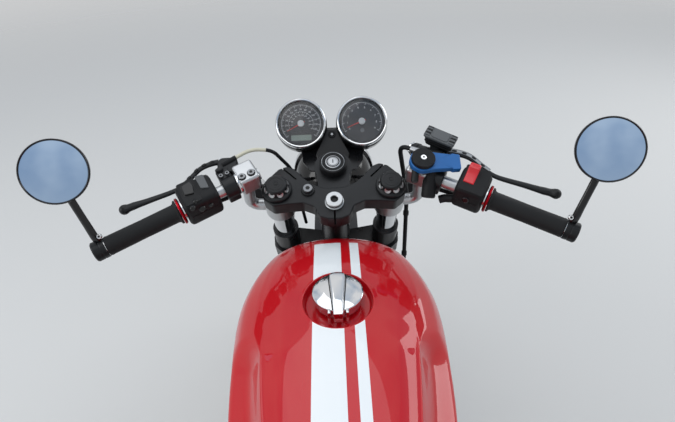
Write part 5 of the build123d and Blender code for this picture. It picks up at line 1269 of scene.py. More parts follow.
@dataclass
class Chain:
    """The drive chain link by link: pairs of waisted plates, rollers and pin heads on the frame's path."""

    pinion: tuple[float, float] = (-45.0, 380.0)
    sprocket: tuple[float, float] = (-656.0, 334.0)
    pitch: float = 15.875
    x: float = -84.0

    def line(self) -> tuple[np.ndarray, np.ndarray]:
        """Gives the pins' places round both wheels and each link's direction."""
        small, large = 17 * self.pitch / (2 * pi), 38 * self.pitch / (2 * pi)
        a, b = np.array(self.pinion), np.array(self.sprocket)
        span = np.linalg.norm(b - a)
        along = (b - a) / span
        up = np.array([-along[1], along[0]])
        lap = np.arcsin((large - small) / span)
        run = np.sqrt(span**2 - (large - small) ** 2)
        lengths = np.cumsum([run, large * (pi + 2 * lap), run, small * (pi - 2 * lap)])
        count = int(round(lengths[-1] / self.pitch))
        s = np.arange(count) * lengths[-1] / count
        turn = np.select([s < lengths[0], s < lengths[1], s < lengths[2]],
                         [pi / 2 + lap + 0 * s, pi / 2 + lap - (s - lengths[0]) / large,
                          -pi / 2 - lap + 0 * s], -pi / 2 - lap - (s - lengths[2]) / small)
        x = np.select([s < lengths[0], s < lengths[1], s < lengths[2]],
                      [small * np.cos(turn) + s * cos(lap), span + large * np.cos(turn),
                       span + large * np.cos(turn) - (s - lengths[1]) * cos(lap)], small * np.cos(turn))
        y = np.select([s < lengths[0], s < lengths[1], s < lengths[2]],
                      [small * np.sin(turn) + s * sin(lap), large * np.sin(turn),
                       large * np.sin(turn) + (s - lengths[1]) * sin(lap)], small * np.sin(turn))
        pins = a + x[:, None] * along + y[:, None] * up
        return pins, np.roll(pins, -1, 0) - pins

    def build(self) -> None:
        """Makes the links."""
        pins, runs = self.line()
        half, tall = self.pitch / 2, 7.2
        t = np.linspace(-pi / 2, pi / 2, 5)
        right = np.stack([half + tall * np.cos(t) * 0.95, tall * np.sin(t)], -1)
        outline = np.concatenate([right, [(0, tall * 0.66)], right[::-1] * (-1, 1), [(0, -tall * 0.66)]])
        outer, inner, rollers = Mesh(), Mesh(), Mesh()
        for k, (pin, run) in enumerate(zip(pins, runs)):
            unit = run / np.linalg.norm(run)
            place = np.array([(0, unit[0], unit[1]), (0, -unit[1], unit[0]), (1, 0, 0),
                              (self.x, *(pin + run / 2))], float)
            reach = (7.2, 8.8) if k % 2 else (5.2, 6.8)
            target = outer if k % 2 else inner
            for side in (-1, 1):
                target.add(placed(prism(outline, side * reach[0], side * reach[1], 0.4), place))
            at = np.array([(0, 1, 0), (0, 0, 1), (1, 0, 0), (self.x, *pin)], float)
            rollers.lathe([(0, -9.2), (2.4, -9.2), (2.4, -5.1), (5, -5.1), (5, 5.1), (2.4, 5.1), (2.4, 9.2),
                           (0, 9.2)], 10, at)
        outer.piece("chain_outer_plates", "chassis", STEEL, ("chain",))
        inner.piece("chain_inner_plates", "chassis", BARREL_ALLOY)
        rollers.piece("chain_rollers", "chassis", STEEL)


@dataclass
class Shocks:
    """Rear shock absorbers: chrome coil springs, damper bodies, rods, collars and eyes."""

    bottom: tuple[float, float] = (-606.0, 368.0)
    top: tuple[float, float] = (-470.0, 704.0)
    x: float = 150.0
    coils: int = 9

    def build(self) -> None:
        """Makes both units."""
        a, b = np.array([self.x, *self.bottom]), np.array([self.x, *self.top])
        length = float(np.linalg.norm(b - a))
        place = basis(a, b - a, up=(1, 0, 0))
        body = Mesh()
        lower = [(0, 6), (12, 6), (12, 24), (21, 27), (22, 30), (22, 36), (26, 37), (27, 39), (27, 43),
                 (26, 45), (19, 46), (19, 190), (17, 193), (6.4, 194), (6.4, length - 40), (0, length - 40)]
        body.lathe(lower, 40, place)
        body.lathe([(0, length - 62), (27, length - 62), (29, length - 60), (29, length - 40),
                    (26, length - 34), (16, length - 28), (12, length - 20), (12, length - 6),
                    (0, length - 6)], 40, place)
        for k in range(4):
            z = 60 + 8 * k
            body.lathe([(18, z), (20.6, z + 0.8), (20.6, z + 3.4), (18, z + 4.2), (18, z)], 40, place)
        body.both().piece("shock_bodies", "chassis", BLACK_ALLOY, ("shock_absorbers",))
        turns = np.linspace(0, 2 * pi * self.coils, self.coils * 28)
        start, stop = 49.0, length - 65.0
        height = np.interp(np.linspace(0, 1, len(turns)), [0, 0.09, 0.91, 1],
                           [start, start + 10, stop - 10, stop])
        coil = np.stack([23.2 * np.cos(turns), 23.2 * np.sin(turns), height], -1)
        Mesh().add(tube(placed(coil, place), 3.9, 12, up=b - a)).both().piece("shock_springs", "chassis",
                                                                              CHROME)
        eyes, bushes = Mesh(), Mesh()
        for end in (0.0, length):
            at = basis(a + (b - a) / length * end, (1, 0, 0))
            eyes.lathe([(9.5, -13), (14, -13), (15, -12), (15, 12), (14, 13), (9.5, 13), (9.5, -13)], 36, at)
            bushes.lathe([(0, 12), (9.4, 12), (9.4, 15), (13, 15.4), (13, 17.4), (8.4, 18), (0, 18)], 36, at)
            bushes.lathe([(0, 17.5), (8, 17.5), (8, 23), (7, 24), (0, 24)], 6, at)
        eyes.both().piece("shock_eyes", "chassis", BLACK_ALLOY)
        bushes.both().piece("shock_nuts", "chassis", STEEL)


# Engine and lamps


@dataclass
class Engine:
    """The engine's screws, caps, fin edges and plug leads, over the frame's own castings.

    The first four fields are the (y, z) centres of the round covers on the two sides.
    """

    right_rear: tuple[float, float] = (78, 338)
    right_front: tuple[float, float] = (206, 338)
    left_rear: tuple[float, float] = (-30, 378)
    left_front: tuple[float, float] = (186, 334)
    case_x: float = 122

    def build(self) -> None:
        """Makes the details."""
        bolts, sockets, bosses = Mesh(), Mesh(), Mesh()
        boss = [(7.6, -14), (7.6, 11), (6.8, 12), (0, 12)]
        right = (self.right_rear, self.right_front)
        left = (self.left_front, self.left_rear)
        for side, (y, z), radius, other, base, count in ((1, right[0], 88, (*right[1], 66), self.case_x, 11),
                                                         (1, right[1], 64, (*right[0], 90), self.case_x, 9),
                                                         (-1, left[0], 80, (*left[1], 60), self.case_x, 11),
                                                         (-1, left[1], 61, (*left[0], 80), 118, 7),):
            for a in np.arange(count) * 2 * pi / count + 0.25:
                v, w = y + radius * cos(a), z + radius * sin(a)
                joined = abs(w - 335) < 54 and (67 < v < 217 if side > 0 else 26 < v < 166)
                if np.hypot(v - other[0], w - other[1]) > other[2] + 6 and not joined:
                    place = basis((side * base, v, w), (side, 0, 0))
                    bosses.lathe(boss, 20, place)
                    socket_bolt(bolts, sockets, basis((side * (base + 12), v, w), (side, 0, 0)), 4.8, 5.0)
        bosses.piece("cover_bosses", "chassis", POLISHED_ALLOY)
        for sx in (-1, 1):
            for y in (104, 196):
                socket_bolt(bolts, sockets, basis((sx * 84, y, 667), (0, 0, 1)), 6.0, 6.5)
        bolts.piece("engine_screws", "chassis", STEEL)
        sockets.piece("engine_screw_sockets", "chassis", BLACK_AND_RECESS_SHADE)
        self.caps()
        self.edges()
        self.leads()

    def caps(self) -> None:
        """Makes the oil filler, the sight glass, the clutch's inner ring and the seams of the covers."""
        filler = basis((184, 128, 402), (0.9, 0, 0.43))
        knob = [(0, -30), (15, -30), (15, -4), (17, -2), (17, 6), (15.6, 8), (5, 9), (5, 14), (0, 14)]
        Mesh().lathe(knob, 12, filler).piece("oil_filler", "chassis", BLACK_ALLOY, sharp=30)
        ring = [(46, 0), (57, 0), (58, 1), (57.4, 2.4), (48, 3.0), (46, 2), (46, 0)]
        covers = Mesh().lathe(ring, 72, basis((187.8, *self.right_rear), (1, 0, 0)))
        covers.lathe([(24, 0), (34, 0), (35, 1), (34, 2.2), (25, 2.6), (24, 0)], 64,
                     basis((-179.8, *self.left_front), (-1, 0, 0)))
        covers.piece("cover_rings", "chassis", CHROME)
        glass = [(0, 0), (11, 0), (11, 3), (9, 3.6), (8.6, 2.2), (0, 2.6)]
        Mesh().lathe(glass, 40, basis((153.6, 150, 290), (1, 0, 0))).piece("oil_window", "chassis", STEEL)

    def edges(self) -> None:
        """Makes the machined bright edges along the barrels' and the head's fins."""
        rims = Mesh()
        for bottom, count, half_x, half_y in ((432, 10, 136, 76), (547, 6, 132, 80)):
            turn = np.linspace(0, pi / 2, 7)
            corner = 16.0 * np.stack([np.cos(turn), np.sin(turn)], -1) + (half_x - 16.0, half_y - 16.0)
            quarter = np.concatenate([corner, corner[::-1] * (-1, 1)])
            ring = np.concatenate([quarter, -quarter])
            for k in range(count):
                z = bottom + (k + 0.5) * 11.5
                rows = []
                for grow, dz in ((-1.2, -1.85), (0.1, -1.7), (0.1, 1.7), (-1.2, 1.85)):
                    flat = ring * (1 + grow / np.linalg.norm(ring, axis=1, keepdims=True))
                    rows.append(np.column_stack([flat[:, 0], 150 + flat[:, 1], np.full(len(ring), z + dz)]))
                rims.add(np.array(rows), loop=True)
        rims.piece("fin_edges", "chassis", POLISHED_ALLOY, sharp=50)

    def leads(self) -> None:
        """Makes both plug caps and their leads up to the coils under the tank."""
        caps, leads = Mesh(), Mesh()
        for side in (-1, 1):
            plug = basis((side * 64, 226, 612), (side * 0.1, 0.72, 0.69))
            caps.lathe([(0, -14), (9, -14), (10, -12), (10, 16), (8, 22), (5, 24), (0, 24)], 28, plug)
            line = np.array([(side * 66, 242, 627), (side * 66, 262, 652), (side * 58, 262, 684),
                             (side * 40, 236, 706)], float)
            leads.add(tube(through(line, 24), 3.6, 12))
        caps.piece("plug_caps", "chassis", GRIP_RUBBER)
        leads.piece("plug_leads", "chassis", NYLON)


@dataclass
class Lamps:
    """The headlamp's shell, reflector, bulb, lens and rim, the indicators and the tail lamp."""

    head: tuple[float, float] = (691.53, 828.36)
    front: tuple[float, float, float] = (172.3, 611.53, 828.36)
    rear: tuple[float, float, float] = (134.0, -729.0, 719.0)
    tail_at: tuple[float, float, float] = (0.0, -746.0, 719.0)

    def build(self) -> None:
        """Makes them: the reflector is the bowl z = -66 + 58 (r / 81)^2, the lens a shell 3 mm thick."""
        y, z = self.head
        place = basis((0, y, z), (0, 1, 0))
        t = np.radians(np.linspace(0, 96.3, 26))
        shell = [(r, h) for r, h in zip(86.52 * np.sin(t), -31.48 - 86.52 * np.cos(t))]
        shell += [(90, -20), (90, -4), (84, -3), (84, -14), (40, -60), (0, -72)]
        Mesh().lathe(shell, 96, place).piece("headlamp_shell", "steering", GLOSS_BLACK, ("headlamp",))
        rim = [(80.6, -2), (81.4, 1.6), (84, 3.4), (87.4, 3), (90.8, 0.4), (92.2, -4), (92.2, -16),
               (91.2, -18), (90.2, -18), (90.2, -5), (80.6, -4), (80.6, -2)]
        Mesh().lathe(rim, 96, place).piece("headlamp_rim", "steering", CHROME)
        r = np.linspace(9, 82, 24)
        bowl = [(9, -69), *zip(r, -66 + 58 * (r / 81) ** 2), (83, -7), (83, -9)]
        Mesh().lathe(bowl, 96, place).piece("headlamp_reflector", "steering", CHROME)
        bulb = [(0, -70), (8.8, -70), (9, -60), (6.5, -56), (6.5, -34), (5, -30), (0, -28.6)]
        Mesh().lathe(bulb, 32, place).piece("headlamp_bulb", "steering", HUB_WHITE)
        shade = [(0, -24), (7.4, -24.6), (8.2, -27), (8.2, -38), (7.8, -38), (7.8, -27), (0, -25)]
        Mesh().lathe(shade, 32, place).piece("bulb_shade", "steering", CHROME)
        r = np.linspace(0, 81.5, 20)
        dome = -299.9 + np.sqrt(308.9**2 - r**2)
        glass = Mesh().lathe([*zip(r, dome), *zip(r[::-1], dome[::-1] - 3)], 96, place)
        for x in np.arange(-72.0, 73.0, 9.0):
            v = np.linspace(-1, 1, 14) * np.sqrt(77.0**2 - x**2)
            line = np.stack([np.full(14, x), v, -303.4 + np.sqrt(308.9**2 - x**2 - v**2)], -1)
            glass.add(placed(tube(line, 1.0, 6, up=(1, 0, 0)), place))
        glass.piece("headlamp_glass", "steering", CLEAR, ("headlamp_lens",))
        screw = turned([(0, -2), (3.4, -2), (3.4, 1), (2.6, 1.6), (0, 1.8)], 20)
        Mesh().add(placed(screw, basis((0, y - 9, z - 92), (0, 0, -1)))).piece("headlamp_screw", "steering",
                                                                               STEEL)
        self.indicators()
        self.tail()

    def indicators(self) -> None:
        """Makes the indicators: ringed amber lenses in chromed shells on ribbed stalks."""
        lens = [(0, 8), (18.6, 8), (19.2, 20.4), (18.4, 21.6), (15, 23), (12, 22.4), (9, 23.6), (6, 23),
                (3, 24), (0, 23.8)]
        shell = [(0, -22), (7, -21.6), (13, -18.4), (17.6, -12.4), (20, -4), (20.6, 6), (20.6, 20.4),
                 (20, 21.4), (19.4, 20.4), (19.4, 8.4), (0, 8.4)]
        boot = [(7.6, 0), (9.6, 0), (10, 2), (8.2, 5), (9.4, 7), (8, 10), (9, 12), (7.4, 16), (6.2, 17),
                (6.2, 0), (7.6, 0)]
        for name, body, spot, faces in (("front", "steering", self.front, 1),
                                        ("rear", "chassis", self.rear, -1)):
            place = basis(spot, (0, faces, 0))
            pieces = Mesh().lathe(lens, 56, place)
            pieces.both().piece(f"{name}_amber_lenses", body, AMBER)
            Mesh().lathe(shell, 56, place).both().piece(f"{name}_indicator_shells", body, CHROME)
            inner = basis((spot[0] - 19.0, spot[1], spot[2]), (-1, 0, 0))
            Mesh().lathe(boot, 32, inner).both().piece(f"{name}_indicator_boots", body, GRIP_RUBBER)

    def tail(self) -> None:
        """Makes the tail lamp's bezel and its ribbed red lens."""
        place = basis(self.tail_at, (0, -1, 0))
        bezel = [(34, -2), (39, -2), (40, 0), (40, 10), (38.6, 12.4), (36, 13), (35, 11.6), (35, 0), (34, -2)]
        Mesh().lathe(bezel, 72, place).piece("tail_lamp_bezel", "chassis", CHROME)
        lens = [(0, 0), (35, 0), (35, 11), (33, 13.6), (29, 13), (25, 14.8), (21, 14), (17, 15.6), (13, 14.8),
                (9, 16.2), (5, 15.6), (0, 16.4)]
        Mesh().lathe(lens, 72, place).piece("tail_lamp_lens", "chassis", RED_PLASTIC)


@dataclass
class Wheels:
    """Nipples, valves and brake disc bolts of both spoked wheels."""

    spokes: int = 36

    def build(self) -> None:
        """Makes them on each wheel's own body."""
        for name, centre, half, flange, disc, bolt_r in (
            ("front", FRONT_AXLE, 31.5, 47.0, (56.3,), (34.0,)),
            ("rear", REAR_AXLE, 44.5, 62.0, (86.3, -87.3), (34.0, 36.0)),
        ):
            body = f"{name}_wheel"
            self.nipples(name, body, centre, half, flange)
            bolts, sockets = Mesh(), Mesh()
            for x, reach in zip(disc, bolt_r):
                for a in np.arange(5) * 2 * pi / 5:
                    spot = centre + (x, reach * cos(a), reach * sin(a))
                    socket_bolt(bolts, sockets, basis(spot, (np.sign(x), 0, 0)), 5.2, 4.2)
            bolts.piece(f"{name}_disc_bolts", body, STEEL)
            sockets.piece(f"{name}_disc_sockets", body, BLACK_AND_RECESS_SHADE)
            LOG.info("%s wheel dressed", name)

    def nipples(self, name: str, body: str, centre: np.ndarray, half: float, flange: float) -> None:
        """Makes the spokes' nipples, on the frame's own spoke lines, and the valve."""
        well = (half - 3) * 0.5
        mesh = Mesh()
        for k in range(self.spokes):
            side = 1 if k % 2 else -1
            lean = 48.0 if k % 4 < 2 else -48.0
            rim = radians(SPIN[name] + 360.0 * k / self.spokes)
            hub = rim - radians(lean)
            depth = 36.0 - 6.0 * (0.35 if k % 4 < 2 else 0.65)
            foot = np.array([side * depth, (flange - 6) * cos(hub), (flange - 6) * sin(hub)])
            tip = np.array([side * well * 0.4, 216.0 * cos(rim), 216.0 * sin(rim)])
            run = (foot - tip) / np.linalg.norm(foot - tip)
            shape = [(0, 0), (4.4, 0), (4.4, 4), (3.4, 5), (3.2, 16), (2.4, 17), (0, 17)]
            mesh.lathe(shape, 8, basis(centre + tip, run))
            bend = [(0, -1), (3.6, -1), (3.6, 1), (2.6, 2), (0, 2)]
            mesh.lathe(bend, 10, basis(centre + foot + (side * 3.6, 0, 0), (side, 0, 0)))
        mesh.piece(f"{name}_spoke_nipples", body, STEEL)
        valve = [(0, -4), (6, -4), (6, 2), (4, 4), (4, 26), (4.6, 26), (4.6, 34), (3.6, 35), (0, 35)]
        angle = radians(SPIN[name] + 5.0)
        out = np.array([0.0, cos(angle), sin(angle)])
        Mesh().lathe(valve, 16, basis(centre + 214 * out, -out)).piece(f"{name}_valve", body, NYLON)


@dataclass
class ForkLegs:
    """Dust seals, pinch bolts and drain screws of the fork's lower legs, in the fork's axle place."""

    def build(self) -> None:
        """Makes them on both sides."""
        seals, rings, bolts, sockets = Mesh(), Mesh(), Mesh(), Mesh()
        top = fork(np.array([105.0, 0.0, 335.0 - 668.0]))
        place = np.array([(1, 0, 0), FORK_FORWARD, FORK_UP, top])
        seals.lathe([(20.6, -1), (29, -1), (29.6, 1), (29.6, 5), (28, 7), (25, 8), (23.4, 12), (21.6, 13),
                     (20.7, 12), (20.6, -1)], 48, place)
        seals.both().piece("fork_dust_seals", "steering", GRIP_RUBBER)
        rings.lathe([(28, -24), (32, -24), (32.4, -22), (32.4, -20), (31.8, -19), (28, -19), (28, -24)], 48,
                    place)
        rings.both().piece("fork_collars", "steering", CHROME)
        axle = np.array([105.0, 0.0, -668.0])
        for along, up in ((-24.0, -14.0), (-24.0, 14.0)):
            spot = fork(axle + (0.0, 6.0 + along, up))
            socket_bolt(bolts, sockets, basis(spot, -FORK_FORWARD), 5.0, 5.0)
        socket_bolt(bolts, sockets, basis(fork(axle + (27.0, 0.0, 60.0)), (1, 0, 0)), 4.6, 3.0)
        bolts.both().piece("fork_leg_bolts", "steering", STEEL)
        sockets.both().piece("fork_leg_sockets", "steering", BLACK_AND_RECESS_SHADE)


@dataclass
class Exhaust:
    """Port flange nuts and the bands that hold the silencers."""

    port: tuple[float, float, float] = (72.0, 238.3, 588.0)

    def build(self) -> None:
        """Makes them on both sides."""
        nuts, bands = Mesh(), Mesh()
        x, y, z = self.port
        flange = rounded_outline([(x - 38, z - 12), (x, z - 31), (x + 38, z - 12), (x + 38, z + 12),
                                  (x, z + 31), (x - 38, z + 12)], 9)
        plate = prism(flange, 0, 7, 1.0)
        grid = np.stack([plate[..., 0], y + 3.0 + plate[..., 2], plate[..., 1]], -1)
        nuts.add(grid)
        for side in (-1, 1):
            place = basis((x + side * 30, y + 9.5, z), (0, 1, 0))
            nuts.lathe([(0, 0), (6.6, 0), (6.6, 6), (5.6, 7), (0, 7)], 6, place)
            nuts.lathe([(0, 0), (3, 0), (3, 11), (2.4, 12), (0, 12)], 14, place)
        nuts.both().piece("exhaust_flanges", "chassis", STEEL, sharp=25)
        start, axis = np.array([182.0, -70.0, 226.0]), np.array([6.0, -620.0, 58.0])
        place = basis(start, axis)
        bands.lathe([(20, 2), (26.6, 2), (27.4, 3), (27.4, 17), (26.6, 18), (20, 18), (20, 2)], 48, place)
        bands.lathe([(0, 0), (3.2, 0), (3.2, 26), (0, 26)], 14,
                    basis(placed(np.array([0.0, 31.0, 10.0]), place) - (13, 0, 0), (1, 0, 0)))
        for shift in (-5, 5):
            bands.add(placed(block((2.4, 14, 14), 0.8), basis(placed(np.array([0.0, 29.0, 10.0]),
                                                                     place) + (shift, 0, 0), (0, 0, 1))))
        bands.both().piece("silencer_bands", "chassis", CHROME)


@dataclass
class Fasteners:
    """Axle and pivot nuts, and the rubbers of the foot rests."""

    def build(self) -> None:
        """Makes them."""
        self.heads("chassis", (((130.2, *SWINGARM_PIVOT), 15, 9), ((136.2, *REAR_AXLE[1:]), 16, 13)))
        self.heads("steering", (((124.1, *FRONT_AXLE[1:]), 13, 10),))
        self.pegs()
        self.panels()

    def panels(self) -> None:
        """Makes the side panels' screws and raised lines, and the chain adjusters at the arm's ends."""
        bolts, sockets, lines = Mesh(), Mesh(), Mesh()
        for y, z in ((-44, 700), (-208, 700), (-112, 572)):
            cup = [(0, -1), (9, -1), (9, 0.8), (8, 1.4), (0, 1.4)]
            lines.lathe(cup, 28, basis((136.4, y, z), (1, 0, 0)))
            socket_bolt(bolts, sockets, basis((137.4, y, z), (1, 0, 0)), 5.0, 3.0)
        corners = [(-28, 692), (-52, 600), (-94, 566), (-162, 575), (-242, 688), (-196, 710), (-46, 710)]
        ring = rounded_outline(corners, 12)
        ring = np.concatenate([ring, ring[:1]])
        line = np.column_stack([np.full(len(ring), 136.3), ring])
        lines.add(tube(line, 1.3, 8, up=(1, 0, 0)))
        lines.both().piece("panel_beads", "chassis", PLAIN_ENAMEL)
        along = np.array([0.0, -0.9955, -0.0944])
        place = basis((123, -701.6, 329.6), along, up=(1, 0, 0))
        block_plate = block((24, 38, 5), 1.2)
        adjusters = Mesh().add(placed(block_plate, place))
        adjusters.lathe([(0, 2), (8.4, 2), (8.4, 8), (7.4, 9), (0, 9)], 6, place)
        adjusters.lathe([(0, 8), (4, 8), (4, 19), (3.4, 20), (0, 20)], 16, place)
        adjusters.both().piece("chain_adjusters", "chassis", STEEL)
        bolts.both().piece("panel_bolts", "chassis", STEEL)
        sockets.both().piece("panel_sockets", "chassis", BLACK_AND_RECESS_SHADE)

    def heads(self, body: str, rows: tuple) -> None:
        """Makes six-sided heads with washers on both sides."""
        mesh = Mesh()
        for spot, radius, tall in rows:
            place = basis(np.array(spot, float), (1, 0, 0))
            mesh.lathe([(0, 0), (radius + 3, 0), (radius + 3, 2), (0, 2)], 36, place)
            mesh.lathe([(0, 1.9), (radius, 1.9), (radius, tall - 1.5), (radius - 1.5, tall), (0, tall)], 6,
                       place)
        mesh.both().piece(f"{body}_axle_nuts", body, STEEL, sharp=25)

    def pegs(self) -> None:
        """Makes ribbed rubbers on the rests and the pedals."""
        rubber = Mesh()
        profile = [(0, 0), (11.2, 0), (14.5, 1)]
        for k in range(12):
            z = 2 + 6.6 * k
            profile += [(14.5, z), (14.5, z + 4.2), (13, z + 4.8), (13, z + 6.2)]
        profile += [(14.5, 82), (13, 84), (0, 84)]
        rubber.lathe(profile, 28, basis((148, -200, 352), (1, 0, 0)))
        small = [(0, 0), (8.4, 0), (10.4, 1)]
        for k in range(7):
            small += [(10.4, 2 + 6 * k), (10.4, 5.6 + 6 * k), (9.4, 6.2 + 6 * k), (9.4, 7.4 + 6 * k)]
        small += [(10.4, 46), (9.4, 47.4), (0, 47.4)]
        rubber.lathe(small, 24, basis((164, -102, 332), (1, 0, 0)))
        rubber.both().piece("rest_rubbers", "chassis", GRIP_RUBBER, sharp=30)


# Instruments


@dataclass
class Gauges:
    """The two instruments: cards with printed scales, needles, hubs, a display and domed glasses."""

    half: float = 60.0
    ahead: float = 121.0
    above: float = 76.0
    tilt: float = 41.0
    radius: float = 42.0

    def place(self, side: int) -> np.ndarray:
        """The face's place: x to the right, y up the dial, z out of the glass."""
        tilt = radians(self.tilt)
        z = np.array([0.0, -cos(tilt), sin(tilt)])
        x = np.array([1.0, 0.0, 0.0])
        origin = FORK_TOP + np.array([side * self.half, self.ahead, self.above])
        return np.array([x, np.cross(z, x), z, origin])

    def strokes(self, place: np.ndarray, turns: np.ndarray, start: float, stop: float, width: float) -> Mesh:
        """Makes scale marks: thin bars along the radius at each turn, measured clockwise from the bottom."""
        mesh = Mesh()
        for turn in turns:
            a = -pi / 2 - turn
            out, side = np.array([cos(a), sin(a)]), np.array([-sin(a), cos(a)]) * width / 2
            corners = [out * start + side, out * start - side, out * stop - side, out * stop + side]
            mesh.add(placed(prism(corners, -3.4, -3.15, 0.02), place))
        return mesh

    def arc(self, place: np.ndarray, radius: float, first: float, last: float, width: float) -> np.ndarray:
        """Makes a thin printed arc between two turns."""
        a = -pi / 2 - np.linspace(first, last, 60)
        line = np.stack([radius * np.cos(a), radius * np.sin(a), np.full(60, -3.3)], -1)
        return placed(tube(line, width / 2, 6, 0.4), place)

    def numbers(self, place: np.ndarray, texts: list[str], turns: np.ndarray, radius: float, size: float,
                name: str) -> None:
        """Prints plain scale numbers, each upright at its turn."""
        points, quads, count = [], [], 0
        for text, turn in zip(texts, turns):
            a = -pi / 2 - turn
            curve = bpy.data.curves.new(name, "FONT")
            curve.body = text
            curve.align_x = "CENTER"
            curve.align_y = "CENTER"
            curve.size = size
            curve.resolution_u = 2
            holder = bpy.data.objects.new(name, curve)
            flat = bpy.data.meshes.new_from_object(holder)
            xyz = np.empty(len(flat.vertices) * 3)
            flat.vertices.foreach_get("co", xyz)
            shift = (radius * cos(a), radius * sin(a), -3.2)
            points.append(placed(xyz.reshape(-1, 3) + shift, place))
            quads += [[v + count for v in face.vertices] for face in flat.polygons]
            count += len(flat.vertices)
            bpy.data.objects.remove(holder)
            bpy.data.meshes.remove(flat)
        data = bpy.data.meshes.new(name)
        data.from_pydata((np.concatenate(points) * MM).tolist(), [], quads)
        obj = bpy.data.objects.new(name, data)
        bpy.context.scene.collection.objects.link(obj)
        data.materials.append(DIAL_INK.material())
        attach(obj, "steering")

    def bridge(self) -> None:
        """Makes the bracket's black plate between the cups, its rubber bush and its bolt."""
        place = self.place(0)
        plate = rounded_outline([(-12, -8), (12, -8), (20, -30), (34, -58), (26, -92), (-26, -92), (-34, -58),
                                 (-20, -30)], 5)
        Mesh().add(placed(prism(plate, -26, -18, 1.4), place)).piece("gauge_bridge", "steering", POWDER,
                                                                     bevel=0.6)
        bush = [(0, -18.5), (7.4, -18.5), (7.4, -16.4), (6.6, -15.6), (3.4, -15.6), (3.2, -16.4), (0, -16.4)]
        Mesh().add(placed(turned(bush, 32), place) + 0 * place[3] + (-20 * place[1])).piece(
            "gauge_bush", "steering", GRIP_RUBBER)
        bolt = turned([(0, -16.6), (3.0, -16.6), (3.0, -15.0), (2.4, -14.6), (0, -14.6)], 6)
        Mesh().add(placed(bolt, place) - 20 * place[1]).piece("gauge_bolt", "steering", STEEL)

    def needle(self, place: np.ndarray, turn: float, name: str) -> None:
        """Makes the tapered needle."""
        a = -pi / 2 - turn
        out, side = np.array([cos(a), sin(a)]), np.array([-sin(a), cos(a)])
        corners = [-8 * out + 1.3 * side, -8 * out - 1.3 * side, 31 * out - 0.4 * side, 31 * out + 0.4 * side]
        Mesh().add(placed(prism(corners, -1.6, -0.8, 0.1), place)).piece(name, "steering", NEEDLE_RED)

    def build(self) -> None:
        """Makes both instruments."""
        for side, name in ((-1, "speed"), (1, "revs")):
            place = self.place(side)
            card = turned([(0, -3.9), (self.radius, -3.9), (self.radius, -3.45), (0, -3.45)], 72)
            Mesh().add(placed(card, place)).piece(f"{name}_card", "steering", DIAL)
            hub = turned([(0, -3.4), (6.6, -3.4), (6.6, 0.2), (5.8, 1.0), (0, 1.1)], 32)
            Mesh().add(placed(hub, place)).piece(f"{name}_hub", "steering", HUB_WHITE)
            glass = turned([(0, 1.3), (43.6, 1.1), (43.8, 1.7), (30, 2.5), (16, 3.0), (0, 3.2)], 64)
            Mesh().add(placed(glass, place)).piece(f"{name}_glass", "steering", CLEAR)
            bezel = [(44.4, 2.2), (44.6, 3.4), (45.6, 4.6), (47.2, 5.0), (48.8, 4.2), (50, 2.2), (50.2, -0.6),
                     (50, -7.6), (49.4, -8.6), (47.3, -8.8), (47.3, 2.0), (44.4, 2.2)]
            Mesh().lathe(bezel, 96, place).piece(f"{name}_bezel", "steering", CHROME,
                                                 ("gauge_bezels",) if side < 0 else ())
            wall = [(self.radius - 0.6, -3.8), (self.radius - 0.4, -3.2), (44.2, 2.0), (47.2, 1.9),
                    (47.2, -3.8), (self.radius - 0.6, -3.8)]
            Mesh().lathe(wall, 96, place).piece(f"{name}_inner_wall", "steering", BLACK_AND_RECESS_SHADE)
            cup = [(0, -8), (49.4, -8), (50.8, -10), (51.2, -14), (50.6, -32), (48, -40), (42, -49),
                   (38, -52.4), (0, -52.4)]
            Mesh().lathe(cup, 96, place).piece(f"{name}_cup", "steering", GLOSS_BLACK,
                                               ("gauges",) if side < 0 else ())
            needle_turn = radians(62 if side < 0 else 68)
            self.needle(place, needle_turn, f"{name}_needle")
        self.bridge()
        left, right = self.place(-1), self.place(1)
        sweep = np.radians(np.linspace(48, 312, 15))
        fine = np.radians(np.linspace(48, 312, 71))
        marks = self.strokes(left, sweep, 33.5, 38.5, 0.7)
        fine_marks = self.strokes(left, fine, 36, 38.5, 0.35)
        inner = self.strokes(left, np.radians(np.linspace(62, 298, 12)), 21.5, 24, 0.6)
        marks.points += [p for m in (fine_marks, inner) for p in m.points]
        offset = marks.count
        for m in (fine_marks, inner):
            marks.quads += [q + offset for q in m.quads]
            offset += m.count
        marks.count = offset
        marks.add(self.arc(left, 38.5, radians(48), radians(312), 0.5))
        marks.add(self.arc(left, 24.2, radians(62), radians(298), 0.4))
        marks.piece("speed_scale", "steering", DIAL_INK)
        self.numbers(left, [str(10 * k) for k in range(1, 14)], sweep[1:-1], 29.0, 5.0, "speed_numbers")
        self.numbers(left, [str(20 * k) for k in range(1, 11)], np.radians(np.linspace(83, 277, 10)), 17.6,
                     3.7, "speed_inner_numbers")
        turns = np.radians(np.linspace(60, 300, 10))
        rev = self.strokes(right, turns, 34, 38.5, 0.8)
        rev.add(self.arc(right, 38.5, radians(60), radians(300), 0.5))
        rev.piece("revs_scale", "steering", DIAL_INK)
        rev_fine = self.strokes(right, np.radians(np.linspace(60, 300, 46)), 36.4, 38.5, 0.35)
        rev_fine.piece("revs_fine_scale", "steering", DIAL_INK)
        self.numbers(right, [str(k) for k in range(10)], turns, 28.6, 6.0, "revs_numbers")
        window = rounded_outline([(-20, -33.6), (20, -33.6), (20, -22.4), (-20, -22.4)], 1.5)
        Mesh().add(placed(prism(window, -3.5, -2.9, 0.3), left)).piece("speed_display", "steering", LCD)
        dot = turned([(0, -3.4), (4.4, -3.4), (4.4, -2.9), (3.6, -2.7), (3.4, -3.0), (0, -3.0)], 24) + (0,
                                                                                                        -17.5,
                                                                                                        0)
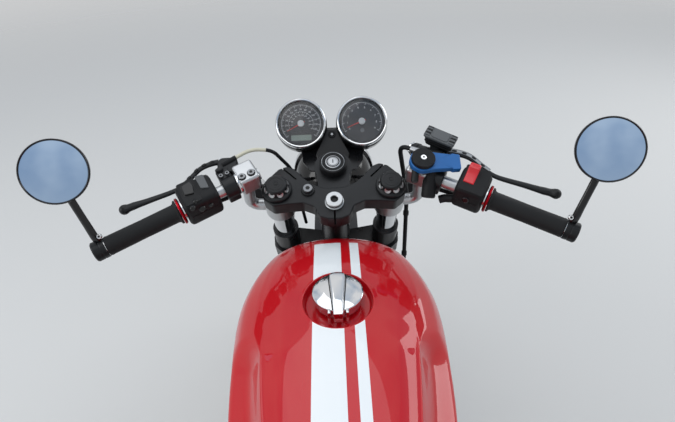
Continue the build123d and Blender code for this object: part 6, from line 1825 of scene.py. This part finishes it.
        Mesh().add(placed(dot, right)).piece("revs_tell_tale", "steering", DIAL_GREY)


# Bars and controls


@dataclass
class Grips:
    """Smooth rubber grips with a rolled inner flange, red anodised rings and bright ends."""

    start: float = 134.0
    length: float = 128.0
    radius: float = 16.5

    def build(self) -> None:
        """Makes both grips and rings."""
        a, b = self.start, self.start + self.length
        r = self.radius
        profile = [(BAR_BORE, a), (r + 4.5, a), (r + 5.2, a + 0.8), (r + 5.2, a + 2.6), (r + 4.4, a + 3.6),
                   (r + 1.5, a + 5), (r, a + 8), (r - 0.2, a + 40), (r - 0.5, a + 64), (r - 0.2, a + 90),
                   (r, b - 6), (r + 0.4, b - 3), (r - 0.2, b - 0.6), (r - 1.5, b), (BAR_BORE, b),
                   (BAR_BORE, a)]
        Mesh().add(on_bar(turned(profile, 64))).both().piece("grip_pair", "steering", GRIP_RUBBER, ("grips",))
        ring = [(BAR_BORE, a - 6), (20.5, a - 6), (23.2, a - 5), (24, a - 4), (24, a - 1.6), (23.2, a - 0.6),
                (BAR_BORE, a - 0.6), (BAR_BORE, a - 6)]
        Mesh().add(on_bar(turned(ring, 64))).both().piece("grip_rings", "steering", RED_ANODISED)
        collar = [(BAR_BORE, a - 9), (17.5, a - 9), (18, a - 8.5), (18, a - 6.2), (BAR_BORE, a - 6.2),
                  (BAR_BORE, a - 9)]
        Mesh().add(on_bar(turned(collar, 48))).both().piece("grip_collars", "steering", CHROME)


@dataclass
class Switches:
    """Left and right switch housings with their seams, screws, slider, rocker and buttons."""

    starts: tuple[float, float] = (62.0, 74.0)
    stop: float = 126.0
    top: float = 28.0

    def shell(self, start: float) -> np.ndarray:
        """Makes a housing: rounded rectangles along the bar, 56 across and 60 high about (6, -2)."""
        a, b = start, self.stop
        rows = [(a, 44, 48, 6, -2), (a + 1.2, 50, 54, 6, -2), (a + 3.6, 54.4, 58.4, 6, -2),
                (a + 7, 56, 60, 6, -2), (b - 7, 56, 60, 6, -2), (b - 3.6, 54.4, 58.4, 6, -2),
                (b - 1.2, 50, 54, 6, -2), (b, 44, 48, 6, -2)]
        return on_bar(lofted(rows, 0.34))

    def flat(self, outline: list[tuple[float, float]], bottom: float, height: float,
             bevel: float) -> np.ndarray:
        """Raises an outline of (across, along) points from the housing's flat top."""
        body = prism(outline, self.top + bottom, self.top + height, bevel)
        return on_bar(np.stack([body[..., 0], body[..., 2], body[..., 1]], -1))

    def build(self) -> None:
        """Makes both housings."""
        left, right = self.starts
        shells = Mesh().add(self.shell(left) * (-1, 1, 1)).add(self.shell(right))
        shells.piece("switch_housings", "steering", NYLON, ("switch_blocks",))
        self.seams()
        self.left()
        self.right(right)

    def seams(self) -> None:
        """Makes the housings' clamping seams and pairs of screws behind."""
        seam, bolts, sockets = Mesh(), Mesh(), Mesh()
        b = self.stop
        for side, a in zip((-1, 1), self.starts):
            for x in (-22.0, 34.0):
                line = np.array([(x, -2, a + 7), (x, -2, a + 20), (x, -2, b - 20), (x, -2, b - 7)], float)
                seam.add(on_bar(tube(line, 0.8, 6, up=(0, 1, 0))) * (side, 1, 1))
            for z in (a + 14, b - 14):
                place = basis((-2, -32, z), (0, -1, 0), up=(0, 0, 1))
                head = turned([(0, -1), (3.4, -1), (3.4, 1.4), (2.8, 2), (0, 2)], 20)
                bolts.add(on_bar(placed(head, place)) * (side, 1, 1))
                # Dark hexagon on each screw head: painted shade for its socket
                hole = turned([(0, 1.95), (1.4, 1.95), (1.4, 2.06), (0, 2.06)], 6)
                sockets.add(on_bar(placed(hole, place)) * (side, 1, 1))
        seam.piece("switch_seams", "steering", BLACK_AND_RECESS_SHADE)
        bolts.piece("switch_screws", "steering", STEEL)
        sockets.piece("switch_screw_sockets", "steering", BLACK_AND_RECESS_SHADE)

    def left(self) -> None:
        """Makes the left side: the five-sided rocker in its well, a grey slider and three buttons."""
        flip = (-1, 1, 1)
        rocker = rounded_outline([(24, 113), (27, 96), (17, 93.5), (0, 98.5), (4, 114)], 3)
        middle = rocker.mean(0)
        # A dark rim just wider than the rocker: painted shade in the well round it
        rim = middle + (rocker - middle) * 1.2
        Mesh().add(self.flat(rim, -1, 0.5, 0.4) * flip).piece("rocker_well", "steering", BLACK_AND_RECESS_SHADE)
        Mesh().add(self.flat(rocker, 0, 3.4, 1.2) * flip).piece("left_rocker", "steering", GLOSS_BLACK,
                                                                bevel=0.4)
        lip = rounded_outline([(33, 88), (33, 120), (-17, 120), (-17, 91)], 4)
        Mesh().add(self.flat(lip, -1, 0.35, 0.3) * flip).piece("left_plate", "steering", NYLON)
        slider = rounded_outline([(33, 85), (29, 70), (-2, 72), (4, 85)], 2.5)
        Mesh().add(self.flat(slider, -1, 2.4, 1.0) * flip).piece("lamp_slider", "steering", GREY_PLASTIC,
                                                                 bevel=0.4)
        buttons = Mesh()
        for x, y, z, r, tall in ((-14, 27, 103, 3.6, 3.4), (-20, 22, 112, 4.4, 6.0), (-23, 12, 98, 5.2, 3.0),
                                 (-23, 10, 82, 3.4, 2.4)):
            place = basis((x, y, z), (-0.75, 0.66, 0), up=(0, 0, 1))
            knob = turned([(0, -3), (r + 0.8, -3), (r + 0.8, 0.8), (r, 1.1), (r, tall - 0.8), (r - 0.8, tall),
                           (0, tall + 0.2)], 28)
            buttons.add(on_bar(placed(knob, place)) * flip)
        buttons.piece("left_buttons", "steering", GLOSS_BLACK)

    def right(self, start: float) -> None:
        """Makes the right side: the red rocker, its raised block towards the front, and the starter."""
        # A dark rim round the kill switch: painted shade in its well
        well = rounded_outline([(34, 80), (34, 103), (-6, 103), (-6, 80)], 3)
        Mesh().add(self.flat(well, -1, 0.4, 0.3)).piece("kill_switch_well", "steering", BLACK_AND_RECESS_SHADE)
        lip = rounded_outline([(34, 77), (34, 122), (-20, 122), (-20, 77)], 4)
        Mesh().add(self.flat(lip, -1, 0.25, 0.2)).piece("right_plate", "steering", NYLON)
        rows = [(-4, 17, 1.6, 91.5, 0.6), (-3, 18.4, 3.0, 91.5, 1.0), (4, 18.6, 4.0, 91.5, 1.6),
                (12, 18.8, 6.0, 91.5, 2.4), (17, 19, 9.0, 91.5, 4.0), (20, 19, 14.0, 91.5, 6.0),
                (28, 19, 14.6, 91.5, 6.4), (31.4, 18.6, 12.6, 91.5, 5.8), (32.4, 16.6, 9.6, 91.5, 5.2)]
        body = lofted(rows, 0.3)
        rocker = on_bar(np.stack([body[..., 2], body[..., 1] + self.top, body[..., 0]], -1))
        Mesh().add(rocker).piece("kill_switch", "steering", RED_PLASTIC)
        starter = turned([(0, -3), (6, -3), (6, 0.6), (5.2, 1.0), (5.2, 3.4), (4.2, 4.2), (0, 4.4)], 32)
        place = basis((-22, 6, start + 24), (-0.9, 0.44, 0), up=(0, 0, 1))
        Mesh().add(on_bar(placed(starter, place))).piece("starter_button", "steering", GLOSS_BLACK)
        entry = np.array([(-12, -20, start + 2), (-14, -22, start - 4), (-16, -24, start - 12),
                          (-20, -28, start - 20)], float)
        Mesh().add(on_bar(tube(through(entry, 16), 7.5, 20))).piece("throttle_cable_entry", "steering", NYLON)


@dataclass
class Levers:
    """Hand levers: slotted roots, slim blades that dip to ball ends, pivots and perches, with a painted
    highlight along the right root's top.
    """

    right_path: tuple = ((198, 48, 30), (222, 46, 31), (250, 33, 32), (272, 6, 33), (292, -12, 33),
                         (334, -31, 34), (364, -44, 34), (386, -52, 34))
    left_path: tuple = ((198, 48, 30), (220, 45, 31), (243, 32, 32), (262, 6, 33), (280, -12, 33),
                        (324, -31, 33), (348, -41, 34), (366, -49, 34))

    def blade(self, path: tuple) -> np.ndarray:
        """Carries a flat oval along the lever's line: radius 8.2 at the pivot, 4.6 in its waist."""
        line = fork(through(path, 60))
        s = np.linspace(0, 1, 60)
        radius = 8.4 - 3.4 * np.sin(pi * np.clip(s * 1.15, 0,
                                                 1)) ** 0.8 + 2.6 * np.exp(-(((s - 0.985) / 0.03) ** 2))
        return tube(line, radius, 20, 0.72)

    def build(self) -> None:
        """Makes both levers."""
        blades, pins, holes, highlight_band = Mesh(), Mesh(), Mesh(), Mesh()
        for side, path in ((1, self.right_path), (-1, self.left_path)):
            flip = (side, 1, 1)
            blades.add(self.blade(path) * flip)
            pin = basis(fork((204, 46, 30)), FORK_UP)
            pins.add(placed(turned([(0, -12), (5, -12), (5, 9.5), (4.4, 10.2), (2.4, 10.2), (2.2, 9.6),
                                    (0, 9.6)], 28), pin) * flip)
            ball = turned([(9 * sin(t), -9 * cos(t)) for t in np.linspace(0, pi, 15)], 28)
            blades.add(placed(ball, basis(fork(np.array(path[-1])), FORK_UP)) * flip)
            root = through(path, 60)[6:30] + (0, 2.6, 5.2)
            # Right lever only: a grey band along the root's top, a painted highlight of light falling on the
            # black lever
            if side > 0:
                highlight_band.add(tube(fork(root), np.linspace(4.6, 3.2, len(root)), 12, 0.3, up=FORK_UP))
            # Dark slots in the roots: painted shade for the holes through them
            for k in range(4):
                middle = root[3 + 5 * k] + (0, -1.4 if side > 0 else -2.6, 1.3 if side > 0 else 0.8)
                run = root[5 + 5 * k] - root[1 + 5 * k]
                slot = lofted([(-1.2, 4.2, 9, 0, 0), (0.3, 4.2, 9, 0, 0)], 0.8)
                holes.add(placed(slot, basis(fork(middle), FORK_UP, up=fork(-run) - FORK_TOP)) * flip)
        blades.piece("lever_blades", "steering", BLACK_ALLOY)
        highlight_band.piece("lever_top_highlight", "steering", GREY_LINE_AND_LEVER_HIGHLIGHT)
        pins.piece("lever_pivots", "steering", STEEL)
        holes.piece("lever_slots", "steering", BLACK_AND_RECESS_SHADE)
        self.perches()

    def perches(self) -> None:
        """Makes the perches: split clamps round the bars with two bolts, arms, and bright rings."""
        perch, bolts, sockets, rings = Mesh(), Mesh(), Mesh(), Mesh()
        clamp = [(BAR_BORE, 25), (17.6, 25), (19, 26.4), (19, 48), (17.6, 49.4), (BAR_BORE, 49.4),
                 (BAR_BORE, 25)]
        perch.add(on_bar(turned(clamp, 48)))
        perch.add(on_bar(block((18, 30, 22), 2) + (-9, -8, 37)))
        perch.add(on_bar(block((26, 15, 23), 2) + (22, 6, 37)))
        perch.add(fork(lofted([(20, 32, 30, 192, 34), (23, 36, 34, 192, 34), (38, 36, 34, 192, 34),
                               (41, 32, 30, 192, 34)], 0.45)))
        for along in (31, 43):
            place = basis(np.array([20.0, 13.2, along]), np.array([0.0, 1.0, 0.0]), up=(0, 0, 1))
            head = turned([(0, -1), (4.0, -1), (4.0, 3.4), (3.5, 4.0), (2.2, 4.0), (2.0, 3.0), (0, 3.0)], 24)
            bolts.add(on_bar(placed(head, place)))
            # Dark hexagon on each bolt head: painted shade for its socket
            sockets.add(on_bar(placed(turned([(0, 3.02), (2.0, 3.02), (2.0, 3.2), (0, 3.2)], 6), place)))
        ring = [(BAR_BORE, 19.5), (18.4, 19.5), (19, 20.2), (19, 23.2), (18.4, 24), (BAR_BORE, 24),
                (BAR_BORE, 19.5)]
        rings.add(on_bar(turned(ring, 56)))
        perch.both().piece("lever_perches", "steering", BLACK_ALLOY, ("levers",), bevel=0.5)
        bolts.both().piece("perch_bolts", "steering", BOLT_STEEL)
        sockets.both().piece("perch_sockets", "steering", BLACK_AND_RECESS_SHADE)
        rings.both().piece("bar_rings", "steering", CHROME)
        knob = basis(np.array([34.0, 12.0, 40.0]), np.array([0.5, 0.86, 0.0]), up=(0, 0, 1))
        wheel = [(0, -6), (6.5, -6), (7.5, -5), (7.5, 3), (6.5, 4), (3, 4.4), (0, 4.4)]
        Mesh().add(on_bar(placed(turned(wheel, 16), knob)) * (-1, 1, 1)).piece("cable_adjuster", "steering",
                                                                               NYLON)


@dataclass
class Cords:
    """The front brake's hose, the switches' looms and the clutch cable, along the frame's own routes."""

    hose: tuple = ((128, 82, 14), (150, 44, -100), (150, -44, -262), (74, -78, -352), (72, -74, -520))
    loom: tuple = ((170, 30, -30), (122, 44, -50), (80, 78, -84), (52, 98, -112))
    clutch: tuple = ((-150, 66, 42), (-112, 70, 30), (-82, 68, -30), (-66, 40, -200))

    def from_bar(self, across: float, high: float, along: float) -> tuple[float, float, float]:
        """Gives a bar point's place in the fork's place."""
        p = on_bar(np.array([across, high, along], float)) - FORK_TOP
        return float(p[0]), float(p @ FORK_FORWARD), float(p @ FORK_UP)

    def build(self) -> None:
        """Makes the cords with their sleeves and unions."""
        self.brake()
        self.looms()
        self.clutch_cable()

    def brake(self) -> None:
        """Makes the braided hose: its sleeve, three grommets, and crimped unions at its ends."""
        line = fork(bent([self.from_bar(44, 0, -12), *self.hose], [20, 60, 60, 40], 14))
        even = stepped(line, 3.0)
        Mesh().add(tube(even, 4.5, 14, up=(1, 0.2, 0.1))).piece("hose_sleeve", "steering", NYLON,
                                                                ("brake_hose",))
        ends = Mesh()
        for part in (even[:8], even[-8:]):
            ends.add(tube(part, 5.6, 20, up=(1, 0.2, 0.1)))
        ends.piece("hose_unions", "steering", STEEL)
        ties = Mesh()
        for k in (len(even) // 3, len(even) // 2, 2 * len(even) // 3):
            ties.add(tube(even[k - 2 : k + 2], 6.0, 20, up=(1, 0.2, 0.1)))
        ties.piece("hose_grommets", "steering", GRIP_RUBBER)

    def looms(self) -> None:
        """Makes both wire looms as split sleeves with fine rings every 4 mm."""
        sleeves = Mesh()
        for start, side in ((62, -1), (74, 1)):
            x, y, z = self.from_bar(0, -24, start + 2)
            line = fork(bent([(x, y, z), (x - 26, y + 20, z - 12), *self.loom], [12, 14, 18, 14], 10))
            even = stepped(line, 1.0)
            ripple = 4.0 + 0.35 * np.cos(2 * pi * np.arange(len(even)) / 4)
            sleeves.add(tube(even, ripple, 14, up=(0, 0.3, 1)) * (side, 1, 1))
        sleeves.piece("wire_looms", "steering", NYLON, ("control_cables",))

    def clutch_cable(self) -> None:
        """Makes the clutch cable: black boot, pale outer sheath where it shows, then a black sleeve."""
        x, y, z = self.from_bar(46, 8, 30)
        line = fork(bent([(-x, y, z), *self.clutch], [60, 34, 90], 16))
        even = stepped(line, 2.0)
        run = len(even)
        parts = ((0, 15, 4.6, GRIP_RUBBER, "clutch_boot"), (14, 44, 3.5, PALE_SHEATH, "clutch_sheath"),
                 (43, run, 3.5, NYLON, "clutch_sleeve"))
        for first, last, radius, finish, name in parts:
            Mesh().add(tube(even[first:last], radius, 16, up=(0, 0.5, 1))).piece(name, "steering", finish)


@dataclass
class BrakeCylinder:
    """Front master cylinder with its square reservoir, ribbed lid, post and hose joint."""

    centre: tuple[float, float, float] = (196.0, 60.0, 47.0)
    turn_deg: float = -32.0
    lid: tuple[float, float] = (58.0, 26.0)

    def local(self, points: np.ndarray) -> np.ndarray:
        """Moves points from the reservoir's place, turned on its post, into the frame's."""
        a = radians(self.turn_deg)
        turn = np.array([[cos(a), sin(a), 0], [-sin(a), cos(a), 0], [0, 0, 1]])
        return fork(points @ turn + self.centre)

    def build(self) -> None:
        """Makes the reservoir, its lid and the cylinder."""
        body = [(-8, 42, 17, 0, 0), (-6, 48, 20, 0, 0), (0, 51, 22, 0, 0), (12, 52, 23, 0, 0),
                (14, 52, 23, 0, 0)]
        tank = Mesh().add(self.local(lofted(body, 0.3)))
        for k in range(2):
            z = 1 + 6 * k
            tank.add(self.local(lofted([(z, 52, 23, 0, 0), (z + 1.6, 53, 24, 0, 0), (z + 2, 52, 23, 0, 0)],
                                       0.3)))
        tank.piece("reservoir_body", "steering", NYLON, ("master_cylinder",))
        w, d = self.lid
        lid = Mesh().add(self.local(lofted([(14, w - 1, d - 1, 0, 0), (15, w, d, 0, 0), (18.4, w, d, 0, 0),
                                            (19.4, w - 1.6, d - 1.6, 0, 0)], 0.2)))
        dark = Mesh()
        for side in (-1, 1):
            for k in range(3):
                y = -8.4 + 7.4 * k
                bar = lofted([(19.2, 10, 3.6, side * 23, y), (20.8, 9.8, 3.4, side * 23, y),
                              (21.1, 9, 3, side * 23, y)], 0.4)
                lid.add(self.local(bar))
                # A dark strip beside each rib: painted shade in the slot between the ribs
                slot = lofted([(19.3, 11, 3.6, side * 23, y + 3.7), (19.9, 11, 3.6, side * 23, y + 3.7)], 0.4)
                dark.add(self.local(slot))
        lid.add(self.local(lofted([(19.2, 31, 20, 0, 0), (20.4, 30.6, 19.6, 0, 0), (20.8, 30, 19, 0, 0)],
                                  0.3)))
        lid.piece("reservoir_lid", "steering", GREY_PLASTIC)
        dark.piece("reservoir_lid_slots", "steering", BLACK_AND_RECESS_SHADE)
        cylinder = [(0, -34), (8, -34), (10, -32), (11, -28), (11, 20), (12.5, 21), (12.5, 30), (9, 33),
                    (9, 40), (0, 41)]
        line = basis(fork((176, 50, 30)), fork((150, 74, 10)) - fork((200, 26, 42)), up=(0, 0, 1))
        Mesh().lathe(cylinder, 40, line).piece("master_cylinder_barrel", "steering", BLACK_ALLOY)
        ring = [(9.2, 33.5), (12.6, 33.5), (13, 34), (13, 37.6), (12.6, 38), (9.2, 38), (9.2, 33.5)]
        Mesh().lathe(ring, 6, line).piece("hose_joint", "steering", CHROME, bevel=0.6)
        post = turned([(0, -16), (8, -16), (9, -14), (9, 6), (0, 6)], 24)
        Mesh().add(placed(post, basis(fork((188, 54, 40)), FORK_UP))).piece("reservoir_post", "steering",
                                                                            NYLON)


@dataclass
class PhoneHolder:
    """Blue anodised arm with a round black lock, its knob and the damper beneath."""

    disc: tuple[float, float, float] = (156.0, 4.0, 73.0)
    end: tuple[float, float, float] = (214.0, 1.0, 69.0)

    def place(self) -> np.ndarray:
        """The arm's place: x along the arm, z up the fork."""
        start, end = fork(np.array(self.disc)), fork(np.array(self.end))
        x = end - start
        x /= np.linalg.norm(x)
        z = FORK_UP - x * (FORK_UP @ x)
        z /= np.linalg.norm(z)
        return np.array([x, np.cross(z, x), z, start])

    def build(self) -> None:
        """Makes the holder's pieces."""
        place = self.place()
        t = np.linspace(pi / 2, 3 * pi / 2, 20)
        round_end = np.stack([22.5 * np.cos(t), 22.5 * np.sin(t)], -1)
        outline = np.vstack([rounded_outline([(52, -17), (66, -15), (66, 15), (52, 17)], 2.5), [(20, 18)],
                             round_end, [(20, -18)]])
        Mesh().add(placed(prism(outline, -11, 0, 1.2), place)).piece(
            "holder_arm", "steering", BLUE_ANODISED, ("phone_mount",), bevel=0.5)
        disc = [(0, 0), (19.5, 0), (20.6, 1), (20.6, 6.4), (19.6, 7.6), (7, 8.0), (6.6, 7.4), (0, 7.4)]
        Mesh().lathe(disc, 72, place).piece("holder_lock", "steering", NYLON)
        # Four dark cuts and a centre hole on the lock: painted shade in its grooves and hole
        cuts = Mesh()
        for k in range(4):
            a = pi / 4 + k * pi / 2
            line = np.array([(9 * cos(a), 9 * sin(a), 8.0), (12 * cos(a), 12 * sin(a), 7.95),
                             (16 * cos(a), 16 * sin(a), 7.85), (18.6 * cos(a), 18.6 * sin(a), 7.7)])
            cuts.add(placed(tube(line, 0.5, 6), place))
        cuts.lathe([(0, 8.5), (1.9, 8.5), (1.9, 8.72), (0, 8.72)], 6, place)
        cuts.piece("holder_cuts", "steering", BLACK_AND_RECESS_SHADE)
        washer = [(0, 7.2), (5.2, 7.2), (5.2, 8.2), (4.6, 8.7), (0, 8.7)]
        Mesh().lathe(washer, 32, place).piece("holder_washer", "steering", CHROME)
        rim = [(16, -13), (21.6, -13), (22, -12.4), (22, -11.2), (16, -11.2), (16, -13)]
        Mesh().lathe(rim, 64, place).piece("holder_rim", "steering", SILVER_ALLOY)
        damper = basis(fork((172, -6, 44)), fork((165, -50, 20)) - fork((173, -4, 46)))
        body = [(0, -8), (10, -8), (12.5, -6), (12.5, 40), (11.5, 42), (9, 43), (0, 43)]
        Mesh().lathe(body, 48, damper).piece("holder_damper", "steering", NYLON)
        knob = basis(fork((142, -16, 58)), fork((138, -40, 52)) - fork((142, -16, 58)))
        grip = [(0, -14), (6, -14), (6.5, -12), (6.5, 12), (5.5, 14), (0, 14.4)]
        Mesh().lathe(grip, 24, knob).piece("holder_knob", "steering", BLACK_AND_RECESS_SHADE)


@dataclass
class Mirrors:
    """Bar-end mirrors: end clamps, flattened stalks, domed shells and convex glasses."""

    at: tuple[float, float, float] = (420.0, -56.0, 164.0)
    radius: float = 50.0
    up_deg: float = 27.0
    inward_deg: float = 16.0

    def place(self) -> np.ndarray:
        """The right mirror's place, with z out of the glass."""
        up, inward = radians(self.up_deg), radians(self.inward_deg)
        normal = np.array([-sin(inward) * cos(up), -cos(inward) * cos(up), sin(up)])
        return basis(fork(np.array(self.at)), normal)

    def build(self) -> None:
        """Makes the pair."""
        place = self.place()
        r = self.radius
        shell = [(0, -1.7), (r - 3, -1.7), (r - 2.8, -0.6), (r - 2, 0.2), (r - 0.8, 0.1), (r, -0.9), (r, -6),
                 (r - 2, -10), (r - 8, -15), (r - 20, -20), (r - 36, -22.6), (0, -23)]
        body = Mesh().lathe(shell, 96, place)
        path = [(386, -118, 40), (390, -117, 58), (397, -104, 80), (408, -84, 108), (416, -68, 134),
                (418, -60, 150)]
        line = fork(through(path, 30))
        width = np.interp(np.linspace(0, 1, 30), [0, 0.15, 0.5, 1], [7.5, 7.2, 6.4, 7.0])
        body.add(tube(line, width, 20, 0.62, up=(0, -1, 0.4)))
        body.both().piece("mirror_shells", "steering", GLOSS_BLACK, ("mirrors",), sharp=40)
        t = np.linspace(0, 1, 9)
        dome = [(float(q), 1.1 * (1 - (q / (r - 3)) ** 2) - 0.9) for q in (r - 3.1) * t]
        glass = [(0, -1.65), (r - 3.1, -1.65)] + dome[::-1]
        Mesh().lathe(glass, 96, place).both().piece("mirror_faces", "steering", MIRROR, ("mirror_glasses",))
        clamp = [(BAR_BORE, 262.6), (16.4, 262.6), (17.2, 263.4), (17.2, 270), (16.6, 270.8), (16.6, 272),
                 (17.2, 272.8), (17.2, 282), (15.6, 284), (0, 284.6), (0, 262.6)]
        Mesh().add(on_bar(turned(clamp, 64))).both().piece("bar_end_clamps", "steering", BLACK_ALLOY)
        ring = [(BAR_BORE, 262.0), (17.0, 262.0), (17.0, 262.6), (BAR_BORE, 262.6), (BAR_BORE, 262.0)]
        Mesh().add(on_bar(turned(ring, 64))).both().piece("bar_end_rings", "steering", CHROME)
        bolts, sockets = Mesh(), Mesh()
        bolt = basis(fork((383, -114, 62)), fork((0, -0.75, 0.9)) - FORK_TOP)
        socket_bolt(bolts, sockets, bolt, 4.2, 4.0)
        bolts.both().piece("mirror_bolts", "steering", CHROME)
        sockets.both().piece("mirror_bolt_sockets", "steering", BLACK_AND_RECESS_SHADE)


@dataclass
class YokeDetails:
    """Clamp bolts, cap knobs with bright dimples, the lock's face and the yoke's small screws."""

    def build(self) -> None:
        """Makes the details on and round the upper yoke."""
        bolts, sockets = Mesh(), Mesh()
        for along in (-5, 13):
            place = np.array([on_bar(v) - on_bar((0, 0, 0)) for v in ((0, 0, 1), (1, 0, 0), (0, 1, 0))]
                             + [on_bar((-5, 20, along))])
            socket_bolt(bolts, sockets, place, 6.2, 3.6)
            # A dark ring round each bolt head: painted shade in the gap round its head
            sockets.lathe([(6.2, 0.1), (7.6, 0.1), (7.6, 0.4), (6.2, 0.4), (6.2, 0.1)], 32, place)
        bolts.both()
        sockets.both()
        lock = basis(fork((-48, -3, 0)), FORK_UP)
        socket_bolt(bolts, sockets, placed_shift(lock, 4.0), 8.6, 6.0)
        bolts.piece("clamp_bolts", "steering", BOLT_STEEL)
        sockets.piece("clamp_sockets", "steering", BLACK_AND_RECESS_SHADE)
        base = turned([(0, 0), (12.6, 0), (12.6, 2.6), (11.6, 4.0), (0, 4.0)], 40)
        Mesh().add(placed(base, lock)).piece("lock_bolt_base", "steering", BLACK_ALLOY)
        self.caps()
        self.lock()
        self.nut()

    def nut(self) -> None:
        """Makes the stem nut: washer, broad satin head, and its six-sided socket lined in black as painted
        shade.
        """
        place = basis(fork((0, -30, 0)), FORK_UP)
        head = [(0, 0), (17, 0), (17.4, 0.6), (17.4, 2.6), (16.6, 3.2), (16, 3.4), (16, 10.4), (14.8, 11.8),
                (7.6, 12.2), (6.9, 11.6), (6.9, 7), (0, 7)]
        Mesh().lathe(head, 72, place).piece("stem_nut_head", "steering", SILVER_ALLOY, ("stem_nut",))
        hexagon = [(0, 7.05), (6.85, 7.05), (6.85, 11.3), (6.0, 11.3), (5.9, 8.4), (0, 8.4)]
        Mesh().lathe(hexagon, 6, place).piece("stem_nut_socket", "steering", BLACK_AND_RECESS_SHADE, sharp=20)

    def caps(self) -> None:
        """Makes the fork caps: stepped ring, tapered knob and eight bright dimples round its foot."""
        body, cups, dark = Mesh(), Mesh(), Mesh()
        place = basis(fork((FORK_HALF, 0, 0)), FORK_UP)
        profile = [(0, 0), (27, 0), (27.5, 0.6), (27.5, 5.2), (26.4, 7), (23, 8), (22.6, 8.6), (20.6, 9),
                   (20.4, 19), (19.4, 21.4), (17.6, 22.6), (4.6, 23.2), (4.0, 22.6), (0, 22.6)]
        body.lathe(profile, 96, place)
        for k in range(8):
            a = radians(22.5 + 45 * k)
            out = np.array([cos(a), sin(a), 0.0])
            centre = place[3] + 20.4 * (out[0] * place[0] + out[1] * place[1]) + 14.2 * place[2]
            axis = out[0] * place[0] + out[1] * place[1] + 0.42 * place[2]
            rim = turned([(0, -2.4), (4.6, -2.4), (5.8, -1.2), (6.0, 0.3), (5.4, 0.9), (4.8, 0.7), (3.6, 0.3),
                          (1.8, 0.05), (0, 0)], 28)
            cups.add(placed(rim, basis(centre, axis, up=FORK_UP)))
        # Dark centre hole and two rings on the knob's top: painted shade in its hole and grooves
        dark.lathe([(0, 22.62), (2.6, 22.62), (2.6, 23.3), (0, 23.3)], 16, place)
        for radius in (7.5, 13.0):
            dark.lathe([(radius, 22.7), (radius + 0.9, 22.7), (radius + 0.9, 23.25), (radius, 23.25),
                        (radius, 22.7)], 48, place)
        body.both().piece("cap_knobs", "steering", BLACK_ALLOY, ("fork_caps",), sharp=30)
        cups.both().piece("cap_dimples", "steering", SILVER_ALLOY)
        dark.both().piece("cap_vents", "steering", BLACK_AND_RECESS_SHADE)

    def lock(self) -> None:
        """Makes the ignition lock: black surround, bright face and key slot."""
        place = basis(fork((0, 53, 2)), FORK_UP)
        surround = [(0, -8), (25, -8), (26, -7), (26, 6), (24.4, 8.4), (22, 9), (20, 8.2), (15.5, 8.2),
                    (15, 7.6), (0, 7.6)]
        Mesh().lathe(surround, 80, place).piece("lock_surround", "steering", NYLON, ("ignition_switch",))
        face = [(0, 7.2), (14.4, 7.2), (14.4, 8.2), (13.2, 8.8), (10.4, 8.8), (9.8, 8.2), (9.0, 8.2),
                (8.6, 9.6), (6.0, 10.2), (0, 10.2)]
        Mesh().lathe(face, 64, place).piece("lock_face", "steering", STEEL)
        line = [(20.6, 8.7), (21.2, 9.2), (21.8, 9.1), (21.8, 8.7), (20.6, 8.7)]
        Mesh().lathe(line, 80, place).piece("lock_line", "steering", GREY_LINE_AND_LEVER_HIGHLIGHT)
        # Key slot and a ring round the face, dark as painted shade in the slot and its groove
        slot = lofted([(10.1, 1.8, 8, 0, 0), (10.35, 1.8, 8, 0, 0)], 0.3)
        ring = turned([(10.6, 8.75), (12.6, 8.75), (12.6, 8.95), (10.6, 8.95), (10.6, 8.75)], 48)
        Mesh().add(placed(slot, place)).add(placed(ring, place)).piece("lock_slot", "steering", BLACK_AND_RECESS_SHADE)
        barrel = turned([(0, -46), (18, -46), (19, -44), (19, -6), (0, -6)], 40)
        Mesh().add(placed(barrel, place)).piece("lock_barrel", "steering", NYLON)


def main() -> None:
    """Builds the motorcycle's looks in order."""
    logging.basicConfig(level=logging.INFO, format="%(name)s %(message)s")
    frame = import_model()
    nodes = frame["nodes"]
    Studio().build()
    Dress().apply(nodes)
    LOG.info("dressed %d nodes", len(nodes))
    front = Tyre("front_tyre", "front_wheel", "front_tyre", (742.0, 319.0), 319.0, 100.0, 63.0, (-0.3, 0.3))
    rear = Tyre("rear_tyre", "rear_wheel", "rear_tyre", (-656.0, 334.0), 320.0, 130.0, 89.0,
                (-0.45, 0.0, 0.45))
    for part in (Tank(), Seat(), Cowl(), front, rear, Chain(), Shocks(), Engine(), Lamps(), Wheels(),
                 ForkLegs(), Exhaust(), Fasteners(), Gauges(), Grips(), Switches(), Levers(), Cords(),
                 BrakeCylinder(), PhoneHolder(), Mirrors(), YokeDetails()):
        part.build()
        LOG.info("built %s", type(part).__name__)


if __name__ == "__main__":
    main()
